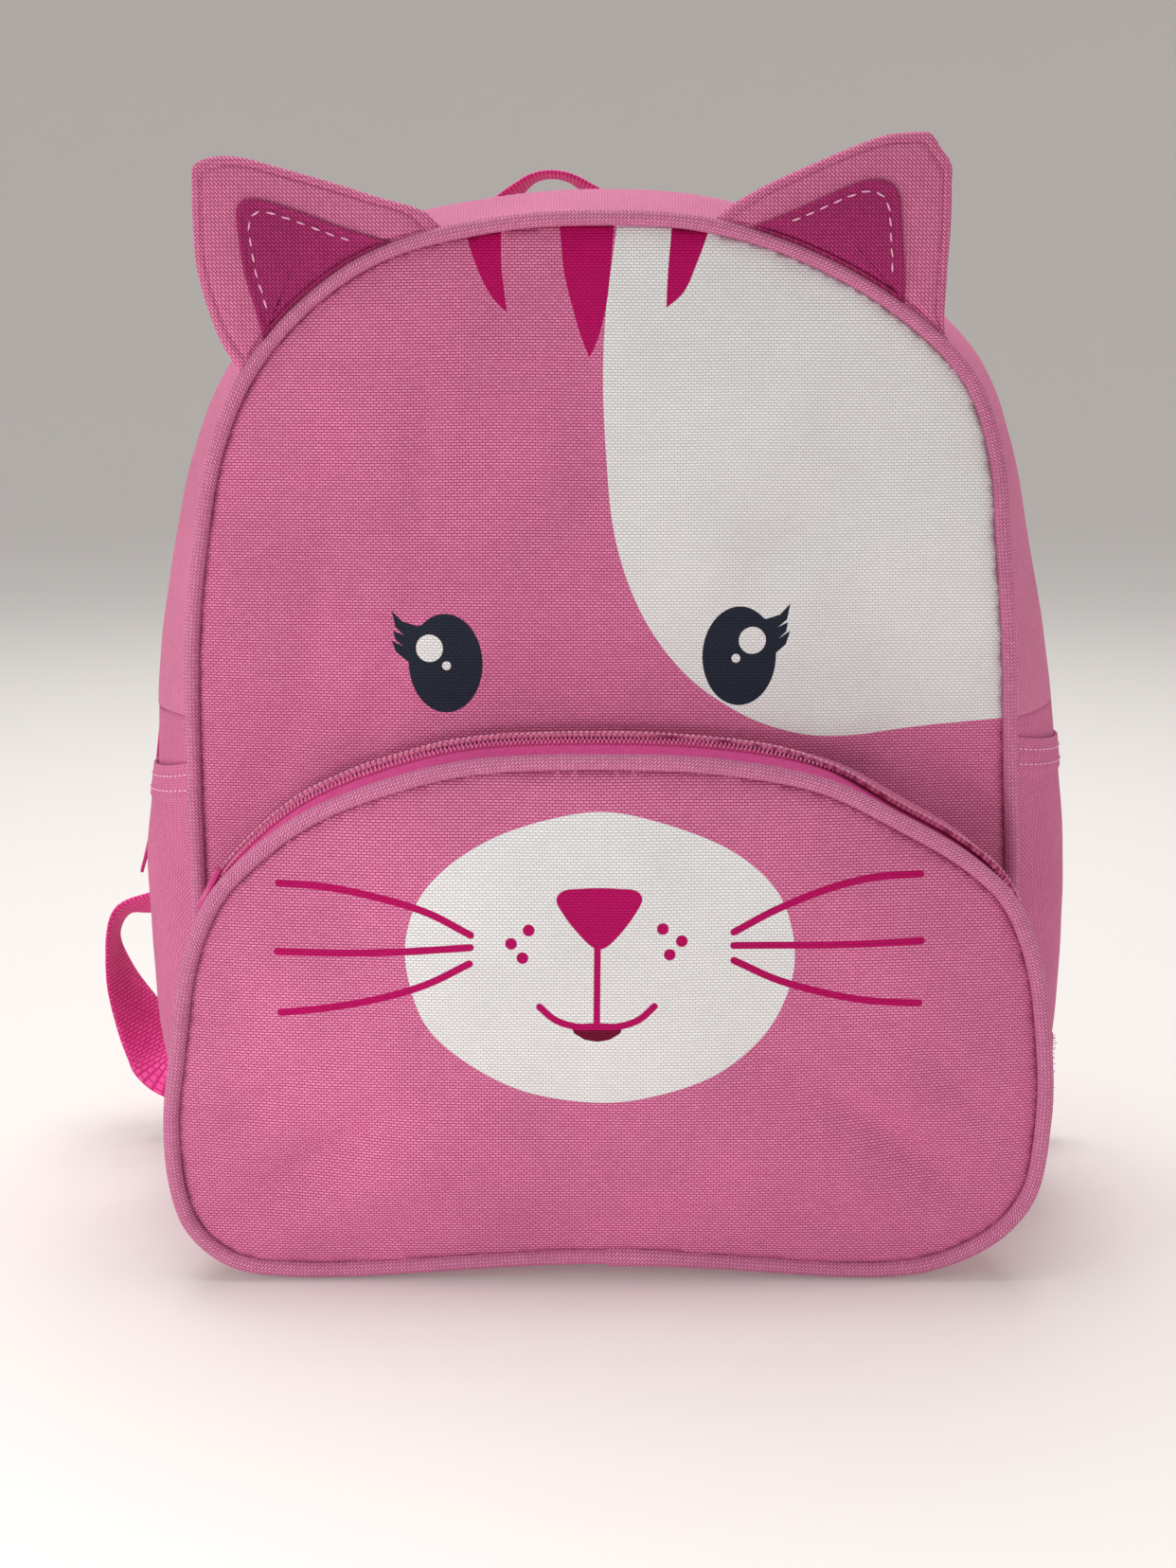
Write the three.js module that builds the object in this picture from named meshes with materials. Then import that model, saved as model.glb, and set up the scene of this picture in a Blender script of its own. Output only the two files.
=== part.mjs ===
import * as THREE from 'three';

// Kids animal backpack: a soft child's backpack with a cat's face on its front.
// Millimetres, +Z up. The front faces -Y, the wearer's back +Y, and the origin is
// on the floor under the middle of the main body's depth.
// A share is a length divided by the named size that it follows.

// Main body
const BODY_HALF_WIDTH = 122.5;
const BODY_HEIGHT = 308.2;
const BODY_DEPTH = 90;
const BODY_BULGE = 23;
const FRONT_CROWN = 9;
const BACK_CROWN = 5;
const SIDE_SEAM_HEIGHT = 163;

// Front pocket
const POCKET_HALF_WIDTH = 128;
const POCKET_HEIGHT = 156;
const POCKET_DEPTH = 32;
const POCKET_CROWN = 11;
const POCKET_ZIP_END_HEIGHT = 112;
const POCKET_ZIP_RISE = 5;
const POCKET_SWELL = 2.4;
const POCKET_TAPE_SHARE = 0.66;

// Cloth, piping and zips
const CLOTH = 1.4;
const BACK_PAD = 5;
const BODY_PIPING = 4.5;
const POCKET_PIPING = 4.8;
const ZIP_TAPE = 1.1;
const ZIP_COIL_RAISE = 1.3;
const ZIP_COIL_WIDTH = 6;
const COIL_SPREAD_SHARE = 1.6;
const ZIP_FRONT_SHARE = 0.56;
const ZIP_BACK_SHARE = 0.73;
const GAP = 0.3;
const SEAT_GAP = 0.5;
const SEWN_GAP = 0.8;
const FLOOR_GAP = 0.6;
const POCKET_COIL_AT_SHARE = 0.44;
const POCKET_COIL_SHARE = 0.06;
const POCKET_COIL_EDGE_SHARE = 0.04;

// Side pockets
const SIDE_POCKET_LEFT_TOP = 150;
const SIDE_POCKET_RIGHT_TOP = 158;
const SIDE_POCKET_FOOT = 12;
const SIDE_POCKET_CLOTH = 1;
const SIDE_POCKET_BELLY = 1.6;
const SIDE_POCKET_SEAM = 0.035;
const HEM_HEIGHT = 11;
const HEM_RAISE = 0.8;

// Ears
const EAR_HEIGHT = 54.5;
const EAR_THICKNESS = 6.4;
const EAR_EDGE = 2.4;
const EAR_SETBACK = 0.4;
const INNER_EAR_CLOTH = 0.8;
const INNER_EAR_GAP = 0.65;

// Webbing, straps and plastic
const WEBBING_WIDTH = 25;
const WEBBING = 1.5;
const CARRY_LOOP_SPAN = 72;
const CARRY_LOOP_RISE = 21;
const CARRY_LOOP_X = -11;
const CARRY_LOOP_SEWN = 14;
const CARRY_LOOP_WIDTH = 22;
const STRAP_WIDTH = 50;
const STRAP_PAD = 7;
const ADJUSTER_WIDTH = 36;
const ADJUSTER_HEIGHT = 24;
const ADJUSTER_PLATE = 3.4;
const ADJUSTER_BAR = 4;
const THREAD_SLACK = 0.1;
const THREAD_TAIL = 3;
const TAB_LENGTH = 40;
const TAB_ROOT = 36;
const TAB_TIP = 26;
const TAB_HEIGHT = 25;
const TAB_CLOTH = 2.4;
const SLIDER_LENGTH = 11;
const SLIDER_WIDTH = 8;
const SLIDER_HEIGHT = 3;
const SLIDER_ROUND = 0.5;
const PULL_LENGTH = 78;
const PULL_WIDTH = 9;
const PULL_RIBBON = 1.2;
const PULL_STANDOFF = 10;

// Mesh density
const SEAM_STEPS = 56;
const PIPING_SIDES = 6;
const SIDE_STEPS = 40;
const ACROSS_STEPS = 6;
const ZIP_STEPS = 28;
const POCKET_SIDE_STEPS = 32;
const POCKET_ZIP_STEPS = 26;
const LEAST_STEP_SHARE = 0.004;

// Main seam line, from the base up: shares of the seam's height and of the half width
const BODY_OUTLINE = [
  { height: 0, left: 0.49, right: 0.49 },
  { height: 0.011, left: 0.784, right: 0.784 },
  { height: 0.054, left: 0.915, right: 0.922 },
  { height: 0.139, left: 0.975, right: 0.988 },
  { height: 0.253, left: 0.99, right: 1.007 },
  { height: 0.367, left: 0.992, right: 1.011 },
  { height: 0.477, left: 0.994, right: 0.998 },
  { height: 0.6, left: 0.988, right: 0.984 },
  { height: 0.692, left: 0.962, right: 0.963 },
  { height: 0.78, left: 0.919, right: 0.938 },
  { height: 0.852, left: 0.842, right: 0.869 },
  { height: 0.916, left: 0.708, right: 0.702 },
  { height: 0.966, left: 0.522, right: 0.476 },
  { height: 0.9935, left: 0.25, right: 0.247 },
];

// Front pocket's seam line, in shares of its own height and half width
const POCKET_OUTLINE = [
  { height: 0.002, left: 0.7, right: 0.65 },
  { height: 0.021, left: 0.852, right: 0.79 },
  { height: 0.08, left: 0.938, right: 0.918 },
  { height: 0.158, left: 0.974, right: 0.985 },
  { height: 0.302, left: 0.985, right: 1.011 },
  { height: 0.432, left: 0.966, right: 1.008 },
  { height: 0.615, left: 0.93, right: 0.975 },
  { height: 0.733, left: 0.872, right: 0.915 },
  { height: 0.811, left: 0.788, right: 0.816 },
  { height: 0.892, left: 0.657, right: 0.65 },
  { height: 0.954, left: 0.473, right: 0.495 },
  { height: 0.99, left: 0.288, right: 0.27 },
];
const POCKET_BASE_LIFT_SHARE = 0.028;

// How far the sides swell between the two seams, in shares of BODY_BULGE
const SIDE_SWELL = [
  { height: 0, left: 0.35, right: 0.35 },
  { height: 0.02, left: 0.42, right: 0.42 },
  { height: 0.054, left: 0.6, right: 0.66 },
  { height: 0.139, left: 0.84, right: 0.97 },
  { height: 0.253, left: 0.9, right: 0.98 },
  { height: 0.367, left: 0.96, right: 0.96 },
  { height: 0.477, left: 0.8, right: 0.95 },
  { height: 0.535, left: 0.79, right: 0.91 },
  { height: 0.6, left: 0.72, right: 0.8 },
  { height: 0.692, left: 0.62, right: 0.66 },
  { height: 0.78, left: 0.54, right: 0.52 },
  { height: 0.852, left: 0.5, right: 0.5 },
  { height: 1, left: 0.49, right: 0.49 },
];

// Dents and soft folds: place and reach in shares of the half width and height,
// the fold's slant in degrees from level, its depth in shares of the panel's crown
const FRONT_FOLDS = [
  { x: -0.62, height: 0.72, long: 0.16, wide: 0.09, slant: 80, depth: 0.2 },
  { x: -0.28, height: 0.78, long: 0.14, wide: 0.07, slant: 75, depth: 0.14 },
  { x: 0.62, height: 0.78, long: 0.22, wide: 0.1, slant: 60, depth: 0.24 },
  { x: 0.72, height: 0.6, long: 0.18, wide: 0.08, slant: 20, depth: 0.2 },
  { x: 0.8, height: 0.5, long: 0.2, wide: 0.06, slant: -12, depth: 0.22 },
];
const POCKET_FOLDS = [
  { x: -0.72, height: 0.2, long: 0.34, wide: 0.08, slant: 33, depth: 0.24 },
  { x: -0.5, height: 0.1, long: 0.3, wide: 0.07, slant: 22, depth: 0.16 },
  { x: 0.74, height: 0.24, long: 0.34, wide: 0.08, slant: -38, depth: 0.24 },
  { x: 0.55, height: 0.12, long: 0.26, wide: 0.07, slant: -25, depth: 0.14 },
  { x: 0, height: 0.04, long: 0.5, wide: 0.09, slant: 0, depth: 0.2 },
];

// Ears: where each one's base starts and ends on the main seam, and its outline as
// shares of that base's chord and of EAR_HEIGHT
const EARS = {
  left: {
    root: { x: -0.86, height: 0.86 },
    end: { x: -0.368, height: 0.985 },
    outline: [
      { along: 0.002, out: 0.156 },
      { along: 0.03, out: 0.328 },
      { along: 0.101, out: 0.575 },
      { along: 0.203, out: 0.791 },
      { along: 0.273, out: 0.92 },
      { along: 0.319, out: 1 },
      { along: 0.399, out: 0.98 },
      { along: 0.491, out: 0.898 },
      { along: 0.6, out: 0.735 },
      { along: 0.737, out: 0.52 },
      { along: 0.858, out: 0.317 },
      { along: 0.975, out: 0.125 },
    ],
    inner: [
      { along: 0.185, out: 0.17 },
      { along: 0.248, out: 0.4 },
      { along: 0.309, out: 0.556 },
      { along: 0.36, out: 0.67 },
      { along: 0.428, out: 0.692 },
      { along: 0.476, out: 0.639 },
      { along: 0.579, out: 0.465 },
      { along: 0.71, out: 0.22 },
    ],
  },
  right: {
    root: { x: 0.82, height: 0.882 },
    end: { x: 0.262, height: 0.992 },
    outline: [
      { along: 0.045, out: 0.05 },
      { along: 0.129, out: 0.286 },
      { along: 0.223, out: 0.574 },
      { along: 0.276, out: 0.715 },
      { along: 0.315, out: 0.81 },
      { along: 0.375, out: 0.855 },
      { along: 0.435, out: 0.896 },
      { along: 0.488, out: 0.865 },
      { along: 0.585, out: 0.774 },
      { along: 0.766, out: 0.49 },
      { along: 0.91, out: 0.235 },
      { along: 0.975, out: 0.09 },
    ],
    inner: [
      { along: 0.262, out: 0.17 },
      { along: 0.344, out: 0.343 },
      { along: 0.429, out: 0.53 },
      { along: 0.471, out: 0.569 },
      { along: 0.522, out: 0.565 },
      { along: 0.572, out: 0.525 },
      { along: 0.671, out: 0.373 },
      { along: 0.79, out: 0.17 },
    ],
  },
};

// Shoulder strap's middle line: shares of the half width and height, how far it stands
// off its sewn end's depth as a share of the body depth, and the pad's share of its width
const STRAP_LINE = [
  { x: 0.26, height: 0.932, back: 0, width: 0.8 },
  { x: 0.29, height: 0.88, back: 0.045, width: 0.9 },
  { x: 0.34, height: 0.8, back: 0.15, width: 1 },
  { x: 0.42, height: 0.68, back: 0.25, width: 1 },
  { x: 0.52, height: 0.56, back: 0.26, width: 0.96 },
  { x: 0.62, height: 0.46, back: 0.22, width: 0.84 },
  { x: 0.69, height: 0.4, back: 0.17, width: 0.66 },
];

// Lower webbing past the adjuster: shares of the half width, the height and the depth
// behind the back seam, with the direction that its width points in
const WEBBING_LINES = {
  left: [
    { x: 0.86, height: 0.298, back: 0.2, wx: 0.75, wy: 0, wz: 0.66 },
    { x: 0.98, height: 0.278, back: 0.19, wx: 0.4, wy: -0.35, wz: 0.85 },
    { x: 1.13, height: 0.265, back: 0.18, wx: 0.15, wy: -0.7, wz: 0.68 },
    { x: 1.28, height: 0.256, back: 0.17, wx: 0.05, wy: -0.87, wz: 0.5 },
    { x: 1.4, height: 0.245, back: 0.165, wx: -0.05, wy: -0.94, wz: 0.35 },
    { x: 1.44, height: 0.215, back: 0.16, wx: -0.05, wy: -0.99, wz: 0.1 },
    { x: 1.438, height: 0.175, back: 0.155, wx: 0.05, wy: -1, wz: 0 },
    { x: 1.41, height: 0.13, back: 0.15, wx: 0.35, wy: -0.9, wz: -0.2 },
    { x: 1.365, height: 0.09, back: 0.13, wx: 0.3, wy: -0.75, wz: -0.58 },
    { x: 1.29, height: 0.068, back: 0.09, wx: 0.12, wy: -0.2, wz: -0.97 },
  ],
  right: [
    { x: 0.86, height: 0.29, back: 0.2, wx: 0.85, wy: 0, wz: 0.5 },
    { x: 0.97, height: 0.22, back: 0.175, wx: 0.85, wy: 0, wz: 0.5 },
    { x: 1.07, height: 0.155, back: 0.1, wx: 0.88, wy: 0, wz: 0.45 },
  ],
};

// Lower corner tabs: how much of TAB_LENGTH each one shows, how far its tip turns back as a
// share of that, how far out the webbing's sewn end lies, where the webbing comes from along
// and up as shares of WEBBING_WIDTH, and the direction of its width
const TABS = {
  left: { reach: 0.68, turn: 0.02, sewn: 0.36, fromAlong: 0.56, fromUp: 0, wx: 0, wz: -1 },
  right: { reach: 1, turn: 0.02, sewn: 0.5, fromAlong: -0.2, fromUp: 0.48, wx: 0.9, wz: 0.42 },
};

// Zip pull's ribbon: how far down it has come, how far it stands off the side as a share
// of PULL_STANDOFF, and how far its width turns away from the side
const PULL_LINE = [
  { down: 0.1, off: 0.66, turn: 0 },
  { down: 0.2, off: 0.66, turn: 0 },
  { down: 0.34, off: 0.56, turn: 0 },
  { down: 0.55, off: 0.54, turn: 0.05 },
  { down: 0.75, off: 0.56, turn: 0.15 },
  { down: 0.88, off: 0.7, turn: 0.25 },
  { down: 1, off: 0.95, turn: 0.3 },
];

// Fold of cloth over the pocket's zip, from the zip's right end to its left end: where
// its free edge lies, as a share of the way back from the piping
const FOLD_EDGE = [
  { height: 0, across: 0.5 },
  { height: 0.12, across: 0.3 },
  { height: 0.22, across: 0.26 },
  { height: 0.32, across: 0.5 },
  { height: 0.42, across: 0.8 },
  { height: 0.55, across: 0.86 },
  { height: 1, across: 0.88 },
];

const FRONT_Y = -BODY_DEPTH / 2;
const BACK_Y = BODY_DEPTH / 2;
const POCKET_Y = FRONT_Y - POCKET_DEPTH;
const EAR_Y = FRONT_Y + EAR_SETBACK;
const BODY_SEAM_BASE = BODY_PIPING / 2 + FLOOR_GAP;
const POCKET_SEAM_BASE = POCKET_PIPING / 2 + FLOOR_GAP;

const PINK = 0xd0709a;
const PALE_PINK = 0xd98aae;
const PIPING_PINK = 0xb5698a;
const DEEP_PINK = 0x8a2456;
const HOT_PINK = 0xe0559a;
const WEBBING_PINK = 0xf0509f;

const bag = new THREE.Group();

function addPiece(name, geometry, colour, roughness = 0.85) {
  const material = new THREE.MeshStandardMaterial({ color: colour, roughness, metalness: 0 });
  const mesh = new THREE.Mesh(geometry, material);
  mesh.name = name;
  bag.add(mesh);
}

// A seam line as a closed curve in the XZ plane, walked from the base's middle to the
// right and up, so that its outward side is on the walker's right
function seamLine(rows, halfWidth, height, base, baseLift) {
  const level = (share) => base + share * (height - base);
  const right = rows.map((row) => new THREE.Vector3(row.right * halfWidth, 0, level(row.height)));
  const left = rows.map((row) => new THREE.Vector3(-row.left * halfWidth, 0, level(row.height)));
  const points = [
    new THREE.Vector3(0, 0, level(baseLift)),
    ...right,
    new THREE.Vector3(0, 0, level(1)),
    ...left.reverse(),
  ];
  const curve = new THREE.CatmullRomCurve3(points, true, 'centripetal');
  curve.arcLengthDivisions = 600;
  const samples = curve.getSpacedPoints(240);
  return { curve, samples, base, height, halfWidth, centre: new THREE.Vector2(0, level(0.5)) };
}

function onSeam(seam, share) {
  const round = ((share % 1) + 1) % 1;
  const point = seam.curve.getPointAt(round);
  const along = seam.curve.getTangentAt(round);
  const normal = new THREE.Vector3(along.z, 0, -along.x).normalize();
  return { point, normal };
}

// The share along a seam line that lies nearest to a point
function nearestShare(seam, x, z) {
  const target = new THREE.Vector3(x, 0, z);
  const chord = new THREE.Line3();
  const nearest = new THREE.Vector3();
  const last = seam.samples.length - 1;
  let best = 0;
  let bestDistance = Infinity;
  for (let i = 0; i < last; i += 1) {
    chord.set(seam.samples[i], seam.samples[i + 1]);
    const part = chord.closestPointToPointParameter(target, true);
    const distance = chord.at(part, nearest).distanceTo(target);
    if (distance < bestDistance) {
      bestDistance = distance;
      best = (i + part) / last;
    }
  }
  return best;
}

// 0 at a seam line's middle and 1 on the line, measured along the ray through a point
function radialShare(seam, x, z, centre = seam.centre) {
  const px = x - centre.x;
  const pz = z - centre.y;
  let share = 0;
  for (let i = 0; i + 1 < seam.samples.length; i += 1) {
    const ax = seam.samples[i].x - centre.x;
    const az = seam.samples[i].z - centre.y;
    const bx = seam.samples[i + 1].x - centre.x;
    const bz = seam.samples[i + 1].z - centre.y;
    const area = ax * bz - az * bx;
    const alongA = (px * bz - pz * bx) / area;
    const alongB = (ax * pz - az * px) / area;
    if (alongA >= -1e-9 && alongB >= -1e-9) {
      share = Math.max(share, alongA + alongB);
    }
  }
  return share;
}

// A column of a table whose rows rise in height, read at any height share
function readColumn(rows, column, height) {
  const last = rows.length - 1;
  if (height <= rows[0].height) return rows[0][column];
  for (let i = 0; i < last; i += 1) {
    const low = rows[i];
    const high = rows[i + 1];
    if (height <= high.height) {
      const part = (height - low.height) / (high.height - low.height);
      return THREE.MathUtils.lerp(low[column], high[column], part);
    }
  }
  return rows[last][column];
}

// The depth that a panel's folds take off its crown at a point
function foldDepth(folds, crown, seam, x, z) {
  let depth = 0;
  for (const fold of folds) {
    const slant = THREE.MathUtils.degToRad(fold.slant);
    const dx = x - fold.x * seam.halfWidth;
    const dz = z - fold.height * seam.height;
    const along = (dx * Math.cos(slant) + dz * Math.sin(slant)) / (fold.long * seam.height);
    const across = (-dx * Math.sin(slant) + dz * Math.cos(slant)) / (fold.wide * seam.height);
    depth += fold.depth * crown * Math.exp(-2 * (along * along + across * across));
  }
  return depth;
}

// A crowned panel's outer face, as a distance from its seam's plane
function crownAt(seam, crown, folds, x, z) {
  const share = Math.min(radialShare(seam, x, z), 1);
  const dome = crown * (1 - share ** 2.6);
  return dome - foldDepth(folds, crown, seam, x, z) * (1 - share ** 6);
}

// A closed solid from two matching grids of points, outer and inner
function solidFromGrids(outer, inner) {
  const rows = outer.length;
  const columns = outer[0].length;
  const positions = [];
  const indices = [];
  const place = (grid) => grid.forEach((row) => row.forEach((p) => positions.push(p.x, p.y, p.z)));
  place(outer);
  place(inner);
  const out = (i, j) => i * columns + j;
  const ins = (i, j) => (rows + i) * columns + j;
  const quad = (a, b, c, d) => indices.push(a, b, c, a, c, d);
  const lastRow = rows - 1;
  const lastColumn = columns - 1;
  for (let i = 0; i < lastRow; i += 1) {
    for (let j = 0; j < lastColumn; j += 1) {
      quad(out(i, j), out(i + 1, j), out(i + 1, j + 1), out(i, j + 1));
      quad(ins(i, j), ins(i, j + 1), ins(i + 1, j + 1), ins(i + 1, j));
    }
    quad(out(i, 0), ins(i, 0), ins(i + 1, 0), out(i + 1, 0));
    quad(out(i, lastColumn), out(i + 1, lastColumn), ins(i + 1, lastColumn), ins(i, lastColumn));
  }
  for (let j = 0; j < lastColumn; j += 1) {
    quad(out(0, j), out(0, j + 1), ins(0, j + 1), ins(0, j));
    quad(out(lastRow, j), ins(lastRow, j), ins(lastRow, j + 1), out(lastRow, j + 1));
  }
  return closedGeometry(positions, indices);
}

// A closed solid from two discs of rings round a shared middle: ring 0 is the outline
function solidFromDiscs(front, back) {
  const ringCount = front.rings.length;
  const steps = front.rings[0].length;
  const positions = [];
  const indices = [];
  const place = (disc) => {
    disc.rings.forEach((ring) => ring.forEach((p) => positions.push(p.x, p.y, p.z)));
    positions.push(disc.middle.x, disc.middle.y, disc.middle.z);
  };
  place(front);
  place(back);
  const half = ringCount * steps + 1;
  const at = (side, ring, i) => side * half + ring * steps + (i % steps);
  for (let i = 0; i < steps; i += 1) {
    for (let ring = 0; ring + 1 < ringCount; ring += 1) {
      const f = [at(0, ring, i), at(0, ring, i + 1), at(0, ring + 1, i + 1), at(0, ring + 1, i)];
      const b = [at(1, ring, i), at(1, ring, i + 1), at(1, ring + 1, i + 1), at(1, ring + 1, i)];
      indices.push(f[0], f[1], f[2], f[0], f[2], f[3]);
      indices.push(b[0], b[2], b[1], b[0], b[3], b[2]);
    }
    const last = ringCount - 1;
    indices.push(at(0, last, i), at(0, last, i + 1), half - 1);
    indices.push(at(1, last, i), 2 * half - 1, at(1, last, i + 1));
    const edge = [at(0, 0, i), at(1, 0, i), at(1, 0, i + 1), at(0, 0, i + 1)];
    indices.push(edge[0], edge[1], edge[2], edge[0], edge[2], edge[3]);
  }
  return closedGeometry(positions, indices);
}

// Turns the faces outwards, whichever way the grids ran
function closedGeometry(positions, indices) {
  const corner = (index) => new THREE.Vector3().fromArray(positions, index * 3);
  let volume = 0;
  for (let i = 0; i < indices.length; i += 3) {
    const a = corner(indices[i]);
    const b = corner(indices[i + 1]);
    const c = corner(indices[i + 2]);
    volume += a.dot(b.cross(c));
  }
  if (volume < 0) {
    for (let i = 0; i < indices.length; i += 3) {
      [indices[i + 1], indices[i + 2]] = [indices[i + 2], indices[i + 1]];
    }
  }
  const geometry = new THREE.BufferGeometry();
  geometry.setAttribute('position', new THREE.Float32BufferAttribute(positions, 3));
  geometry.setIndex(indices);
  geometry.computeVertexNormals();
  return geometry;
}

// Evenly spaced values from one number to another, both included
function spread(from, to, steps) {
  return Array.from({ length: steps + 1 }, (_, i) => from + ((to - from) * i) / steps);
}

// A wall of cloth on a surface(round, across) that faces outwards. lift is how far its
// inner face stands off the surface, and raise thickens it; both may vary over it.
function clothWall(surface, rounds, acrosses, thickness, lift = () => -thickness, raise = () => 0) {
  const step = 1e-3;
  const grids = { outer: [], inner: [] };
  for (const round of rounds) {
    const outerRow = [];
    const innerRow = [];
    for (const across of acrosses) {
      const low = Math.max(across - step, 0);
      const high = Math.min(across + step, 1);
      const along = surface(round + step, across).sub(surface(round - step, across));
      const over = surface(round, high).sub(surface(round, low));
      const normal = over.cross(along).normalize();
      const inside = lift(round, across);
      const outside = inside + thickness + raise(round, across);
      outerRow.push(surface(round, across).addScaledVector(normal, outside));
      innerRow.push(surface(round, across).addScaledVector(normal, inside));
    }
    grids.outer.push(outerRow);
    grids.inner.push(innerRow);
  }
  return solidFromGrids(grids.outer, grids.inner);
}

// The surface's point and outward direction at one place
function placeOn(surface, round, across, lift) {
  const step = 1e-3;
  const along = surface(round + step, across).sub(surface(round - step, across));
  const over = surface(round, across + step).sub(surface(round, across - step));
  const normal = over.clone().cross(along).normalize();
  return { point: surface(round, across).addScaledVector(normal, lift), normal, along, over };
}

// A crowned panel inside a seam line. facing is -1 for the front and 1 for the back.
function crownedPanel(seam, crown, folds, planeY, facing, inset, thickness, ringCount) {
  const middle = new THREE.Vector3(seam.centre.x, 0, seam.centre.y);
  const outline = [];
  for (let i = 0; i < SEAM_STEPS; i += 1) {
    const { point, normal } = onSeam(seam, i / SEAM_STEPS);
    outline.push(point.clone().addScaledVector(normal, -inset));
  }
  const outerFace = (p) => {
    const depth = crownAt(seam, crown, folds, p.x, p.z);
    return new THREE.Vector3(p.x, planeY + facing * depth, p.z);
  };
  const innerFace = (p) => {
    const face = outerFace(p);
    face.y -= facing * thickness;
    return face;
  };
  const ringAt = (share) => outline.map((p) => middle.clone().lerp(p, share));
  const shares = [];
  for (let ring = 0; ring < ringCount; ring += 1) {
    shares.push(1 - (ring / ringCount) ** 1.25);
  }
  const rings = shares.map(ringAt);
  const front = { rings: rings.map((ring) => ring.map(outerFace)), middle: outerFace(middle) };
  const back = { rings: rings.map((ring) => ring.map(innerFace)), middle: innerFace(middle) };
  return solidFromDiscs(front, back);
}

// A strip that follows middle points, with a width direction and a section at each one
function strip(stations, section) {
  const outer = [];
  const inner = [];
  stations.forEach((station, index) => {
    const before = stations[Math.max(index - 1, 0)].point;
    const after = stations[Math.min(index + 1, stations.length - 1)].point;
    const along = after.clone().sub(before).normalize();
    const across = station.across.clone().addScaledVector(along, -along.dot(station.across));
    across.normalize();
    const normal = along.clone().cross(across).normalize();
    const outerRow = [];
    const innerRow = [];
    for (const { side, full } of section) {
      const middle = station.point.clone().addScaledVector(across, (side * station.width) / 2);
      outerRow.push(middle.clone().addScaledVector(normal, (full * station.thickness) / 2));
      innerRow.push(middle.clone().addScaledVector(normal, (-full * station.thickness) / 2));
    }
    outer.push(outerRow);
    inner.push(innerRow);
  });
  return solidFromGrids(outer, inner);
}

const FLAT_SECTION = [
  { side: -1, full: 1 },
  { side: 1, full: 1 },
];
const PADDED_SECTION = [
  { side: -1, full: 0.3 },
  { side: -0.86, full: 0.8 },
  { side: -0.4, full: 1 },
  { side: 0.4, full: 1 },
  { side: 0.86, full: 0.8 },
  { side: 1, full: 0.3 },
];

const bodySeam = seamLine(BODY_OUTLINE, BODY_HALF_WIDTH, BODY_HEIGHT, BODY_SEAM_BASE, 0);
const pocketSeam = seamLine(
  POCKET_OUTLINE, POCKET_HALF_WIDTH, POCKET_HEIGHT, POCKET_SEAM_BASE, POCKET_BASE_LIFT_SHARE,
);

// The main body's side surface: round is the share along the seam, across runs from the
// front seam to the back panel's seam, clear of the piping at the front
const SIDE_START_Y = FRONT_Y + BODY_PIPING / 2 + GAP;
const SIDE_END_Y = BACK_Y - GAP;
function bodySide(round, across) {
  const { point, normal } = onSeam(bodySeam, round);
  const height = (point.z - BODY_SEAM_BASE) / (BODY_HEIGHT - BODY_SEAM_BASE);
  const swell = BODY_BULGE * readColumn(SIDE_SWELL, point.x < 0 ? 'left' : 'right', height);
  const full = Math.sin(Math.PI * THREE.MathUtils.clamp(across, 0, 1)) ** 0.9;
  const place = point.clone().addScaledVector(normal, swell * full);
  place.y = THREE.MathUtils.lerp(SIDE_START_Y, SIDE_END_Y, across);
  place.z = Math.max(place.z, 0);
  return place;
}

function frontFaceY(x, z) {
  return FRONT_Y - crownAt(bodySeam, FRONT_CROWN, FRONT_FOLDS, x, z);
}

function backFaceY(x, z) {
  return BACK_Y + BACK_PAD + crownAt(bodySeam, BACK_CROWN, [], x, z);
}

// The pocket's side surface: from its own piping back to the front panel, or to the main
// piping where the pocket is as wide as the body
const POCKET_SIDE_Y = POCKET_Y + POCKET_PIPING / 2 + GAP;
function pocketSide(round, across) {
  const { point, normal } = onSeam(pocketSeam, round);
  const height = (point.z - POCKET_SEAM_BASE) / (POCKET_HEIGHT - POCKET_SEAM_BASE);
  const rise = POCKET_ZIP_RISE * THREE.MathUtils.smoothstep(height, 0.62, 1);
  const reach = radialShare(bodySeam, point.x, point.z, pocketSeam.centre);
  const middle = new THREE.Vector3(pocketSeam.centre.x, 0, pocketSeam.centre.y);
  const back = middle.lerp(point, Math.min(0.985, 1 / reach)).addScaledVector(normal, rise);
  const nearSeam = radialShare(bodySeam, back.x, back.z);
  const overPiping = THREE.MathUtils.smoothstep(nearSeam, 0.86, 0.94);
  const pipingFront = FRONT_Y - (BODY_PIPING / 2) * overPiping;
  const backY = Math.min(frontFaceY(back.x, back.z), pipingFront) - SEAT_GAP;
  const swell = POCKET_SWELL * Math.sin(Math.PI * THREE.MathUtils.clamp(across, 0, 1));
  const place = point.clone().lerp(back, across).addScaledVector(normal, swell);
  place.y = THREE.MathUtils.lerp(POCKET_SIDE_Y, backY, across);
  place.z = Math.max(place.z, FLOOR_GAP);
  return place;
}

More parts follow.
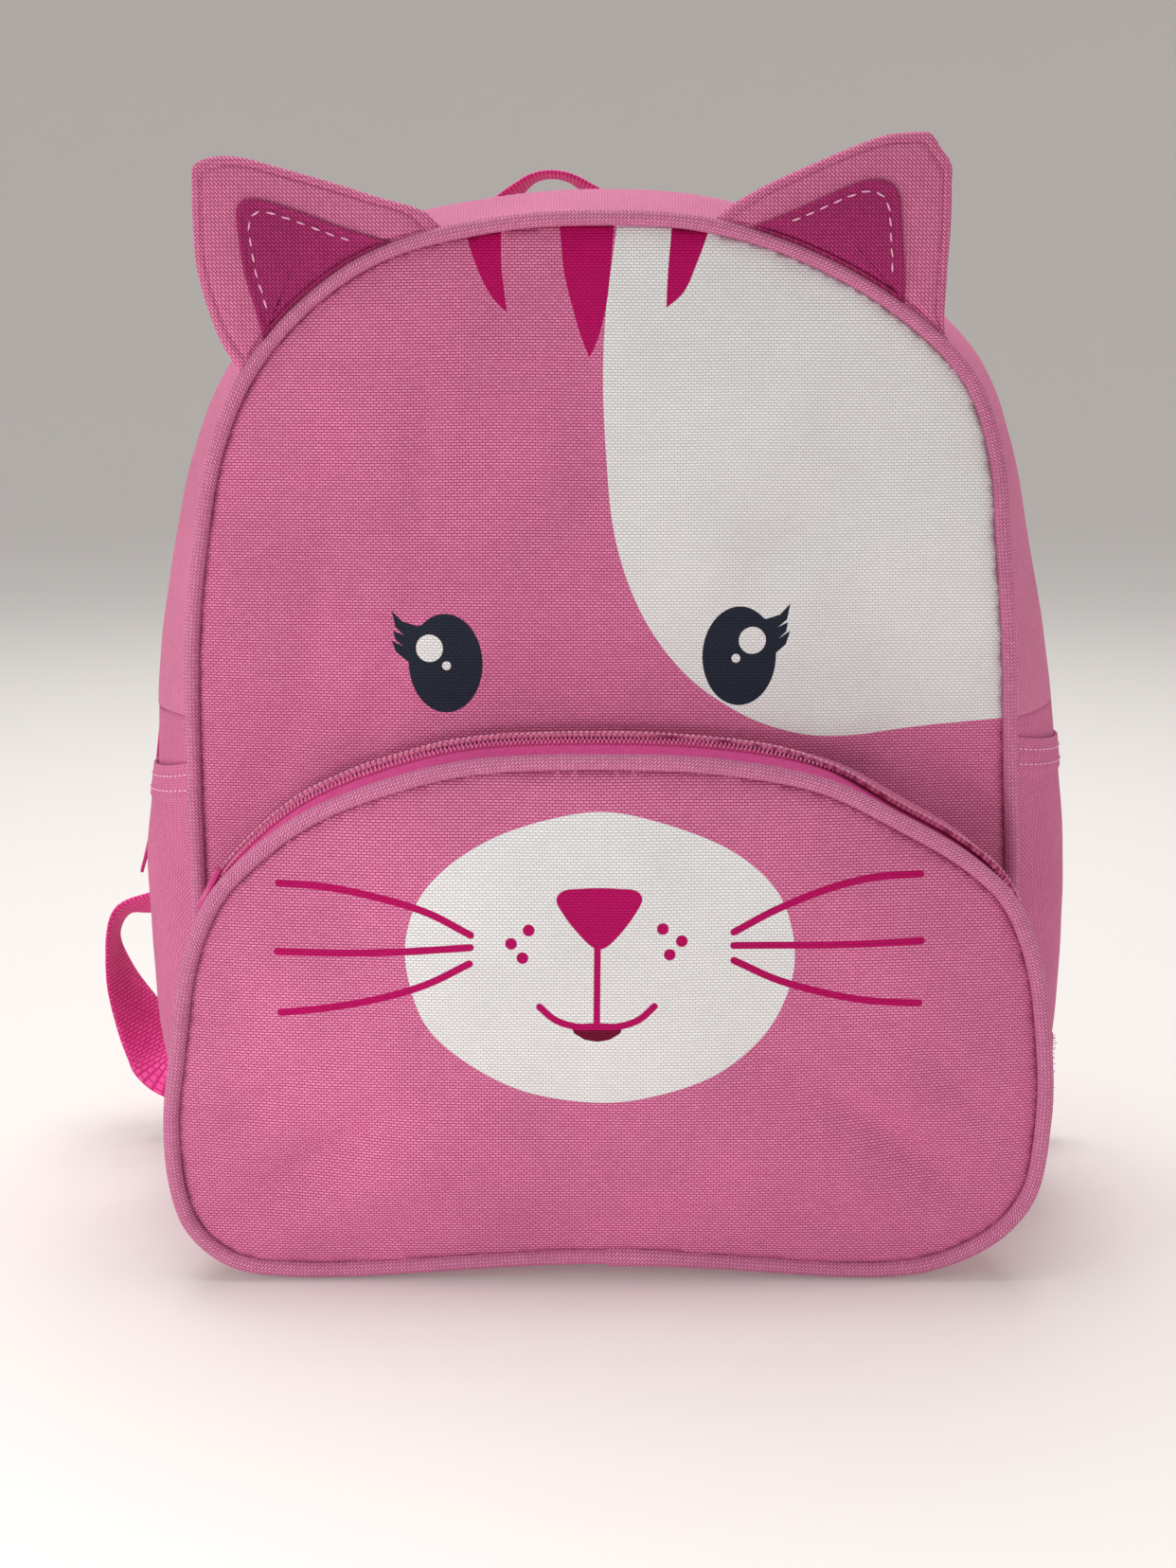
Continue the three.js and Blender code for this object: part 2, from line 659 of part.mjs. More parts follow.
// Where the zips end on each side, as shares round their seam lines
const zipRight = nearestShare(bodySeam, BODY_HALF_WIDTH, SIDE_SEAM_HEIGHT);
const zipLeft = nearestShare(bodySeam, -BODY_HALF_WIDTH, SIDE_SEAM_HEIGHT);
const pocketZipRight = nearestShare(pocketSeam, POCKET_HALF_WIDTH, POCKET_ZIP_END_HEIGHT);
const pocketZipLeft = nearestShare(pocketSeam, -POCKET_HALF_WIDTH, POCKET_ZIP_END_HEIGHT);
const ROUND_GAP = GAP / BODY_HEIGHT / 3;
const ACROSS_GAP = GAP / BODY_DEPTH;

function crownedPanels() {
  const bodyInset = BODY_PIPING / 2 + GAP;
  const pocketInset = POCKET_PIPING / 2 + GAP;
  const backY = BACK_Y + BACK_PAD;
  const front = crownedPanel(bodySeam, FRONT_CROWN, FRONT_FOLDS, FRONT_Y, -1, bodyInset, CLOTH, 5);
  const back = crownedPanel(bodySeam, BACK_CROWN, [], backY, 1, 0, BACK_PAD, 3);
  const pocket = crownedPanel(
    pocketSeam, POCKET_CROWN, POCKET_FOLDS, POCKET_Y, -1, pocketInset, CLOTH, 5,
  );
  addPiece('front_panel', front, PINK);
  addPiece('back_panel', back, PALE_PINK);
  addPiece('pocket_panel', pocket, PINK);
}

// Piping: a closed cord round a seam line, on the same steps as the panel inside it
function piping(name, seam, planeY, diameter) {
  const positions = [];
  const indices = [];
  for (let i = 0; i < SEAM_STEPS; i += 1) {
    const { point, normal } = onSeam(seam, i / SEAM_STEPS);
    for (let side = 0; side < PIPING_SIDES; side += 1) {
      const angle = (2 * Math.PI * side) / PIPING_SIDES;
      const place = point.clone().addScaledVector(normal, (Math.cos(angle) * diameter) / 2);
      positions.push(place.x, planeY + (Math.sin(angle) * diameter) / 2, place.z);
    }
  }
  const at = (i, side) => (i % SEAM_STEPS) * PIPING_SIDES + (side % PIPING_SIDES);
  for (let i = 0; i < SEAM_STEPS; i += 1) {
    for (let side = 0; side < PIPING_SIDES; side += 1) {
      indices.push(at(i, side), at(i + 1, side), at(i + 1, side + 1));
      indices.push(at(i, side), at(i + 1, side + 1), at(i, side + 1));
    }
  }
  addPiece(name, closedGeometry(positions, indices), PIPING_PINK);
}

const sideRounds = spread(zipLeft + ROUND_GAP, zipRight + 1 - ROUND_GAP, SIDE_STEPS);
const sideAcross = spread(0, 1, ACROSS_STEPS);

function bodySides() {
  const zipRounds = spread(zipRight, zipLeft, ZIP_STEPS);
  const middle = (ZIP_FRONT_SHARE + ZIP_BACK_SHARE) / 2;
  const coilTop = ZIP_COIL_WIDTH / 2 / BODY_DEPTH;
  const coilFoot = COIL_SPREAD_SHARE * coilTop;
  const coilLift = (_, across) => (Math.abs(across - middle) < coilFoot - 1e-6 ? ZIP_COIL_RAISE : 0);
  const coilAcross = [-coilFoot, -coilTop, coilTop, coilFoot].map((off) => middle + off);
  const zipAcross = [ZIP_FRONT_SHARE, ...coilAcross, ZIP_BACK_SHARE];
  const frontAcross = spread(0, ZIP_FRONT_SHARE - ACROSS_GAP, 3);
  const backAcross = spread(ZIP_BACK_SHARE + ACROSS_GAP, 1, 3);
  const onTape = () => -CLOTH;
  addPiece('zip_gusset_front', clothWall(bodySide, zipRounds, frontAcross, CLOTH), PALE_PINK);
  addPiece('zip_gusset_back', clothWall(bodySide, zipRounds, backAcross, CLOTH), PALE_PINK);
  addPiece('side_gusset', clothWall(bodySide, sideRounds, sideAcross, CLOTH), PINK);
  addPiece('main_zip', clothWall(bodySide, zipRounds, zipAcross, ZIP_TAPE, onTape, coilLift), HOT_PINK);
}

function pocketSides() {
  const lowerEnds = [pocketZipLeft + ROUND_GAP, pocketZipRight + 1 - ROUND_GAP];
  const lower = spread(lowerEnds[0], lowerEnds[1], POCKET_SIDE_STEPS);
  const zipRounds = spread(pocketZipRight, pocketZipLeft, POCKET_ZIP_STEPS);
  const along = (round) => (round - pocketZipRight) / (pocketZipLeft - pocketZipRight);
  const coilEdges = [-1, 1].map((side) => POCKET_COIL_AT_SHARE + side * POCKET_COIL_SHARE);
  const tapeEdges = [coilEdges[0] - POCKET_COIL_EDGE_SHARE, coilEdges[1] + POCKET_COIL_EDGE_SHARE];
  const zipAcross = [0, tapeEdges[0], ...coilEdges, tapeEdges[1], POCKET_TAPE_SHARE];
  const onCoil = (across) => across > tapeEdges[0] + 1e-6 && across < tapeEdges[1] - 1e-6;
  const coilLift = (_, across) => (onCoil(across) ? ZIP_COIL_RAISE : 0);
  const onTape = () => -CLOTH;
  addPiece('pocket_gusset', clothWall(pocketSide, lower, [0, 0.5, 1], CLOTH), PINK);
  addPiece('pocket_zip', clothWall(pocketSide, zipRounds, zipAcross, ZIP_TAPE, onTape, coilLift), HOT_PINK);
  const overZip = ZIP_COIL_RAISE + GAP;
  const fold = (round, part) => {
    const edge = readColumn(FOLD_EDGE, 'across', along(round));
    return pocketSide(round, THREE.MathUtils.lerp(edge, 1, part));
  };
  const foldLift = (round, part) => {
    const across = THREE.MathUtils.lerp(readColumn(FOLD_EDGE, 'across', along(round)), 1, part);
    return overZip * (1 - THREE.MathUtils.smoothstep(across, POCKET_TAPE_SHARE, 0.9));
  };
  addPiece('pocket_zip_fold', clothWall(fold, zipRounds, [0, 0.5, 1], CLOTH, foldLift), PALE_PINK);
}

// A patch pocket on a side, open at its hem and sewn in at the seams and the foot
function sidePocket(name, side, top) {
  const roundAt = (height) => {
    const round = nearestShare(bodySeam, side * BODY_HALF_WIDTH, height);
    return side < 0 ? round : round + 1;
  };
  const limits = [roundAt(top), roundAt(SIDE_POCKET_FOOT)].sort((a, b) => a - b);
  const hem = [roundAt(top - HEM_HEIGHT), roundAt(top - HEM_HEIGHT - 1)];
  const between = (round) => round > limits[0] + LEAST_STEP_SHARE && round < limits[1] - LEAST_STEP_SHARE;
  const shared = sideRounds.filter(between);
  const clear = shared.filter((round) => hem.every((line) => Math.abs(round - line) > LEAST_STEP_SHARE));
  const rounds = [roundAt(top), ...hem, ...clear].sort((a, b) => a - b);
  const heightOf = (round) => onSeam(bodySeam, round).point.z;
  const belly = (round, across) => {
    const level = (heightOf(round) - SIDE_POCKET_FOOT) / (top - SIDE_POCKET_FOOT);
    const part = THREE.MathUtils.clamp(level, 0, 1);
    return GAP + SIDE_POCKET_BELLY * Math.sin(Math.PI * part) * Math.sin(Math.PI * across);
  };
  const acrosses = [SIDE_POCKET_SEAM, ...sideAcross.slice(1, -1), 1 - SIDE_POCKET_SEAM];
  const hemRaise = (round) => (heightOf(round) > top - HEM_HEIGHT - 0.5 ? HEM_RAISE : 0);
  addPiece(name, clothWall(bodySide, rounds, acrosses, SIDE_POCKET_CLOTH, belly, hemRaise), PINK);
}

// An ear: a thin pillow sewn into the main seam behind the piping, with a cloth patch
function ear(side, plan) {
  const chordEnd = (mark) => {
    const z = BODY_SEAM_BASE + mark.height * (BODY_HEIGHT - BODY_SEAM_BASE);
    return nearestShare(bodySeam, mark.x * BODY_HALF_WIDTH, z);
  };
  const outOfSeam = (round, offset) => {
    const { point, normal } = onSeam(bodySeam, round);
    return point.clone().addScaledVector(normal, offset);
  };
  const rootRound = chordEnd(plan.root);
  const endRound = chordEnd(plan.end);
  const seat = BODY_PIPING / 2 + GAP;
  const root = outOfSeam(rootRound, seat);
  const end = outOfSeam(endRound, seat);
  const chord = end.clone().sub(root);
  const turn = side === 'left' ? 1 : -1;
  const outward = new THREE.Vector3(-chord.z * turn, 0, chord.x * turn).normalize();
  const local = (row) => root.clone().addScaledVector(chord, row.along)
    .addScaledVector(outward, row.out * EAR_HEIGHT);
  const tip = new THREE.CatmullRomCurve3([root, ...plan.outline.map(local), end], false, 'centripetal');
  const seamRounds = spread(0, 1, SEAM_STEPS);
  const between = (round) => (round - rootRound) * (round - endRound) < 0;
  const baseRounds = seamRounds.filter(between).sort((a, b) => turn * (a - b));
  const base = baseRounds.map((round) => outOfSeam(round, seat));
  const outline = [...tip.getSpacedPoints(20), ...base];
  const pillowMiddle = outline.reduce((sum, p) => sum.add(p), new THREE.Vector3());
  pillowMiddle.divideScalar(outline.length);
  const earShape = {
    samples: [...outline, outline[0]],
    centre: new THREE.Vector2(pillowMiddle.x, pillowMiddle.z),
  };
  const thickAt = (x, z) => {
    const share = Math.min(radialShare(earShape, x, z), 1);
    return (EAR_EDGE + (EAR_THICKNESS - EAR_EDGE) * (1 - share * share)) / 2;
  };
  const faceOf = (sign) => (p) => new THREE.Vector3(p.x, EAR_Y + sign * thickAt(p.x, p.z), p.z);
  const pillow = discPair(outline, pillowMiddle, [1, 0.8, 0.45], faceOf(-1), faceOf(1));
  addPiece(`ear_${side}`, pillow, PINK);
  const patchTip = new THREE.CatmullRomCurve3(plan.inner.map(local), false, 'centripetal');
  const patchRounds = plan.inner.map((row) => row.along);
  const first = THREE.MathUtils.lerp(rootRound, endRound, patchRounds[0]);
  const last = THREE.MathUtils.lerp(rootRound, endRound, patchRounds[patchRounds.length - 1]);
  const patchBase = spread(last, first, 5).map((round) => outOfSeam(round, seat + GAP));
  const patch = [...patchTip.getSpacedPoints(12), ...patchBase];
  const patchMiddle = patch.reduce((sum, p) => sum.add(p), new THREE.Vector3());
  patchMiddle.divideScalar(patch.length);
  const patchFace = (off) => (p) => new THREE.Vector3(p.x, EAR_Y - thickAt(p.x, p.z) - off, p.z);
  const patchFront = patchFace(INNER_EAR_GAP + INNER_EAR_CLOTH);
  addPiece(
    `inner_ear_${side}`,
    discPair(patch, patchMiddle, [1, 0.5], patchFront, patchFace(INNER_EAR_GAP)),
    DEEP_PINK,
  );
}

// A closed solid between two faces over one outline, with rings at the given shares
function discPair(outline, middle, shares, frontFace, backFace) {
  const rings = shares.map((share) => outline.map((p) => middle.clone().lerp(p, share)));
  const front = { rings: rings.map((ring) => ring.map(frontFace)), middle: frontFace(middle) };
  const back = { rings: rings.map((ring) => ring.map(backFace)), middle: backFace(middle) };
  return solidFromDiscs(front, back);
}

// Stations on a smooth line through rows of points and width directions: one at each
// row, and one between each two
function smoothStations(rows) {
  const spans = rows.length - 1;
  const line = new THREE.CatmullRomCurve3(rows.map((row) => row.point), false, 'centripetal');
  const widths = new THREE.CatmullRomCurve3(rows.map((row) => row.across), false, 'centripetal');
  return spread(0, 1, 2 * spans).map((t) => {
    const index = Math.min(Math.floor(t * spans), spans - 1);
    const part = t * spans - index;
    const between = (key) => THREE.MathUtils.lerp(rows[index][key], rows[index + 1][key], part);
    return {
      point: line.getPoint(t),
      across: widths.getPoint(t),
      width: between('width'),
      thickness: between('thickness'),
    };
  });
}

// A webbing loop at the top, its ends sewn to the back panel and its middle lying flat
function carryLoop() {
  const half = CARRY_LOOP_SPAN / 2;
  const rows = [];
  const crest = BODY_HEIGHT + CARRY_LOOP_RISE;
  const foot = BODY_HEIGHT - CARRY_LOOP_SEWN;
  const shape = [
    { x: -1, level: 0, wx: 1, wy: 0 },
    { x: -1, level: 0.3, wx: 1, wy: 0.1 },
    { x: -0.86, level: 0.62, wx: 0.8, wy: 0.6 },
    { x: -0.48, level: 0.9, wx: 0.3, wy: 1 },
    { x: 0, level: 1, wx: 0, wy: 1 },
    { x: 0.48, level: 0.9, wx: -0.3, wy: 1 },
    { x: 0.86, level: 0.62, wx: -0.8, wy: 0.6 },
    { x: 1, level: 0.3, wx: -1, wy: 0.1 },
    { x: 1, level: 0, wx: -1, wy: 0 },
  ];
  const seatY = Math.max(backFaceY(CARRY_LOOP_X, foot), BACK_Y + BACK_PAD) + GAP + WEBBING / 2;
  for (const row of shape) {
    const z = THREE.MathUtils.lerp(foot, crest, row.level);
    const point = new THREE.Vector3(CARRY_LOOP_X + row.x * half, seatY, z);
    rows.push({ point, across: new THREE.Vector3(row.wx, row.wy, 0), width: CARRY_LOOP_WIDTH });
  }
  rows.forEach((row) => { row.thickness = WEBBING; });
  addPiece('carry_loop', strip(smoothStations(rows), FLAT_SECTION), WEBBING_PINK);
}

// A padded shoulder strap with its adjuster, its lower webbing and its corner tab
function shoulderStrap(side) {
  const hand = side === 'left' ? -1 : 1;
  const across = new THREE.Vector3(hand, 0, 0);
  const level = (share) => BODY_SEAM_BASE + share * (BODY_HEIGHT - BODY_SEAM_BASE);
  const top = STRAP_LINE[0];
  const seatY = backFaceY(top.x * BODY_HALF_WIDTH, level(top.height)) + SEAT_GAP + STRAP_PAD / 2;
  const rows = STRAP_LINE.map((row) => ({
    point: new THREE.Vector3(
      hand * row.x * BODY_HALF_WIDTH, seatY + row.back * BODY_DEPTH, level(row.height),
    ),
    across,
    width: row.width * STRAP_WIDTH,
    thickness: STRAP_PAD,
  }));
  const stations = smoothStations(rows);
  addPiece(`shoulder_strap_${side}`, strip(stations, PADDED_SECTION), PINK);

  const end = stations[stations.length - 1].point;
  const down = end.clone().sub(stations[stations.length - 2].point).normalize();
  const wide = across.clone().addScaledVector(down, -down.dot(across)).normalize();
  const out = wide.clone().cross(down).multiplyScalar(hand).normalize();
  const outward = out.y < 0 ? out.negate() : out;
  const centre = end.clone().addScaledVector(down, GAP + ADJUSTER_HEIGHT / 2);
  addPiece(`strap_adjuster_${side}`, adjuster(centre, down, outward), HOT_PINK, 0.45);

  const place = (along, off) => centre.clone().addScaledVector(down, along)
    .addScaledVector(outward, off);
  const clear = ADJUSTER_PLATE / 2 + GAP + WEBBING / 2 + THREAD_SLACK;
  const slotStart = ADJUSTER_BAR / 2;
  const slotEnd = ADJUSTER_HEIGHT / 2 - ADJUSTER_BAR;
  const threaded = [
    place(-ADJUSTER_BAR, clear),
    place(slotStart, clear),
    place(slotEnd, -clear),
    place(ADJUSTER_HEIGHT / 2 + THREAD_TAIL, -clear),
  ];
  const first = threaded.map((point) => ({ point, across: wide, width: WEBBING_WIDTH }));
  const loose = WEBBING_LINES[side].map((row) => ({
    point: new THREE.Vector3(
      hand * row.x * BODY_HALF_WIDTH, BACK_Y + row.back * BODY_DEPTH, level(row.height),
    ),
    across: new THREE.Vector3(hand * row.wx, row.wy, row.wz),
    width: WEBBING_WIDTH,
  }));

  const plan = TABS[side];
  const tabLow = TAB_HEIGHT - TAB_ROOT / 2;
  const seamX = Math.max(...bodySeam.samples
    .filter((p) => p.x * hand > 0 && p.z > tabLow && p.z < tabLow + TAB_ROOT)
    .map((p) => p.x * hand));
  const tabY = BACK_Y + TAB_CLOTH / 2 + GAP;
  const tabLength = plan.reach * TAB_LENGTH;
  const tabAt = (part) => new THREE.Vector3(
    hand * (seamX + SEAT_GAP + part * tabLength),
    tabY + plan.turn * tabLength * part * part,
    TAB_HEIGHT,
  );
  const tabRows = spread(0, 1, 6).map((part) => ({
    point: tabAt(part),
    across: new THREE.Vector3(0, 0, 1),
    width: THREE.MathUtils.lerp(TAB_ROOT, TAB_TIP, part),
    thickness: TAB_CLOTH,
  }));
  addPiece(`strap_anchor_${side}`, strip(tabRows, FLAT_SECTION), PINK);

  const off = TAB_CLOTH / 2 + SEWN_GAP + WEBBING / 2;
  const onTab = (along, up) => {
    const place = tabAt(plan.sewn + along / tabLength);
    place.y += off;
    place.z += up;
    return place;
  };
  const sewnAcross = new THREE.Vector3(hand * plan.wx, 0, plan.wz);
  const last = [1, 0.5, 0].map((part) => ({
    point: onTab(plan.fromAlong * WEBBING_WIDTH * part, plan.fromUp * WEBBING_WIDTH * part),
    across: sewnAcross,
    width: WEBBING_WIDTH,
  }));
  const line = [...first, ...loose, ...last];
  line.forEach((row) => { row.thickness = WEBBING; });
  addPiece(`strap_webbing_${side}`, strip(smoothStations(line), FLAT_SECTION), WEBBING_PINK);
}

// A flat plastic adjuster with two slots, its length along one direction
function adjuster(centre, down, outward) {
  const plate = new THREE.Shape();
  const halfWide = ADJUSTER_WIDTH / 2;
  const halfHigh = ADJUSTER_HEIGHT / 2;
  plate.moveTo(-halfWide, -halfHigh);
  plate.lineTo(halfWide, -halfHigh);
  plate.lineTo(halfWide, halfHigh);
  plate.lineTo(-halfWide, halfHigh);
  const slotHigh = halfHigh - 1.5 * ADJUSTER_BAR;
  for (const slotMiddle of [-1, 1].map((s) => s * (ADJUSTER_BAR / 2 + slotHigh / 2))) {
    const slot = new THREE.Path();
    const slotWide = halfWide - ADJUSTER_BAR;
    slot.moveTo(-slotWide, slotMiddle - slotHigh / 2);
    slot.lineTo(-slotWide, slotMiddle + slotHigh / 2);
    slot.lineTo(slotWide, slotMiddle + slotHigh / 2);
    slot.lineTo(slotWide, slotMiddle - slotHigh / 2);
    plate.holes.push(slot);
  }
  const geometry = new THREE.ExtrudeGeometry(plate, { depth: ADJUSTER_PLATE, bevelEnabled: false });
  geometry.translate(0, 0, -ADJUSTER_PLATE / 2);
  return turned(geometry, centre, down, outward);
}

// Turns a geometry made on the x, y and z axes to three directions at a place
function turned(geometry, centre, yAxis, zAxis) {
  const right = new THREE.Vector3().crossVectors(yAxis, zAxis);
  const basis = new THREE.Matrix4().makeBasis(right, yAxis, zAxis).setPosition(centre);
  geometry.applyMatrix4(basis);
  return geometry;
}

// A zip slider: a tapered block whose long side lies along the zip
function slider(name, surface, round, across, lift) {
  const { point, normal, along } = placeOn(surface, round, across, lift);
  const outline = new THREE.Shape();
  outline.moveTo(-SLIDER_WIDTH / 2, SLIDER_LENGTH / 2);
  outline.lineTo(-SLIDER_WIDTH / 2, 0);
  outline.lineTo(-SLIDER_WIDTH / 4, -SLIDER_LENGTH / 2);
  outline.lineTo(SLIDER_WIDTH / 4, -SLIDER_LENGTH / 2);
  outline.lineTo(SLIDER_WIDTH / 2, 0);
  outline.lineTo(SLIDER_WIDTH / 2, SLIDER_LENGTH / 2);
  const body = new THREE.ExtrudeGeometry(outline, {
    depth: SLIDER_HEIGHT,
    bevelEnabled: true,
    bevelSize: SLIDER_ROUND,
    bevelThickness: SLIDER_ROUND,
    bevelSegments: 1,
  });
  body.translate(0, 0, SLIDER_ROUND);
  const run = along.normalize();
  addPiece(name, turned(body, point, run, normal), HOT_PINK, 0.4);
}

// The ribbon pull that hangs from the main slider down the left side
function mainZipPull(startRound, across) {
  const top = placeOn(bodySide, startRound, across, 0).point.z;
  const rows = PULL_LINE.map((row) => {
    const height = top - (row.down - PULL_LINE[0].down) * PULL_LENGTH;
    const round = nearestShare(bodySeam, -BODY_HALF_WIDTH, height);
    const { point, normal, over } = placeOn(bodySide, round, across, row.off * PULL_STANDOFF);
    const wide = over.normalize().addScaledVector(normal, row.turn);
    return { point, across: wide, width: PULL_WIDTH, thickness: PULL_RIBBON };
  });
  addPiece('main_zip_pull', strip(smoothStations(rows), FLAT_SECTION), WEBBING_PINK);
}

function zipFittings() {
  const middle = (ZIP_FRONT_SHARE + ZIP_BACK_SHARE) / 2;
  const coilTop = ZIP_TAPE + ZIP_COIL_RAISE - CLOTH + GAP;
  const parked = zipLeft - SLIDER_LENGTH / BODY_HEIGHT / 3;
  slider('main_zip_slider', bodySide, parked, middle, coilTop);
  mainZipPull(parked, middle);
  const pocketParked = pocketZipLeft - SLIDER_LENGTH / POCKET_HEIGHT / 6;
  slider('pocket_zip_slider', pocketSide, pocketParked, POCKET_COIL_AT_SHARE, coilTop);
}

crownedPanels();
piping('front_piping', bodySeam, FRONT_Y, BODY_PIPING);
piping('pocket_piping', pocketSeam, POCKET_Y, POCKET_PIPING);
bodySides();
pocketSides();
sidePocket('side_pocket_left', -1, SIDE_POCKET_LEFT_TOP);
sidePocket('side_pocket_right', 1, SIDE_POCKET_RIGHT_TOP);
ear('left', EARS.left);
ear('right', EARS.right);
carryLoop();
shoulderStrap('left');
shoulderStrap('right');
zipFittings();

export default bag;
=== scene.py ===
"""Kids animal backpack: a soft child's backpack with a cat's face on its front.

Everything is in the frame of the fixed solids: +Z up, the face towards -Y, the wearer's back
towards +Y and the floor at Z = 0. Sizes are millimetres until a mesh is made, and shares are
lengths divided by the named size that they follow.
"""
import logging
import math
from dataclasses import dataclass, field
from enum import Enum
from typing import Callable, Optional, Sequence

import bmesh
import bpy
import numpy as np
from mathutils import Matrix, Vector, kdtree, noise
from mathutils.bvhtree import BVHTree
from mathutils.geometry import delaunay_2d_cdt


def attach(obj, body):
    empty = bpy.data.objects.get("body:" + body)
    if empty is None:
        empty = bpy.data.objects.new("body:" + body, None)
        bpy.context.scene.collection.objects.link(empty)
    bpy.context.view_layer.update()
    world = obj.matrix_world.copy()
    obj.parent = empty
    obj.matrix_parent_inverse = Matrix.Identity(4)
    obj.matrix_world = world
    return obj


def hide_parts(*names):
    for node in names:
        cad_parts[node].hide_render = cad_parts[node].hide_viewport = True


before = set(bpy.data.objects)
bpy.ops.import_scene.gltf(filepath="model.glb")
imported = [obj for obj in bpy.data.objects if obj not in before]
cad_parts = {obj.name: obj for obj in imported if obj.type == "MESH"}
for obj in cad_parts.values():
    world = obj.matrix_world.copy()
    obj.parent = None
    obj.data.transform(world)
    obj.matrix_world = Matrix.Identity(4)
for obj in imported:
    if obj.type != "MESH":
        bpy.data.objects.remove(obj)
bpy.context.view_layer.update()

LOG = logging.getLogger("kids_animal_backpack")
MM = 0.001
WEAVE_MAP = "weave"
PRESSED_IN = 0.55
Directions = Callable[[np.ndarray], np.ndarray]
Surface = Callable[[np.ndarray, np.ndarray], np.ndarray]


class Side(Enum):
    """A side of the bag, as its front is seen."""

    LEFT = -1
    RIGHT = 1

    @property
    def word(self) -> str:
        """The side's name in piece names."""
        return self.name.lower()


# Tables


@dataclass(frozen=True)
class SeamRow:
    """One height of a seam line: shares of the seam's height and of its half width."""

    height: float
    left: float
    right: float


@dataclass(frozen=True)
class Fold:
    """A dent: place and reach in shares of half width and height, depth in millimetres."""

    x: float
    height: float
    long: float
    wide: float
    slant: float
    depth: float


BODY_OUTLINE = (
    SeamRow(0, 0.49, 0.49), SeamRow(0.011, 0.784, 0.784), SeamRow(0.054, 0.915, 0.922),
    SeamRow(0.139, 0.975, 0.988), SeamRow(0.253, 0.99, 1.007), SeamRow(0.367, 0.992, 1.011),
    SeamRow(0.477, 0.994, 0.998), SeamRow(0.6, 0.988, 0.984), SeamRow(0.692, 0.962, 0.963),
    SeamRow(0.78, 0.919, 0.938), SeamRow(0.852, 0.842, 0.869), SeamRow(0.916, 0.708, 0.702),
    SeamRow(0.966, 0.522, 0.476), SeamRow(0.9935, 0.25, 0.247),
)
POCKET_OUTLINE = (
    SeamRow(0.002, 0.7, 0.65), SeamRow(0.021, 0.852, 0.79), SeamRow(0.08, 0.938, 0.918),
    SeamRow(0.158, 0.974, 0.985), SeamRow(0.302, 0.985, 1.011), SeamRow(0.432, 0.966, 1.008),
    SeamRow(0.615, 0.93, 0.975), SeamRow(0.733, 0.872, 0.915), SeamRow(0.811, 0.788, 0.816),
    SeamRow(0.892, 0.657, 0.65), SeamRow(0.954, 0.473, 0.495), SeamRow(0.99, 0.288, 0.27),
)
SIDE_SWELL = (
    SeamRow(0, 0.35, 0.35), SeamRow(0.02, 0.42, 0.42), SeamRow(0.054, 0.6, 0.66),
    SeamRow(0.139, 0.84, 0.97), SeamRow(0.253, 0.9, 0.98), SeamRow(0.367, 0.96, 0.96),
    SeamRow(0.477, 0.8, 0.95), SeamRow(0.535, 0.79, 0.91), SeamRow(0.6, 0.72, 0.8),
    SeamRow(0.692, 0.62, 0.66), SeamRow(0.78, 0.54, 0.52), SeamRow(0.852, 0.5, 0.5),
    SeamRow(1, 0.49, 0.49),
)
FRONT_FOLDS = (
    Fold(-0.62, 0.72, 0.16, 0.09, 80, 3.0), Fold(-0.28, 0.78, 0.14, 0.07, 75, 2.2),
    Fold(0.62, 0.78, 0.22, 0.1, 60, 3.6), Fold(0.72, 0.6, 0.18, 0.08, 20, 2.6),
    Fold(0.86, 0.475, 0.1, 0.045, -42, 3.4), Fold(0.62, 0.495, 0.12, 0.03, 36, 2.4),
    Fold(-0.42, 0.8, 0.16, 0.024, 84, 1.3), Fold(-0.7, 0.62, 0.15, 0.024, 78, 1.2),
    Fold(-0.78, 0.5, 0.12, 0.035, 60, 1.6), Fold(0.45, 0.7, 0.12, 0.03, 48, 1.3),
    Fold(0.66, 0.66, 0.11, 0.026, 28, 1.4), Fold(0.5, 0.585, 0.1, 0.024, -20, 1.2),
    Fold(-0.2, 0.56, 0.2, 0.04, 5, 1.4), Fold(-0.5, 0.58, 0.14, 0.03, 70, 1.2),
)
POCKET_FOLDS = (
    Fold(-0.72, 0.2, 0.34, 0.08, 33, 4.0), Fold(-0.5, 0.1, 0.3, 0.07, 22, 2.6),
    Fold(0.74, 0.24, 0.34, 0.08, -38, 4.0), Fold(0.55, 0.12, 0.26, 0.07, -25, 2.4),
    Fold(0, 0.04, 0.5, 0.09, 0, 2.4), Fold(-0.8, 0.34, 0.3, 0.04, 40, 1.7),
    Fold(-0.62, 0.27, 0.24, 0.035, 30, 1.5), Fold(0.8, 0.4, 0.26, 0.04, -48, 1.5),
    Fold(0.66, 0.3, 0.22, 0.035, -36, 1.3), Fold(0.1, 0.13, 0.4, 0.045, 3, 1.3),
    Fold(-0.3, 0.9, 0.2, 0.045, 12, 1.1),
)


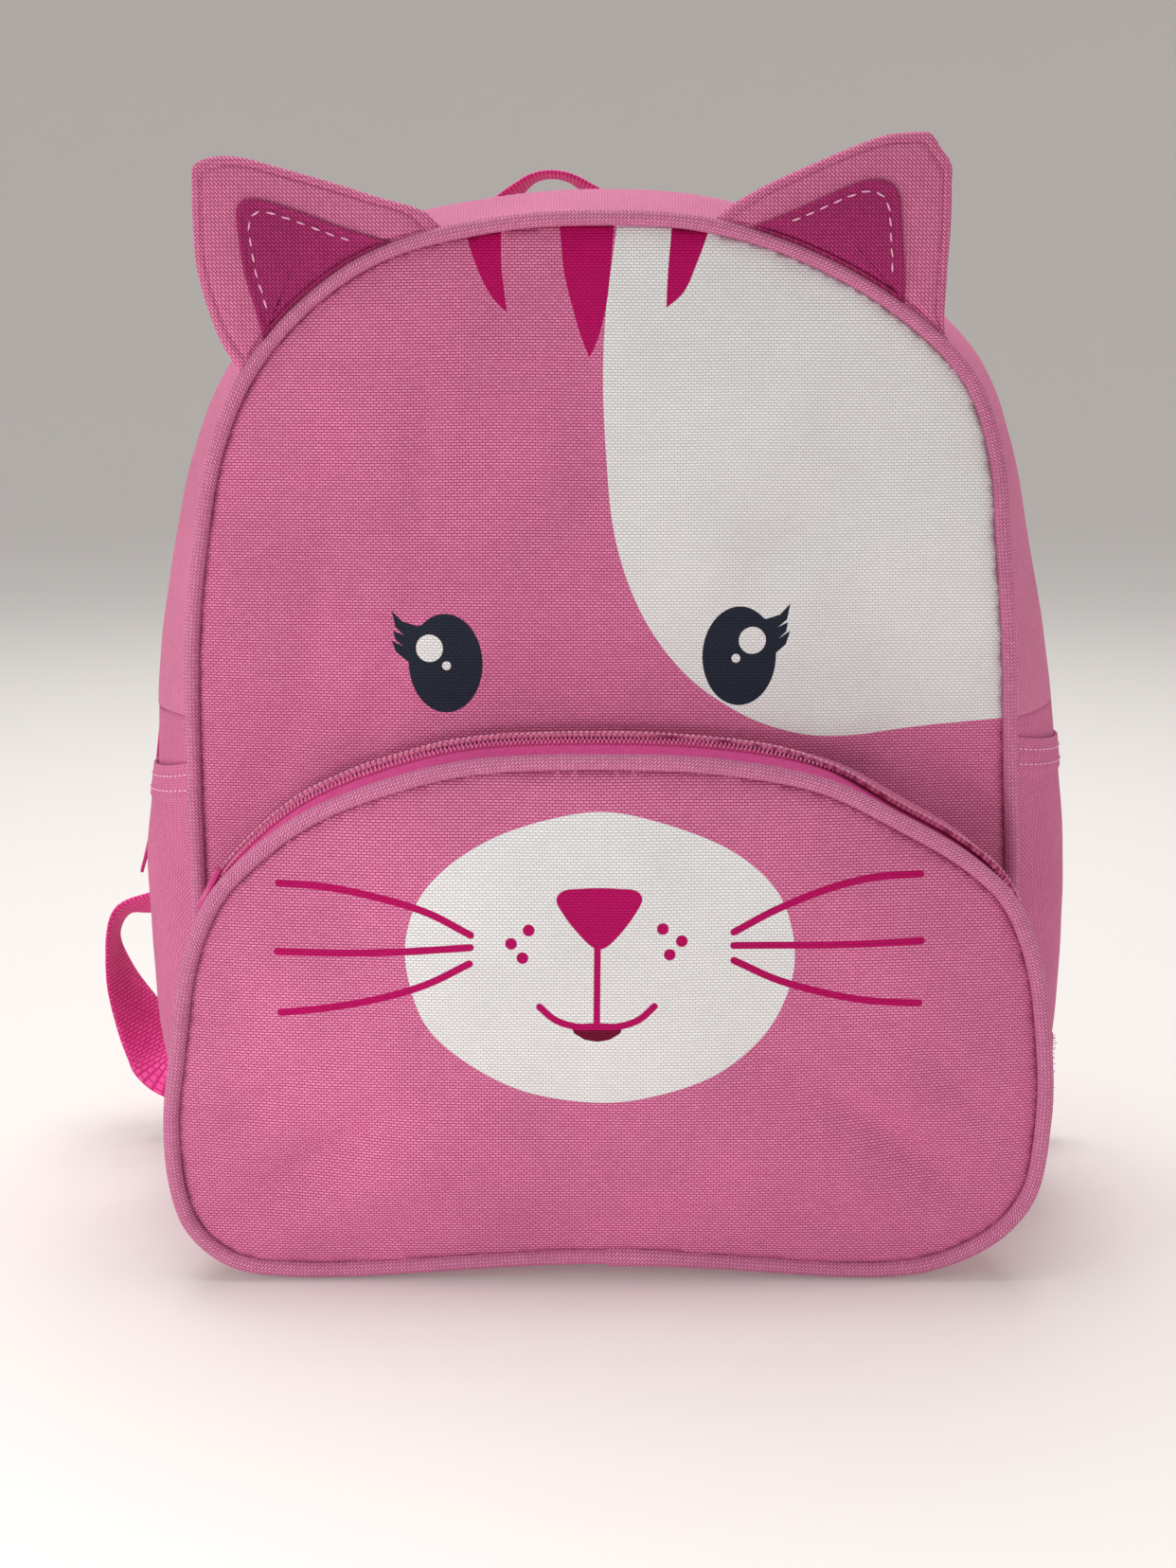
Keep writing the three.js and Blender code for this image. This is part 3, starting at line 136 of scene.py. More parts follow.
@dataclass(frozen=True)
class BagSizes:
    """The bag's named sizes, in millimetres."""

    half_width: float = 122.5
    height: float = 308.2
    depth: float = 90
    bulge: float = 23
    front_crown: float = 9
    back_crown: float = 5
    side_seam: float = 163
    pocket_half_width: float = 128
    pocket_height: float = 156
    pocket_depth: float = 32
    pocket_crown: float = 11
    pocket_zip_end: float = 112
    pocket_zip_rise: float = 5
    pocket_swell: float = 2.4
    pocket_base_lift: float = 0.028
    cloth: float = 1.4
    back_pad: float = 5
    body_piping: float = 4.5
    pocket_piping: float = 4.8
    zip_front: float = 0.56
    zip_back: float = 0.73
    coil_width: float = 5.4
    coil_pitch: float = 1.5
    gap: float = 0.3
    floor_gap: float = 0.6
    seat_gap: float = 0.5
    side_span: float = 96
    pocket_span: float = 30

    @property
    def front_y(self) -> float:
        """Depth of the main front seam."""
        return -self.depth / 2

    @property
    def back_y(self) -> float:
        """Depth of the back seam."""
        return self.depth / 2

    @property
    def pocket_y(self) -> float:
        """Depth of the front pocket's seam."""
        return self.front_y - self.pocket_depth

    @property
    def seam_base(self) -> float:
        """Height of the main seam's lowest point."""
        return self.body_piping / 2 + self.floor_gap

    @property
    def pocket_seam_base(self) -> float:
        """Height of the pocket seam's lowest point."""
        return self.pocket_piping / 2 + self.floor_gap


SIZES = BagSizes()


# Curves and grids


def smooth_curve(points: Sequence, closed: bool = False, per_span: int = 24) -> np.ndarray:
    """Runs a centripetal Catmull-Rom curve through points.

    Args:
        points: Points of any dimension.
        closed: Whether the last point joins the first.
        per_span: Samples between two points.

    Returns:
        The samples, with the end point added on an open curve.
    """
    given = np.asarray(points, float)
    count = len(given)
    spans = count if closed else count - 1
    steps = np.linspace(0, 1, per_span, endpoint=False)[:, None]
    parts = []
    for index in range(spans):
        start, end = given[index % count], given[(index + 1) % count]
        before = given[(index - 1) % count] if closed or index > 0 else 2 * start - end
        after = given[(index + 2) % count] if closed or index + 2 < count else 2 * end - start
        reach = [
            max(float(np.linalg.norm(b - a)), 1e-6) ** 0.5
            for a, b in ((before, start), (start, end), (end, after))
        ]
        leave = (start - before) / reach[0] - (end - before) / (reach[0] + reach[1])
        leave = (leave + (end - start) / reach[1]) * reach[1]
        arrive = (end - start) / reach[1] - (after - start) / (reach[1] + reach[2])
        arrive = (arrive + (after - end) / reach[2]) * reach[1]
        cube, square = steps**3, steps**2
        parts.append(
            (2 * cube - 3 * square + 1) * start + (cube - 2 * square + steps) * leave
            + (3 * square - 2 * cube) * end + (cube - square) * arrive
        )
    if not closed:
        parts.append(given[-1:])
    return np.concatenate(parts)


def spaced(points: np.ndarray, step: float, closed: bool = False) -> np.ndarray:
    """Spaces points evenly along a polyline.

    Args:
        points: The polyline.
        step: Wanted spacing, in the polyline's units.
        closed: Whether the last point joins the first.

    Returns:
        The spaced points. A closed line doesn't repeat its first one.
    """
    line = np.vstack([points, points[:1]]) if closed else points
    lengths = np.concatenate([[0], np.cumsum(np.linalg.norm(np.diff(line, axis=0), axis=1))])
    count = max(int(round(lengths[-1] / step)), 3)
    marks = np.linspace(0, lengths[-1], count, endpoint=False) if closed else np.linspace(
        0, lengths[-1], count + 1
    )
    return np.stack([np.interp(marks, lengths, line[:, k]) for k in range(line.shape[1])], axis=1)


def unit(vectors: np.ndarray) -> np.ndarray:
    """Scales vectors to length one."""
    return vectors / np.maximum(np.linalg.norm(vectors, axis=-1, keepdims=True), 1e-9)


def smooth_step(value: np.ndarray, low: float, high: float) -> np.ndarray:
    """Rises smoothly from 0 at low to 1 at high."""
    share = np.clip((value - low) / (high - low), 0, 1)
    return share * share * (3 - 2 * share)


def cloth_noise(points: np.ndarray, scale: float, seed: float) -> np.ndarray:
    """Smooth noise between about -1 and 1 at each point.

    Args:
        points: Points in millimetres, in an array whose last axis is x, y and z.
        scale: Size of the noise's lumps in millimetres.
        seed: Moves the noise, so that two pieces differ.

    Returns:
        One value for each point.
    """
    flat = points.reshape(-1, 3) / scale + seed
    values = np.array([noise.noise(Vector(p)) for p in flat])
    return values.reshape(points.shape[:-1])


def inside(polygon: np.ndarray, points: np.ndarray) -> np.ndarray:
    """Says which points lie inside a polygon, by counting crossings.

    Args:
        polygon: Corners in order.
        points: Points to test.

    Returns:
        One truth value for each point.
    """
    x, z = points[:, 0], points[:, 1]
    result = np.zeros(len(points), bool)
    for (ax, az), (bx, bz) in zip(polygon, np.roll(polygon, -1, axis=0)):
        crosses = (az > z) != (bz > z)
        if crosses.any():
            result ^= crosses & (x < (bx - ax) * (z - az) / (bz - az + 1e-12) + ax)
    return result


class SeamLine:
    """A closed seam in the XZ plane, walked from the base's middle up the right side."""

    def __init__(self, rows: Sequence[SeamRow], half_width: float, height: float,
                 base: float, base_lift: float) -> None:
        """Lays the line.

        Args:
            rows: The outline's table.
            half_width: Half the seam's width.
            height: Height of the seam's top.
            base: Height of its lowest point.
            base_lift: Share by which the base's middle is raised.
        """
        self.half_width, self.height, self.base = half_width, height, base
        right = [(row.right * half_width, self.level(row.height)) for row in rows]
        left = [(-row.left * half_width, self.level(row.height)) for row in rows]
        corners = [(0, self.level(base_lift)), *right, (0, self.level(1)), *left[::-1]]
        self.points = spaced(smooth_curve(corners, closed=True, per_span=60), 0.4, closed=True)
        ahead, behind = np.roll(self.points, -1, axis=0), np.roll(self.points, 1, axis=0)
        along = unit(ahead - behind)
        self.normals = np.stack([along[:, 1], -along[:, 0]], axis=1)
        self.centre = np.array([0, self.level(0.5)])
        self.length = float(np.linalg.norm(ahead - self.points, axis=1).sum())

    def level(self, share: float) -> float:
        """Height of a share of the seam's height."""
        return self.base + share * (self.height - self.base)

    def at(self, share: np.ndarray) -> tuple[np.ndarray, np.ndarray]:
        """The point and the outward direction at shares round the seam.

        Args:
            share: Shares of the seam's length; whole turns don't matter.

        Returns:
            The XZ points and the XZ directions.
        """
        marks = np.arange(len(self.points) + 1) / len(self.points)
        place = np.asarray(share) % 1
        found = []
        for table in (self.points, self.normals):
            ring = np.vstack([table, table[:1]])
            found.append(np.stack([np.interp(place, marks, ring[:, k]) for k in (0, 1)], axis=-1))
        return found[0], unit(found[1])

    def nearest(self, x: float, z: float) -> float:
        """The share round the seam that lies nearest to a point."""
        offset = self.points - np.array([x, z])
        return float(np.argmin((offset**2).sum(axis=1))) / len(self.points)

    def radial(self, x: np.ndarray, z: np.ndarray,
               centre: Optional[np.ndarray] = None) -> np.ndarray:
        """0 at the middle and 1 on the seam, measured along the ray through each point.

        Args:
            x: Across places.
            z: Heights.
            centre: Where the rays start, the seam's own middle if it isn't given.

        Returns:
            The shares.
        """
        middle = self.centre if centre is None else centre
        reach = self.points - middle
        angles = np.arctan2(reach[:, 1], reach[:, 0])
        order = np.argsort(angles)
        radii = np.hypot(reach[:, 0], reach[:, 1])[order]
        dx, dz = np.asarray(x) - middle[0], np.asarray(z) - middle[1]
        edge = np.interp(np.arctan2(dz, dx), angles[order], radii, period=2 * math.pi)
        return np.hypot(dx, dz) / edge


def fold_depth(folds: Sequence[Fold], seam: SeamLine, x: np.ndarray, z: np.ndarray) -> np.ndarray:
    """How far the folds take a panel in at each point.

    Args:
        folds: The panel's folds.
        seam: The panel's seam.
        x: Across places.
        z: Heights.

    Returns:
        Depths in millimetres.
    """
    total = np.zeros(np.shape(x))
    for row in folds:
        slant = math.radians(row.slant)
        dx, dz = x - row.x * seam.half_width, z - row.height * seam.height
        along = (dx * math.cos(slant) + dz * math.sin(slant)) / (row.long * seam.height)
        across = (dz * math.cos(slant) - dx * math.sin(slant)) / (row.wide * seam.height)
        total = total + row.depth * np.exp(-2 * (along**2 + across**2))
    return total


class BagForm:
    """The surfaces that every piece of the bag follows."""

    def __init__(self, sizes: BagSizes) -> None:
        """Lays both seams and finds where the zips end.

        Args:
            sizes: The bag's sizes.
        """
        self.s = sizes
        self.body = SeamLine(BODY_OUTLINE, sizes.half_width, sizes.height, sizes.seam_base, 0)
        self.pocket = SeamLine(
            POCKET_OUTLINE, sizes.pocket_half_width, sizes.pocket_height,
            sizes.pocket_seam_base, sizes.pocket_base_lift,
        )
        self.zip_right = self.body.nearest(sizes.half_width, sizes.side_seam)
        self.zip_left = self.body.nearest(-sizes.half_width, sizes.side_seam)
        self.pocket_zip_right = self.pocket.nearest(sizes.pocket_half_width, sizes.pocket_zip_end)
        self.pocket_zip_left = self.pocket.nearest(-sizes.pocket_half_width, sizes.pocket_zip_end)
        heights = np.linspace(0, 1, 401)
        rows = [row.height for row in SIDE_SWELL]
        window = np.hanning(33) / np.hanning(33).sum()
        self.swell = {}
        for side in Side:
            column = np.interp(heights, rows, [getattr(row, side.word) for row in SIDE_SWELL])
            padded = np.pad(column, 16, mode="edge")
            self.swell[side] = np.convolve(padded, window, mode="valid")
        self.heights = heights

    def front_face(self, x: np.ndarray, z: np.ndarray) -> np.ndarray:
        """Depth (Y) of the main panel's outer face, without its small folds."""
        share = np.minimum(self.body.radial(x, z), 1)
        return self.s.front_y - self.s.front_crown * (1 - share**2.6)

    def back_face(self, x: np.ndarray, z: np.ndarray) -> np.ndarray:
        """Depth (Y) of the back panel's outer face."""
        share = np.minimum(self.body.radial(x, z), 1)
        return self.s.back_y + self.s.back_pad + self.s.back_crown * (1 - share**2.6)

    def side(self, rounds: np.ndarray, across: np.ndarray) -> np.ndarray:
        """The main body's side surface.

        Args:
            rounds: Shares round the main seam.
            across: 0 at the front seam, 1 at the back seam.

        Returns:
            Points in millimetres.
        """
        sizes = self.s
        rounds, across = np.broadcast_arrays(rounds, across)
        point, normal = self.body.at(rounds)
        height = (point[..., 1] - sizes.seam_base) / (sizes.height - sizes.seam_base)
        left = np.interp(height, self.heights, self.swell[Side.LEFT])
        right = np.interp(height, self.heights, self.swell[Side.RIGHT])
        hand = smooth_step(point[..., 0], -25, 25)
        swell = sizes.bulge * (left * (1 - hand) + right * hand)
        full = np.sin(math.pi * np.clip(across, 0, 1)) ** 0.9
        place = point + normal * (swell * full)[..., None]
        start = sizes.front_y + sizes.body_piping / 2 + sizes.gap
        y = start + (sizes.back_y - sizes.gap - start) * across
        return np.stack([place[..., 0], y, np.maximum(place[..., 1], 0)], axis=-1)

    def pocket_side(self, rounds: np.ndarray, across: np.ndarray) -> np.ndarray:
        """The front pocket's side surface.

        Args:
            rounds: Shares round the pocket's seam.
            across: 0 at the pocket's piping, 1 where it meets the main body.

        Returns:
            Points in millimetres.
        """
        sizes = self.s
        rounds, across = np.broadcast_arrays(rounds, across)
        point, normal = self.pocket.at(rounds)
        height = (point[..., 1] - sizes.pocket_seam_base) / (
            sizes.pocket_height - sizes.pocket_seam_base
        )
        rise = sizes.pocket_zip_rise * smooth_step(height, 0.62, 1)
        centre = self.pocket.centre
        reach = self.body.radial(point[..., 0], point[..., 1], centre)
        back = centre + (point - centre) * np.minimum(0.985, 1 / reach)[..., None]
        back = back + normal * rise[..., None]
        near = self.body.radial(back[..., 0], back[..., 1])
        piping_front = sizes.front_y - sizes.body_piping / 2 * smooth_step(near, 0.86, 0.94)
        face = self.front_face(back[..., 0], back[..., 1])
        back_y = np.minimum(face, piping_front) - sizes.seat_gap
        swell = sizes.pocket_swell * np.sin(math.pi * np.clip(across, 0, 1))
        place = point + (back - point) * across[..., None] + normal * swell[..., None]
        start = sizes.pocket_y + sizes.pocket_piping / 2 + sizes.gap
        y = start + (back_y - start) * across
        return np.stack([place[..., 0], y, np.maximum(place[..., 1], sizes.floor_gap)], axis=-1)


# Meshes


@dataclass
class Shell:
    """A mesh in the making: points, faces and each face corner's weave place, in millimetres."""

    points: np.ndarray
    faces: list
    weave: list
    slots: Optional[np.ndarray] = None

    def joined(self, other: "Shell") -> "Shell":
        """Adds another shell's faces to this one's.

        Args:
            other: The shell to add.

        Returns:
            A new shell that holds both.
        """
        start = len(self.points)
        faces = self.faces + [tuple(i + start for i in face) for face in other.faces]
        ours = np.zeros(len(self.faces), int) if self.slots is None else self.slots
        theirs = np.zeros(len(other.faces), int) if other.slots is None else other.slots
        return Shell(
            np.vstack([self.points, other.points]), faces, self.weave + other.weave,
            np.concatenate([ours, theirs]),
        )


def grid_shell(points: np.ndarray, weave: np.ndarray, wrap: bool = False) -> Shell:
    """Makes quads between the rows and columns of a grid.

    Args:
        points: An array of rows, columns and xyz.
        weave: Weave places, with one column more than points where it wraps.
        wrap: Whether the last column joins the first.

    Returns:
        The open or tubular shell.
    """
    rows, columns = points.shape[:2]
    faces, corners = [], []
    for i in range(rows - 1):
        for j in range(columns if wrap else columns - 1):
            k = (j + 1) % columns
            faces.append((i * columns + j, (i + 1) * columns + j, (i + 1) * columns + k,
                          i * columns + k))
            corners.append((weave[i, j], weave[i + 1, j], weave[i + 1, j + 1], weave[i, j + 1]))
    return Shell(points.reshape(-1, 3), faces, corners)


def make_piece(name: str, shell: Shell, finishes: Sequence[bpy.types.Material],
               outward: Optional[Directions] = None) -> bpy.types.Object:
    """Turns a shell into a Blender object at the origin, in metres.

    Args:
        name: The piece's name.
        shell: Its mesh in millimetres.
        finishes: Its materials, in the order of the shell's slots.
        outward: Gives the outward direction at face middles, to turn an open shell by.

    Returns:
        The object.
    """
    mesh = bpy.data.meshes.new(name)
    mesh.from_pydata((shell.points * MM).tolist(), [], shell.faces)
    layer = mesh.uv_layers.new(name=WEAVE_MAP)
    flat = np.array([value for face in shell.weave for corner in face for value in corner])
    layer.data.foreach_set("uv", flat * MM)
    if shell.slots is not None:
        mesh.polygons.foreach_set("material_index", shell.slots.astype(np.int32))
    for finish in finishes:
        mesh.materials.append(finish)
    mesh.polygons.foreach_set("use_smooth", np.ones(len(mesh.polygons), bool))
    mesh.update()
    if outward is not None:
        turn_outward(mesh, outward)
    piece = bpy.data.objects.new(name, mesh)
    bpy.context.scene.collection.objects.link(piece)
    return piece


def turn_outward(mesh: bpy.types.Mesh, outward: Directions) -> None:
    """Flips every face if most of them look the wrong way.

    Args:
        mesh: The mesh.
        outward: Gives the outward direction at an array of face middles in millimetres.
    """
    count = len(mesh.polygons)
    middles, normals, areas = np.zeros(count * 3), np.zeros(count * 3), np.zeros(count)
    mesh.polygons.foreach_get("center", middles)
    mesh.polygons.foreach_get("normal", normals)
    mesh.polygons.foreach_get("area", areas)
    wanted = outward(middles.reshape(-1, 3) / MM)
    if ((wanted * normals.reshape(-1, 3)).sum(axis=1) * areas).sum() < 0:
        mesh.flip_normals()


def close_outward(piece: bpy.types.Object) -> None:
    """Merges a closed piece's doubles and points its faces outwards.

    Args:
        piece: The piece, whose mesh is changed.
    """
    work = bmesh.new()
    work.from_mesh(piece.data)
    bmesh.ops.remove_doubles(work, verts=work.verts, dist=1e-6)
    bmesh.ops.recalc_face_normals(work, faces=work.faces)
    work.to_mesh(piece.data)
    work.free()


def give_wall(piece: bpy.types.Object, thickness: float) -> None:
    """Gives an open shell a wall that grows inwards.

    Args:
        piece: The piece, whose faces look outwards.
        thickness: The wall in millimetres.
    """
    wall = piece.modifiers.new("wall", "SOLIDIFY")
    wall.thickness = thickness * MM
    wall.offset = -1
    wall.use_even_offset = False
    wall.use_rim = True


def apply_modifiers(piece: bpy.types.Object) -> None:
    """Turns a piece's live modifiers into its mesh.

    Args:
        piece: The piece, which ends with no modifier.
    """
    depsgraph = bpy.context.evaluated_depsgraph_get()
    made = bpy.data.meshes.new_from_object(
        piece.evaluated_get(depsgraph), preserve_all_data_layers=True, depsgraph=depsgraph
    )
    piece.modifiers.clear()
    piece.data = made


def hand_over(piece: bpy.types.Object, slot: str, *nodes: str) -> bpy.types.Object:
    """Rides a finished piece on the body and hides the solids that it replaces.

    Args:
        piece: The finished piece.
        slot: The record's material slot; not used.
        *nodes: The solids that it stands for.

    Returns:
        The same piece.
    """
    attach(piece, "root")
    if nodes:
        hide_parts(*nodes)
    LOG.info("%s: %d faces", piece.name, len(piece.data.polygons))
    return piece


def frames_along(points: np.ndarray,
                 across: np.ndarray) -> tuple[np.ndarray, np.ndarray, np.ndarray]:
    """Directions along, across and out of a strip.

    Args:
        points: The strip's middle line.
        across: The wanted width direction at each point.

    Returns:
        Unit directions along, across and out.
    """
    along = unit(np.gradient(points, axis=0))
    wide = unit(across - along * (along * across).sum(axis=1, keepdims=True))
    return along, wide, np.cross(along, wide)


def strip_shell(points: np.ndarray, across: np.ndarray, widths: np.ndarray,
                thicknesses: np.ndarray, section: np.ndarray, cup: float = 0.0) -> Shell:
    """Sweeps a closed section along a line and closes both ends.

    Args:
        points: The middle line.
        across: The width direction at each point.
        widths: Width at each point.
        thicknesses: Thickness at each point.
        section: Corners as shares of half the width and half the thickness, in order.
        cup: How far the middle stands out of the edges, in millimetres.

    Returns:
        The closed shell.
    """
    _, wide, out = frames_along(points, across)
    lengths = np.concatenate([[0], np.cumsum(np.linalg.norm(np.diff(points, axis=0), axis=1))])
    side = section[None, :, 0:1] * (widths / 2)[:, None, None]
    off = section[None, :, 1:2] * (thicknesses / 2)[:, None, None]
    off = off + cup * (1 - section[None, :, 0:1] ** 2)
    rings = points[:, None] + wide[:, None] * side + out[:, None] * off
    ring_line = np.vstack([section, section[:1]])
    ring_line = ring_line * np.array([widths.mean() / 2, thicknesses.mean() / 2])
    girth = np.concatenate([[0], np.cumsum(np.linalg.norm(np.diff(ring_line, axis=0), axis=1))])
    weave = np.stack(np.broadcast_arrays(girth[None, :], lengths[:, None]), axis=-1)
    shell = grid_shell(rings, weave, wrap=True)
    count = len(section)
    last = (len(points) - 1) * count
    flat = section * np.array([widths.mean() / 2, thicknesses.mean() / 2])
    for start, order in ((0, range(count)), (last, range(count - 1, -1, -1))):
        shell.faces.append(tuple(start + i for i in order))
        shell.weave.append([flat[i] for i in order])
    return shell


def rounded_section(steps: int, power: float) -> np.ndarray:
    """A flat rounded section, as shares of half the width and half the thickness.

    Args:
        steps: Corners on each of its two long faces.
        power: How square it is; 1 is an ellipse and small values are squarer.

    Returns:
        Corners in order.
    """
    places = -np.cos(np.linspace(0, math.pi, steps))
    heights = np.maximum(1 - np.abs(places) ** (2 / power), 0) ** (power / 2)
    upper = np.stack([places, heights], axis=1)
    lower = np.stack([places[::-1], -heights[::-1]], axis=1)[1:-1]
    return np.vstack([upper, lower])


def sew_strip(name: str, slot: str, nodes: Sequence[str], finish: bpy.types.Material,
              points: np.ndarray, across: np.ndarray, width: float, thickness: float,
              section: np.ndarray) -> bpy.types.Object:
    """Makes an even strip of webbing, band or ribbon.

    Args:
        name: The piece's name.
        slot: The record's slot.
        nodes: The solids that it replaces.
        finish: Its material.
        points: Its middle line.
        across: Its width direction at each point.
        width: Its width in millimetres.
        thickness: Its thickness in millimetres.
        section: Its section's corners, as strip_shell takes them.

    Returns:
        The finished piece.
    """
    count = len(points)
    shell = strip_shell(points, across, np.full(count, width), np.full(count, thickness), section)
    piece = make_piece(name, shell, [finish])
    close_outward(piece)
    return hand_over(piece, slot, *nodes)


def towards(x: float, y: float, z: float, count: int) -> np.ndarray:
    """The same direction for a number of points."""
    return np.tile([float(x), float(y), float(z)], (count, 1))


def towards_front(middles: np.ndarray) -> np.ndarray:
    """The front's direction at each face middle."""
    return towards(0, -1, 0, len(middles))


def towards_back(middles: np.ndarray) -> np.ndarray:
    """The back's direction at each face middle."""
    return towards(0, 1, 0, len(middles))


def outward_of_bag(middles: np.ndarray) -> np.ndarray:
    """Outward direction on the bag's sides, from the middle of the body."""
    return np.stack([middles[:, 0], np.zeros(len(middles)), middles[:, 2] - 150], axis=1)


def outward_of_pocket(middles: np.ndarray) -> np.ndarray:
    """Outward direction on the front pocket's side, from the pocket's middle."""
    return np.stack([middles[:, 0], np.zeros(len(middles)), middles[:, 2] - 75], axis=1)


# Node trees


def add_node(tree: bpy.types.NodeTree, kind: str, settings: Optional[dict] = None,
             inputs: Optional[dict] = None) -> bpy.types.Node:
    """Adds a node with its settings and links.

    Args:
        tree: The tree to add to.
        kind: The node's type name.
        settings: Attributes to set, by name.
        inputs: Values or sockets to feed, by the input's name or index.

    Returns:
        The node.
    """
    made = tree.nodes.new(kind)
    for key, value in (settings or {}).items():
        setattr(made, key, value)
    for key, value in (inputs or {}).items():
        if isinstance(value, bpy.types.NodeSocket):
            tree.links.new(value, made.inputs[key])
        else:
            made.inputs[key].default_value = value
    return made


def linear(colour: str) -> tuple[float, float, float, float]:
    """Turns an sRGB hex colour to linear.

    Args:
        colour: A hash sign and six hex digits.

    Returns:
        Red, green, blue and alpha.
    """
    parts = [int(colour[i:i + 2], 16) / 255 for i in (1, 3, 5)]
    red, green, blue = (
        part / 12.92 if part <= 0.04045 else ((part + 0.055) / 1.055) ** 2.4 for part in parts
    )
    return red, green, blue, 1.0


# Finishes


@dataclass(frozen=True)
class Finish:
    """A procedural finish, named for the real material that it shows."""

    name: str

    def shader(self, tree: bpy.types.NodeTree) -> bpy.types.Node:
        """Adds the finish's nodes; each kind of finish has its own."""
        raise NotImplementedError

    def build(self) -> bpy.types.Material:
        """Makes the material.

        Returns:
            The material, with this finish's shader on its surface.
        """
        material = bpy.data.materials.new(self.name)
        material.use_nodes = True
        tree = material.node_tree
        tree.nodes.clear()
        surface = self.shader(tree).outputs["BSDF"]
        add_node(tree, "ShaderNodeOutputMaterial", None, {"Surface": surface})
        return material


@dataclass(frozen=True)
class WovenCloth(Finish):
    """Plain-woven polyester: matt, with light thread crowns over darker gaps.

    A pair of threads is 1.62 mm across and a row 0.81 mm high, as the photograph shows them.
    """

    thread: str
    thread_alike: str
    gap: str
    across: float = 1.62
    row: float = 0.81
    turn: float = 0
    gap_share: float = 0.34
    relief: float = 0.18
    roughness: float = 0.74
    sheen: float = 0.12
    specular: float = 0.25
    shade: float = 0.1

    def shader(self, tree: bpy.types.NodeTree) -> bpy.types.Node:
        """Draws the threads as offset bricks, under broad fading and a fine fuzz.

        Args:
            tree: The material's tree.

        Returns:
            The shader.
        """
        place = add_node(tree, "ShaderNodeUVMap", {"uv_map": WEAVE_MAP})
        turned = add_node(tree, "ShaderNodeMapping", None, {
            "Vector": place.outputs["UV"],
            "Rotation": (0, 0, math.radians(self.turn)),
            "Scale": (1 / MM, 1 / MM, 1),
        })
        threads = add_node(tree, "ShaderNodeTexBrick", {
            "offset": 0.5, "offset_frequency": 2, "squash": 1.0, "squash_frequency": 2,
        }, {
            "Vector": turned.outputs["Vector"],
            "Color1": linear(self.thread), "Color2": linear(self.thread_alike),
            "Mortar": linear(self.gap), "Scale": 1.0,
            "Mortar Size": self.row * self.gap_share, "Mortar Smooth": 1.0, "Bias": 0.0,
            "Brick Width": self.across, "Row Height": self.row,
        })
        spot = add_node(tree, "ShaderNodeTexCoord")
        broad = add_node(tree, "ShaderNodeTexNoise", {"noise_dimensions": "3D"}, {
            "Vector": spot.outputs["Object"], "Scale": 22.0, "Detail": 3.0, "Roughness": 0.55,
        })
        level = add_node(tree, "ShaderNodeMapRange", None, {
            "Value": broad.outputs["Fac"], "From Min": 0.3, "From Max": 0.7,
            "To Min": 1 - self.shade, "To Max": 1 + self.shade / 2,
        })
        tinted = add_node(tree, "ShaderNodeVectorMath", {"operation": "SCALE"}, {
            "Vector": threads.outputs["Color"], "Scale": level.outputs["Result"],
        })
        fuzz = add_node(tree, "ShaderNodeTexNoise", {"noise_dimensions": "3D"}, {
            "Vector": spot.outputs["Object"], "Scale": 2600.0, "Detail": 2.0,
        })
        crowns = add_node(tree, "ShaderNodeMath", {"operation": "MULTIPLY_ADD"}, {
            0: fuzz.outputs["Fac"], 1: 0.35, 2: threads.outputs["Fac"],
        })
        bump = add_node(tree, "ShaderNodeBump", {"invert": True}, {
            "Height": crowns.outputs["Value"], "Distance": self.relief * MM, "Strength": 0.9,
        })
        return add_node(tree, "ShaderNodeBsdfPrincipled", None, {
            "Base Color": tinted.outputs["Vector"], "Roughness": self.roughness,
            "Normal": bump.outputs["Normal"], "Sheen Weight": self.sheen,
            "Sheen Roughness": 0.5, "Sheen Tint": linear(self.thread),
            "Specular IOR Level": self.specular,
        })


@dataclass(frozen=True)
class MouldedPlastic(Finish):
    """Acetal as moulded: smooth and slightly waxy, with a faint orange-peel skin."""

    colour: str
    roughness: float = 0.34

    def shader(self, tree: bpy.types.NodeTree) -> bpy.types.Node:
        """Draws a faint orange-peel skin over one colour.

        Args:
            tree: The material's tree.

        Returns:
            The shader.
        """
        spot = add_node(tree, "ShaderNodeTexCoord")
        skin = add_node(tree, "ShaderNodeTexNoise", {"noise_dimensions": "3D"}, {
            "Vector": spot.outputs["Object"], "Scale": 900.0, "Detail": 2.0,
        })
        tone = add_node(tree, "ShaderNodeValToRGB", None, {"Fac": skin.outputs["Fac"]})
        tone.color_ramp.elements[0].color = linear(self.colour)
        tone.color_ramp.elements[1].color = [
            min(part * 1.08, 1) for part in linear(self.colour)[:3]
        ] + [1]
        bump = add_node(tree, "ShaderNodeBump", None, {
            "Height": skin.outputs["Fac"], "Distance": 0.05 * MM, "Strength": 0.5,
        })
        return add_node(tree, "ShaderNodeBsdfPrincipled", None, {
            "Base Color": tone.outputs["Color"], "Roughness": self.roughness,
            "Normal": bump.outputs["Normal"], "IOR": 1.48,
        })


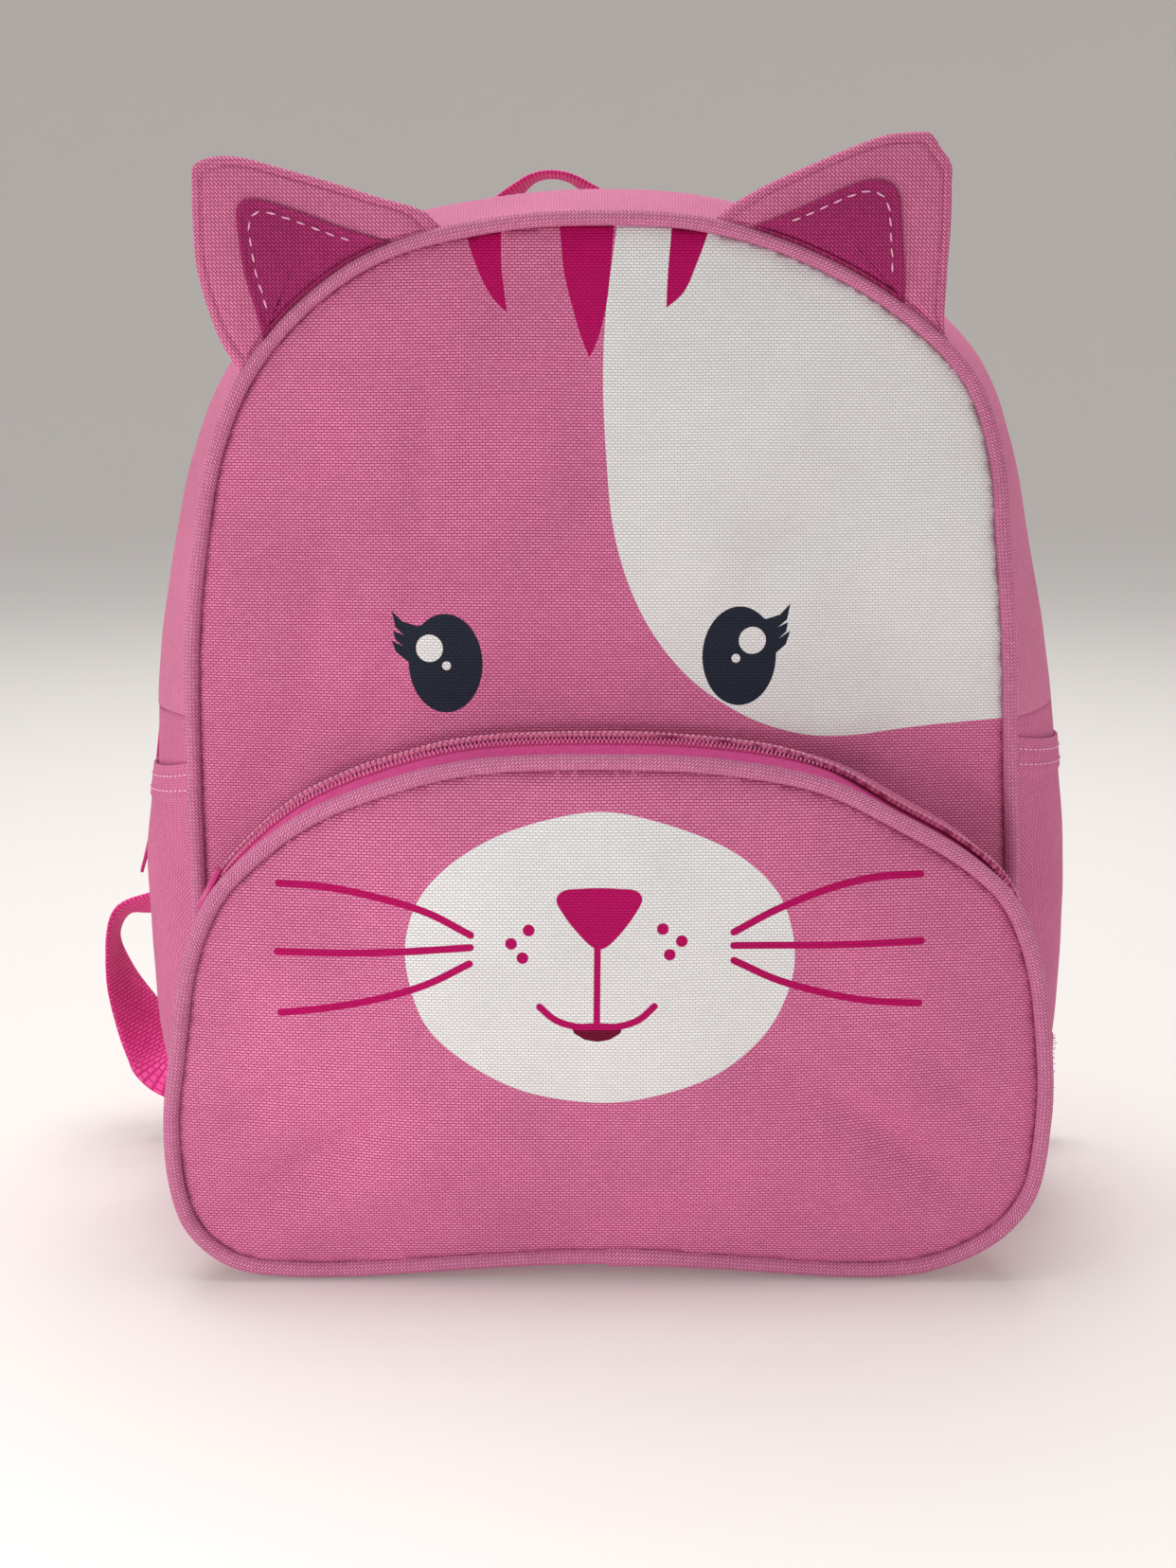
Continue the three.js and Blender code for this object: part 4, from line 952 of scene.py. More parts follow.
@dataclass(frozen=True)
class SpunThread(Finish):
    """Polyester sewing thread or coil: fine, with a soft shine and uneven dye."""

    colour: str
    pale: str
    roughness: float = 0.5

    def shader(self, tree: bpy.types.NodeTree) -> bpy.types.Node:
        """Draws dye that took unevenly, over a soft shine.

        Args:
            tree: The material's tree.

        Returns:
            The shader.
        """
        spot = add_node(tree, "ShaderNodeTexCoord")
        dye = add_node(tree, "ShaderNodeTexNoise", {"noise_dimensions": "3D"}, {
            "Vector": spot.outputs["Object"], "Scale": 700.0, "Detail": 3.0,
        })
        tone = add_node(tree, "ShaderNodeValToRGB", None, {"Fac": dye.outputs["Fac"]})
        tone.color_ramp.elements[0].position = 0.35
        tone.color_ramp.elements[0].color = linear(self.colour)
        tone.color_ramp.elements[1].position = 0.65
        tone.color_ramp.elements[1].color = linear(self.pale)
        bump = add_node(tree, "ShaderNodeBump", None, {
            "Height": dye.outputs["Fac"], "Distance": 0.08 * MM, "Strength": 0.6,
        })
        return add_node(tree, "ShaderNodeBsdfPrincipled", None, {
            "Base Color": tone.outputs["Color"], "Roughness": self.roughness,
            "Normal": bump.outputs["Normal"], "Sheen Weight": 0.2,
        })


@dataclass(frozen=True)
class StudioPaper(Finish):
    """Seamless studio paper: matt and pale."""

    name: str = "studio_paper"
    colour: str = "#e2deda"
    glow: float = 0.15

    def shader(self, tree: bpy.types.NodeTree) -> bpy.types.Node:
        """Draws a matt sheet with a fine grain.

        Args:
            tree: The material's tree.

        Returns:
            The shader.
        """
        spot = add_node(tree, "ShaderNodeTexCoord")
        grain = add_node(tree, "ShaderNodeTexNoise", {"noise_dimensions": "3D"}, {
            "Vector": spot.outputs["Object"], "Scale": 400.0, "Detail": 2.0,
        })
        bump = add_node(tree, "ShaderNodeBump", None, {
            "Height": grain.outputs["Fac"], "Distance": 0.05 * MM, "Strength": 0.3,
        })
        return add_node(tree, "ShaderNodeBsdfPrincipled", None, {
            "Base Color": linear(self.colour), "Roughness": 0.9, "Normal": bump.outputs["Normal"],
            "Emission Color": linear(self.colour), "Emission Strength": self.glow,
        })


class Wardrobe:
    """Every finish of the bag, built once."""

    def __init__(self) -> None:
        """Builds the finishes, each under a comment on what it gives the eye."""
        # The main cloth: a matt pink, broken up by pale thread crowns over deep gaps.
        self.pink = WovenCloth("pink_woven_polyester", "#f08db6", "#e57faa", "#a03a68").build()
        # The top's cloth: the main pink weave with paler gaps, painted lighter for the light from
        # above.
        self.pale_pink = WovenCloth("top_woven_polyester_painted_lighter", "#f094b9", "#e88bb0", "#b4557d").build()
        # The ears' cloth: the same weave cut on the bias, so its rows run slantwise.
        self.bias_pink = WovenCloth(
            "ear_woven_polyester", "#ee8cb3", "#e37ea8", "#a03a68", turn=45).build()
        # Screen inks: flat, even colour that fills the gaps and leaves the weave in relief.
        printed = {"sheen": 0.03, "roughness": 0.62, "specular": 0.1, "shade": 0.05}
        self.white = WovenCloth(
            "white_screen_print", "#f6f5f5", "#f1efef", "#c4c1c3", gap_share=0.28,
            **printed).build()
        self.deep_print = WovenCloth(
            "deep_pink_screen_print", "#c8096a", "#bf0864", "#98044a", gap_share=0.3,
            **printed).build()
        self.dark_print = WovenCloth(
            "slate_screen_print", "#2b3040", "#282d3c", "#1b1f2a", gap_share=0.3,
            **printed).build()
        self.tongue = WovenCloth(
            "plum_screen_print", "#7a0d38", "#720b33", "#560724", gap_share=0.3,
            **printed).build()
        # The piping's cloth: fine slanting rows that wind round the cord, a little greyer.
        self.piping = WovenCloth(
            "piping_bias_cloth", "#e994b8", "#db83a9", "#98446c", turn=45, across=1.5,
            row=0.75, relief=0.14).build()
        # The ears' patches: deep magenta with gaps that are nearly plum.
        self.inner_ear = WovenCloth(
            "magenta_woven_polyester", "#c2357c", "#b42c6f", "#6e1040", turn=45).build()
        # Zip tape: low diagonal rows in a strong pink, smoother than the cloth.
        self.zip_tape = WovenCloth(
            "zip_tape_herringbone", "#f96cb2", "#ee5ba4", "#bd2f78", across=2.0, row=0.5,
            turn=35, relief=0.08).build()
        # Webbing: coarse, bright crosswise ribs with a soft sheen.
        self.webbing = WovenCloth(
            "ribbed_webbing", "#ff5fb0", "#f84f9f", "#cc2375", across=2.6, row=1.3,
            gap_share=0.3, relief=0.2, sheen=0.25).build()
        # Spacer mesh: open cells with dark middles, drawn a little coarse so that they show.
        self.mesh_pad = WovenCloth(
            "spacer_mesh", "#e48db0", "#da81a5", "#9b446c", across=2.6, row=1.5,
            gap_share=0.4, relief=0.3).build()
        # Nylon coil and sewing threads: small glints, and a dye that varies along them.
        self.coil = SpunThread("nylon_coil", "#dd5c9c", "#ee7fb5", 0.4).build()
        self.thread = SpunThread("pink_sewing_thread", "#d9799f", "#e99dbd").build()
        self.pale_thread = SpunThread("pale_sewing_thread", "#e69dbd", "#f1b9d1").build()
        # Grosgrain ribbon: fine crosswise ribs, shinier than the cloth.
        self.ribbon = WovenCloth(
            "grosgrain_ribbon", "#e0468f", "#d63d86", "#a31f5c", across=1.6, row=0.8,
            gap_share=0.25, relief=0.1, roughness=0.55).build()
        # Acetal has a waxy shine; the sliders' paint is darker and a little glossier.
        self.plastic = MouldedPlastic("acetal_as_moulded", "#e0559a").build()
        self.slider = MouldedPlastic("painted_zinc_slider", "#c9478a", 0.3).build()


# Stitches and zip teeth


@dataclass(frozen=True)
class RowPlan:
    """Sizes of a row of like parts along a path, in millimetres."""

    pitch: float
    length: float
    width: float
    height: float
    wander: float = 0.0
    seed: int = 1


class Stitch(Enum):
    """The stitch of each sewn row."""

    GUSSET = RowPlan(3.2, 2.4, 0.5, 0.45, 0.08, 3)
    SIDE_POCKET = RowPlan(3.2, 2.4, 0.55, 0.5, 0.08, 4)
    EAR_PATCH = RowPlan(4.2, 3.0, 0.55, 0.5, 0.12, 5)
    POCKET_FOLD = RowPlan(1.7, 1.5, 1.0, 0.8, 0.1, 6)
    BACK_CHANNEL = RowPlan(3.4, 2.6, 0.6, 0.5, 0.06, 8)
    STRAP = RowPlan(3.2, 2.4, 0.55, 0.5, 0.06, 9)
    CORNER_TAB = RowPlan(2.8, 2.1, 0.5, 0.45, 0.08, 12)
    STRAP_BAND = RowPlan(3.2, 2.4, 0.55, 0.5, 0.06, 21)


class RowMaker:
    """Lays parts along paths with one Geometry Nodes tree."""

    def __init__(self) -> None:
        """Builds the tree: resample each path, set a bead on each point, turned to the path."""
        tree = bpy.data.node_groups.new("row_along_path", "GeometryNodeTree")
        face = tree.interface
        face.new_socket("Geometry", in_out="INPUT", socket_type="NodeSocketGeometry")
        for name in ("Pitch", "Length", "Width", "Height", "Wander"):
            face.new_socket(name, in_out="INPUT", socket_type="NodeSocketFloat")
        face.new_socket("Seed", in_out="INPUT", socket_type="NodeSocketInt")
        face.new_socket("Material", in_out="INPUT", socket_type="NodeSocketMaterial")
        face.new_socket("Geometry", in_out="OUTPUT", socket_type="NodeSocketGeometry")
        given = tree.nodes.new("NodeGroupInput").outputs
        path = add_node(tree, "GeometryNodeMeshToCurve", None, {"Mesh": given["Geometry"]})
        even = add_node(tree, "GeometryNodeResampleCurve", {"mode": "LENGTH"}, {
            "Curve": path.outputs["Curve"], "Length": given["Pitch"],
        })
        along = add_node(tree, "GeometryNodeInputTangent")
        out = add_node(tree, "GeometryNodeInputNamedAttribute", {"data_type": "FLOAT_VECTOR"},
                       {"Name": "out"})
        upright = add_node(tree, "FunctionNodeAlignRotationToVector", {"axis": "Z"}, {
            "Vector": out.outputs["Attribute"],
        })
        aimed = add_node(tree, "FunctionNodeAlignRotationToVector",
                         {"axis": "X", "pivot_axis": "Z"}, {
                             "Rotation": upright.outputs["Rotation"],
                             "Vector": along.outputs["Tangent"],
                         })
        less = add_node(tree, "ShaderNodeMath", {"operation": "MULTIPLY"}, {
            0: given["Wander"], 1: -1.0,
        })
        sway = add_node(tree, "FunctionNodeRandomValue", {"data_type": "FLOAT"}, {
            2: less.outputs["Value"], 3: given["Wander"], "Seed": given["Seed"],
        })
        spin = add_node(tree, "FunctionNodeAxisAngleToRotation", None, {
            "Axis": (0, 0, 1), "Angle": sway.outputs[1],
        })
        final = add_node(tree, "FunctionNodeRotateRotation", {"rotation_space": "LOCAL"}, {
            "Rotation": aimed.outputs["Rotation"], "Rotate By": spin.outputs["Rotation"],
        })
        bead = add_node(tree, "GeometryNodeMeshUVSphere", None, {
            "Segments": 8, "Rings": 5, "Radius": 0.5,
        })
        size = add_node(tree, "ShaderNodeCombineXYZ", None, {
            "X": given["Length"], "Y": given["Width"], "Z": given["Height"],
        })
        shaped = add_node(tree, "GeometryNodeTransform", None, {
            "Geometry": bead.outputs["Mesh"], "Scale": size.outputs["Vector"],
        })
        laid = add_node(tree, "GeometryNodeInstanceOnPoints", None, {
            "Points": even.outputs["Curve"], "Instance": shaped.outputs["Geometry"],
            "Rotation": final.outputs["Rotation"],
        })
        real = add_node(tree, "GeometryNodeRealizeInstances", None, {
            "Geometry": laid.outputs["Instances"],
        })
        soft = add_node(tree, "GeometryNodeSetShadeSmooth", None, {
            "Geometry": real.outputs["Geometry"],
        })
        dressed = add_node(tree, "GeometryNodeSetMaterial", None, {
            "Geometry": soft.outputs["Geometry"], "Material": given["Material"],
        })
        add_node(tree, "NodeGroupOutput", None, {"Geometry": dressed.outputs["Geometry"]})
        self.tree = tree
        self.sockets = {
            item.name: item.identifier for item in face.items_tree if item.in_out == "INPUT"
        }

    def lay(self, name: str, paths: Sequence[tuple[np.ndarray, np.ndarray]], plan: RowPlan,
            finish: bpy.types.Material) -> bpy.types.Object:
        """Lays one piece of parts along several paths.

        Args:
            name: The piece's name.
            paths: Each path's points and outward directions, in millimetres.
            plan: Sizes of the row.
            finish: Its material.

        Returns:
            The piece, as a plain mesh.
        """
        mesh = bpy.data.meshes.new(name)
        points, edges, outs = [], [], []
        for line, out in paths:
            start = len(points)
            points.extend((line * MM).tolist())
            outs.extend(unit(out).tolist())
            edges.extend((start + i, start + i + 1) for i in range(len(line) - 1))
        mesh.from_pydata(points, edges, [])
        layer = mesh.attributes.new("out", "FLOAT_VECTOR", "POINT")
        layer.data.foreach_set("vector", np.array(outs).ravel())
        piece = bpy.data.objects.new(name, mesh)
        bpy.context.scene.collection.objects.link(piece)
        nodes = piece.modifiers.new("row", "NODES")
        nodes.node_group = self.tree
        for key in ("pitch", "length", "width", "height"):
            nodes[self.sockets[key.capitalize()]] = getattr(plan, key) * MM
        nodes[self.sockets["Wander"]] = plan.wander
        nodes[self.sockets["Seed"]] = plan.seed
        nodes[self.sockets["Material"]] = finish
        apply_modifiers(piece)
        return piece

    def sew(self, name: str, slot: str, paths: Sequence[tuple[np.ndarray, np.ndarray]],
            stitch: Stitch, thread: bpy.types.Material) -> None:
        """Sews rows of stitches and hands them over as one piece.

        Args:
            name: The piece's name.
            slot: The record's slot.
            paths: Each row's points and outward directions, in millimetres.
            stitch: Which stitch.
            thread: Its material.
        """
        hand_over(self.lay(name, paths, stitch.value, thread), slot)


# Prints


def stroke(points: Sequence, width: float) -> np.ndarray:
    """The outline of a drawn line with round ends.

    Args:
        points: The line's points.
        width: Its width.

    Returns:
        The outline's corners.
    """
    line = spaced(smooth_curve(points), 2.0)
    along = unit(np.gradient(line, axis=0))
    off = np.stack([-along[:, 1], along[:, 0]], axis=1) * width / 2
    caps = []
    for middle, first in ((line[-1], off[-1]), (line[0], -off[0])):
        turn = np.linspace(0, -math.pi, 7)[1:-1]
        caps.append(np.stack([
            middle[0] + first[0] * np.cos(turn) - first[1] * np.sin(turn),
            middle[1] + first[0] * np.sin(turn) + first[1] * np.cos(turn),
        ], axis=1))
    return np.vstack([line + off, caps[0], (line - off)[::-1], caps[1]])


def oval(x: float, z: float, wide: float, high: float, steps: int = 48) -> np.ndarray:
    """An ellipse's corners, from its middle and its half sizes."""
    turn = np.linspace(0, 2 * math.pi, steps, endpoint=False)
    return np.stack([x + wide * np.cos(turn), z + high * np.sin(turn)], axis=1)


def blob(points: Sequence, step: float = 1.2) -> np.ndarray:
    """A closed smooth outline through points."""
    return spaced(smooth_curve(points, closed=True), step, closed=True)


def tapered(down: Sequence, up: Sequence, step: float = 1.2) -> np.ndarray:
    """An outline with smooth sides and a sharp tip.

    Args:
        down: One side's points, which end at the tip.
        up: The other side's points, from just after the tip.
        step: Spacing of the corners.

    Returns:
        The outline's corners.
    """
    first = spaced(smooth_curve(down), step)
    second = spaced(smooth_curve([down[-1], *up]), step)
    return np.vstack([first, second[1:]])


@dataclass(frozen=True)
class PrintShape:
    """A printed shape: its corners and the slot of its ink."""

    corners: np.ndarray
    ink: int


class Face:
    """The cat's face: plain ovals, stripes, a triangle nose and whiskers."""

    WHITE, DEEP, DARK, PLUM = 1, 2, 3, 4

    @staticmethod
    def forehead() -> list[PrintShape]:
        """Draws the patch, the stripes and the eyes.

        Returns:
            The shapes, from the lowest layer up.
        """
        patch = smooth_curve([
            (4.3, 306), (1.1, 281.5), (0.3, 263), (1.2, 241.5), (3.4, 219.9), (8.1, 203.4),
            (15.1, 189.6), (24.8, 177.6), (34.6, 170), (45.8, 163.9), (59.8, 159.9),
            (75.2, 159.3), (90.5, 161), (101.6, 162.4), (117.4, 163.6), (140, 164.4),
        ])
        patch = np.vstack([spaced(patch, 1.5), [(170, 165), (170, 330), (4.8, 330)]])
        stripes = (
            ([(-42, 312), (-39.2, 304.4), (-37, 297.5), (-33.5, 289.2), (-29.9, 284),
              (-27.2, 281.6)], [(-27.9, 287), (-28.7, 294), (-28.8, 301), (-28.6, 312)]),
            ([(-12.6, 312), (-12, 305), (-10.8, 292.7), (-8.2, 282.2), (-5.9, 274.5),
              (-3.6, 268.9)], [(-1.2, 274), (1.3, 284), (2.5, 294.4), (3.9, 312)]),
            ([(20.2, 312), (19.8, 304), (19.1, 296.1), (18.6, 288.5), (18.4, 282.8)],
             [(23.4, 287.3), (27.4, 296.1), (30.2, 303.7), (32.6, 312)]),
        )
        shapes = [PrintShape(patch, Face.WHITE)]
        shapes += [PrintShape(tapered(down, up), Face.DEEP) for down, up in stripes]
        lashes = {
            (-45.7, 181.0): [(-50.5, 192.6), (-53.9, 191.8), (-58.2, 193.0), (-61.5, 196.1),
                             (-60.4, 191.4), (-57.9, 189.0), (-61.2, 190.4), (-60.4, 187.6),
                             (-58.3, 185.8), (-61.6, 187.5), (-60.4, 184.2), (-56.4, 181.0)],
            (40.3, 183.2): [(45.2, 194.8), (48.0, 194.0), (52.0, 195.2), (55.1, 198.4),
                            (54.2, 193.8), (51.6, 191.6), (54.5, 193.0), (54.0, 190.2),
                            (52.0, 188.3), (55.2, 190.4), (54.0, 186.4), (50.6, 183.4)],
        }
        for (x, z), corners in lashes.items():
            shapes.append(PrintShape(oval(x, z, 10.9, 14.5), Face.DARK))
            shapes.append(PrintShape(np.array(corners), Face.DARK))
        for x, z, radius in ((-50.4, 185.4, 4), (-45.4, 180.4, 1.3), (44.1, 187.7, 4),
                             (39.3, 182.5, 1.3)):
            shapes.append(PrintShape(oval(x, z, radius, radius, 24), Face.WHITE))
        return shapes

    @staticmethod
    def snout() -> list[PrintShape]:
        """Draws the muzzle, whiskers, nose, mouth and dots.

        Returns:
            The shapes, from the lowest layer up.
        """
        muzzle = blob([
            (1, 142.5), (-13.8, 140.7), (-31.4, 134.9), (-44.8, 126.3), (-52.4, 117.2),
            (-56, 104.6), (-54.4, 91.4), (-49.5, 79.9), (-37.4, 69.2), (-20.9, 61.4), (0.6, 58.4),
            (14.5, 60.2), (33.2, 66.9), (46.1, 77.7), (52.4, 89.2), (54.9, 101), (52.2, 115.3),
            (47, 123.5), (36.5, 131.8), (18.6, 138.9),
        ], 1.8)
        tongue = np.vstack([
            spaced(smooth_curve([(-9.2, 82.4), (-1.4, 81.2), (6.4, 82.4)]), 1.2),
            [(5.2, 79.2), (2.2, 77.3), (-1.4, 76.7), (-5, 77.3), (-8, 79.2)],
        ])
        nose = blob([
            (-13, 118.4), (-11, 120.7), (-6, 121.3), (-0.6, 121.5), (4.9, 121.3), (9.6, 120.8),
            (11.4, 118.6), (9, 113.6), (5.4, 108.8), (1.6, 104.9), (-0.8, 103.9), (-3.2, 105),
            (-7.2, 109.1), (-10.9, 113.9),
        ])
        lines = [
            ([(-92.4, 121.4), (-81, 121), (-68.6, 119.2), (-49.9, 114.3), (-37.3, 107.9)], 2.1),
            ([(-92.9, 101.8), (-65, 102.3), (-37.4, 104.3)], 2.1),
            ([(-92.3, 83.9), (-79, 85.8), (-63.8, 88.9), (-50, 93.4), (-37.7, 99.6)], 2.1),
            ([(91, 124.1), (78, 123.6), (65.3, 121), (49.4, 115), (37.4, 108.7)], 2.1),
            ([(91.3, 105.1), (64, 104.6), (37.4, 104.8)], 2.1),
            ([(91, 86.9), (78, 87.8), (66, 90), (50, 94.6), (37.5, 100.4)], 2.1),
            ([(-1.3, 106), (-1.4, 94), (-1.5, 81.5)], 1.9),
            ([(-17.8, 87.1), (-13.6, 83.3), (-7.6, 81.2), (-1.5, 81.3), (4.6, 81.2),
              (10.6, 83.2), (14.9, 87.1)], 2.0),
        ]
        dots = ((-20.8, 109.5), (-25.8, 105.6), (-22.6, 101.5), (17.2, 109.8), (22.6, 106.2),
                (19.2, 102.3))
        shapes = [PrintShape(muzzle, Face.WHITE), PrintShape(tongue, Face.PLUM)]
        shapes += [PrintShape(stroke(line, width), Face.DEEP) for line, width in lines]
        shapes.append(PrintShape(nose, Face.DEEP))
        shapes += [PrintShape(oval(x, z, 1.7, 1.7, 16), Face.DEEP) for x, z in dots]
        return shapes


# Sub-assemblies


@dataclass
class PrintedPanel:
    """A crowned cloth panel inside a seam, with prints cut into its mesh."""

    name: str
    node: str
    seam: SeamLine
    plane: float
    crown: float
    inset: float
    folds: Sequence[Fold]
    shapes: list
    step: float = 2.4
    seed: float = 3.1
    crease: float = 1.4
    wave: float = 1.5
    wave_span: float = 58
    ripple: float = 0.6
    ripple_span: float = 21
    pucker: float = 0.5
    pucker_span: float = 8.5
    edge_points: int = 420
    clearance: float = 0.42

    def depth(self, x: np.ndarray, z: np.ndarray) -> np.ndarray:
        """How far the outer face stands in front of the seam's plane.

        Args:
            x: Across places.
            z: Heights.

        Returns:
            Depths in millimetres.
        """
        share = np.minimum(self.seam.radial(x, z), 1)
        free = 1 - share**6
        dome = self.crown * (1 - share**2.6)
        points = np.stack([x, np.zeros_like(x), z], axis=-1)
        soft = self.wave * cloth_noise(points, self.wave_span, self.seed)
        soft = soft + self.ripple * cloth_noise(points, self.ripple_span, self.seed)
        edge = np.exp(-(((1 - share) / 0.075) ** 2))
        pucker = self.pucker * cloth_noise(points, self.pucker_span, self.seed + 5) * edge
        crease = self.crease * smooth_step(share, 0.965, 1.0)
        folded = fold_depth(self.folds, self.seam, x, z)
        return dome + (soft - folded) * free + pucker - crease

    def mesh(self) -> Shell:
        """Triangulates the panel with every print's outline as an edge.

        Returns:
            The open shell, its slots the inks of the prints.
        """
        rounds = np.linspace(0, 1, self.edge_points, endpoint=False)
        point, normal = self.seam.at(rounds)
        outline = point - normal * self.inset
        loops = [outline] + [shape.corners for shape in self.shapes]
        low, high = outline.min(axis=0), outline.max(axis=0)
        rows = np.arange(low[1], high[1], self.step * 0.87)
        lattice = np.array([
            (x + (index % 2) * self.step / 2, z)
            for index, z in enumerate(rows) for x in np.arange(low[0], high[0], self.step)
        ])
        lattice = lattice[inside(outline, lattice)]
        edge_points = np.vstack(loops)
        tree = kdtree.KDTree(len(edge_points))
        for index, (x, z) in enumerate(edge_points):
            tree.insert((x, z, 0), index)
        tree.balance()
        clear = [tree.find((x, z, 0))[2] > self.step * self.clearance for x, z in lattice]
        lattice = lattice[np.array(clear)]
        edges, start = [], 0
        for loop in loops:
            count = len(loop)
            edges.extend((start + i, start + (i + 1) % count) for i in range(count))
            start += count
        corners = np.vstack([edge_points, lattice])
        found = delaunay_2d_cdt([Vector(c) for c in corners], edges, [], 0, 1e-4)
        places = np.array([tuple(v) for v in found[0]])
        triangles = np.array(found[2])
        middles = places[triangles].mean(axis=1)
        triangles = triangles[inside(outline, middles)]
        middles = places[triangles].mean(axis=1)
        inks = np.zeros(len(triangles), int)
        for shape in self.shapes:
            inks[inside(shape.corners, middles)] = shape.ink
        used = np.unique(triangles)
        renamed = np.full(len(places), -1)
        renamed[used] = np.arange(len(used))
        places, triangles = places[used], renamed[triangles]
        x, z = places[:, 0], places[:, 1]
        points = np.stack([x, self.plane - self.depth(x, z), z], axis=1)
        drift = 0.6 * cloth_noise(points, 45, self.seed + 9)
        weave = np.stack([x + drift, z + 0.7 * drift], axis=1)
        return Shell(points, [tuple(t) for t in triangles.tolist()],
                     [weave[t] for t in triangles], inks)

    def build(self, wardrobe: Wardrobe) -> None:
        """Makes and dresses the panel.

        Args:
            wardrobe: The bag's finishes.
        """
        inks = [wardrobe.pink, wardrobe.white, wardrobe.deep_print, wardrobe.dark_print,
                wardrobe.tongue]
        piece = make_piece(self.name, self.mesh(), inks, towards_front)
        give_wall(piece, SIZES.cloth)
        hand_over(piece, "cloth_pink", self.node)


@dataclass
class Piping:
    """A cord wrapped in bias cloth, sewn into a seam."""

    name: str
    node: str
    seam: SeamLine
    plane: float
    diameter: float
    lap: bool = False
    steps: int = 620
    sides: int = 14

    def tube(self, shares: np.ndarray, radii: np.ndarray, closed: bool) -> Shell:
        """Sweeps a round section along part of the seam.

        Args:
            shares: Shares round the seam.
            radii: The radius at each.
            closed: Whether the last section joins the first.

        Returns:
            The shell.
        """
        point, normal = self.seam.at(shares)
        turn = np.linspace(0, 2 * math.pi, self.sides, endpoint=False)
        x = point[:, None, 0] + normal[:, None, 0] * np.cos(turn) * radii[:, None]
        z = point[:, None, 1] + normal[:, None, 1] * np.cos(turn) * radii[:, None]
        y = self.plane + np.sin(turn) * radii[:, None]
        rings = np.stack([x, y, z], axis=-1)
        girth = np.linspace(0, math.pi * self.diameter, self.sides + 1)
        lengths = shares * self.seam.length
        if closed:
            rings = np.concatenate([rings, rings[:1]])
            lengths = np.append(lengths, self.seam.length + lengths[0])
        weave = np.stack(np.broadcast_arrays(girth[None, :], lengths[:, None]), axis=-1)
        return grid_shell(rings, weave, wrap=True)

    def build(self, wardrobe: Wardrobe) -> None:
        """Makes and dresses the piping.

        Args:
            wardrobe: The bag's finishes.
        """
        shares = np.linspace(0, 1, self.steps, endpoint=False)
        point, _ = self.seam.at(shares)
        spots = np.stack([point[:, 0], np.zeros(self.steps), point[:, 1]], axis=1)
        radii = self.diameter / 2 * (1 + 0.035 * cloth_noise(spots, 7, 2.2))
        shell = self.tube(shares, radii, True)
        if self.lap:
            ends = np.linspace(0.0012, 0.05, 40)
            fade = self.diameter / 2 * np.linspace(1.27, 0.99, 40)
            fade[0] = self.diameter / 2 * 0.8
            shell = shell.joined(self.tube(ends, fade, False))
        piece = make_piece(self.name, shell, [wardrobe.piping])
        close_outward(piece)
        hand_over(piece, "piping", *([self.node] if self.node else []))


def even_lift(amount: float) -> Surface:
    """Lifts a patch by the same amount all over.

    Args:
        amount: The lift in millimetres.

    Returns:
        A function that gives the lift at shares round and across.
    """

    def lift(rounds: np.ndarray, across: np.ndarray) -> np.ndarray:
        """The same lift at each place."""
        return np.full(np.broadcast(rounds, across).shape, amount)

    return lift


@dataclass
class WallPatch:
    """A patch of cloth on one of the bag's side surfaces."""

    surface: Surface
    rounds: np.ndarray
    across: np.ndarray
    length: float
    span: float
    lift: Surface
    wrinkle: float = 0.5
    seed: float = 7.7

    def mesh(self) -> tuple[Shell, np.ndarray, np.ndarray]:
        """Lays the patch.

        Returns:
            The shell, its grid of points, and its grid of outward directions.
        """
        rounds, across = np.meshgrid(self.rounds, self.across, indexing="ij")
        points = self.surface(rounds, across)
        step = 2e-3
        along = self.surface(rounds + step, across) - self.surface(rounds - step, across)
        over = self.surface(rounds, np.minimum(across + step, 1)) - self.surface(
            rounds, np.maximum(across - step, 0))
        normal = unit(np.cross(over, along))
        edge = np.clip((across - self.across[0]) / (self.across[-1] - self.across[0]), 0, 1)
        free = np.sin(math.pi * edge) ** 0.5
        soft = cloth_noise(points, 42, self.seed) + 0.4 * cloth_noise(points, 15, self.seed)
        lift = self.lift(rounds, across) + self.wrinkle * soft * free
        grounded = smooth_step(points[..., 2], 0.5, 14)
        points = points + normal * (lift * grounded)[..., None]
        weave = np.stack([rounds * self.length, across * self.span], axis=-1)
        return grid_shell(points, weave), points, normal

    def sew(self, node: str, word: str, slot: str, finish: bpy.types.Material, wall: float,
            outward: Directions) -> tuple[np.ndarray, np.ndarray]:
        """Makes the patch a wall of cloth that stands for a solid.

        Args:
            node: The solid that it replaces.
            word: What the piece's name adds to the solid's.
            slot: The record's slot.
            finish: Its material.
            wall: Its thickness in millimetres.
            outward: Gives the outward direction at face middles.

        Returns:
            Its grid of points and its outward directions.
        """
        shell, points, normals = self.mesh()
        piece = make_piece(f"{node}_{word}", shell, [finish], outward)
        give_wall(piece, wall)
        hand_over(piece, slot, node)
        return points, normals


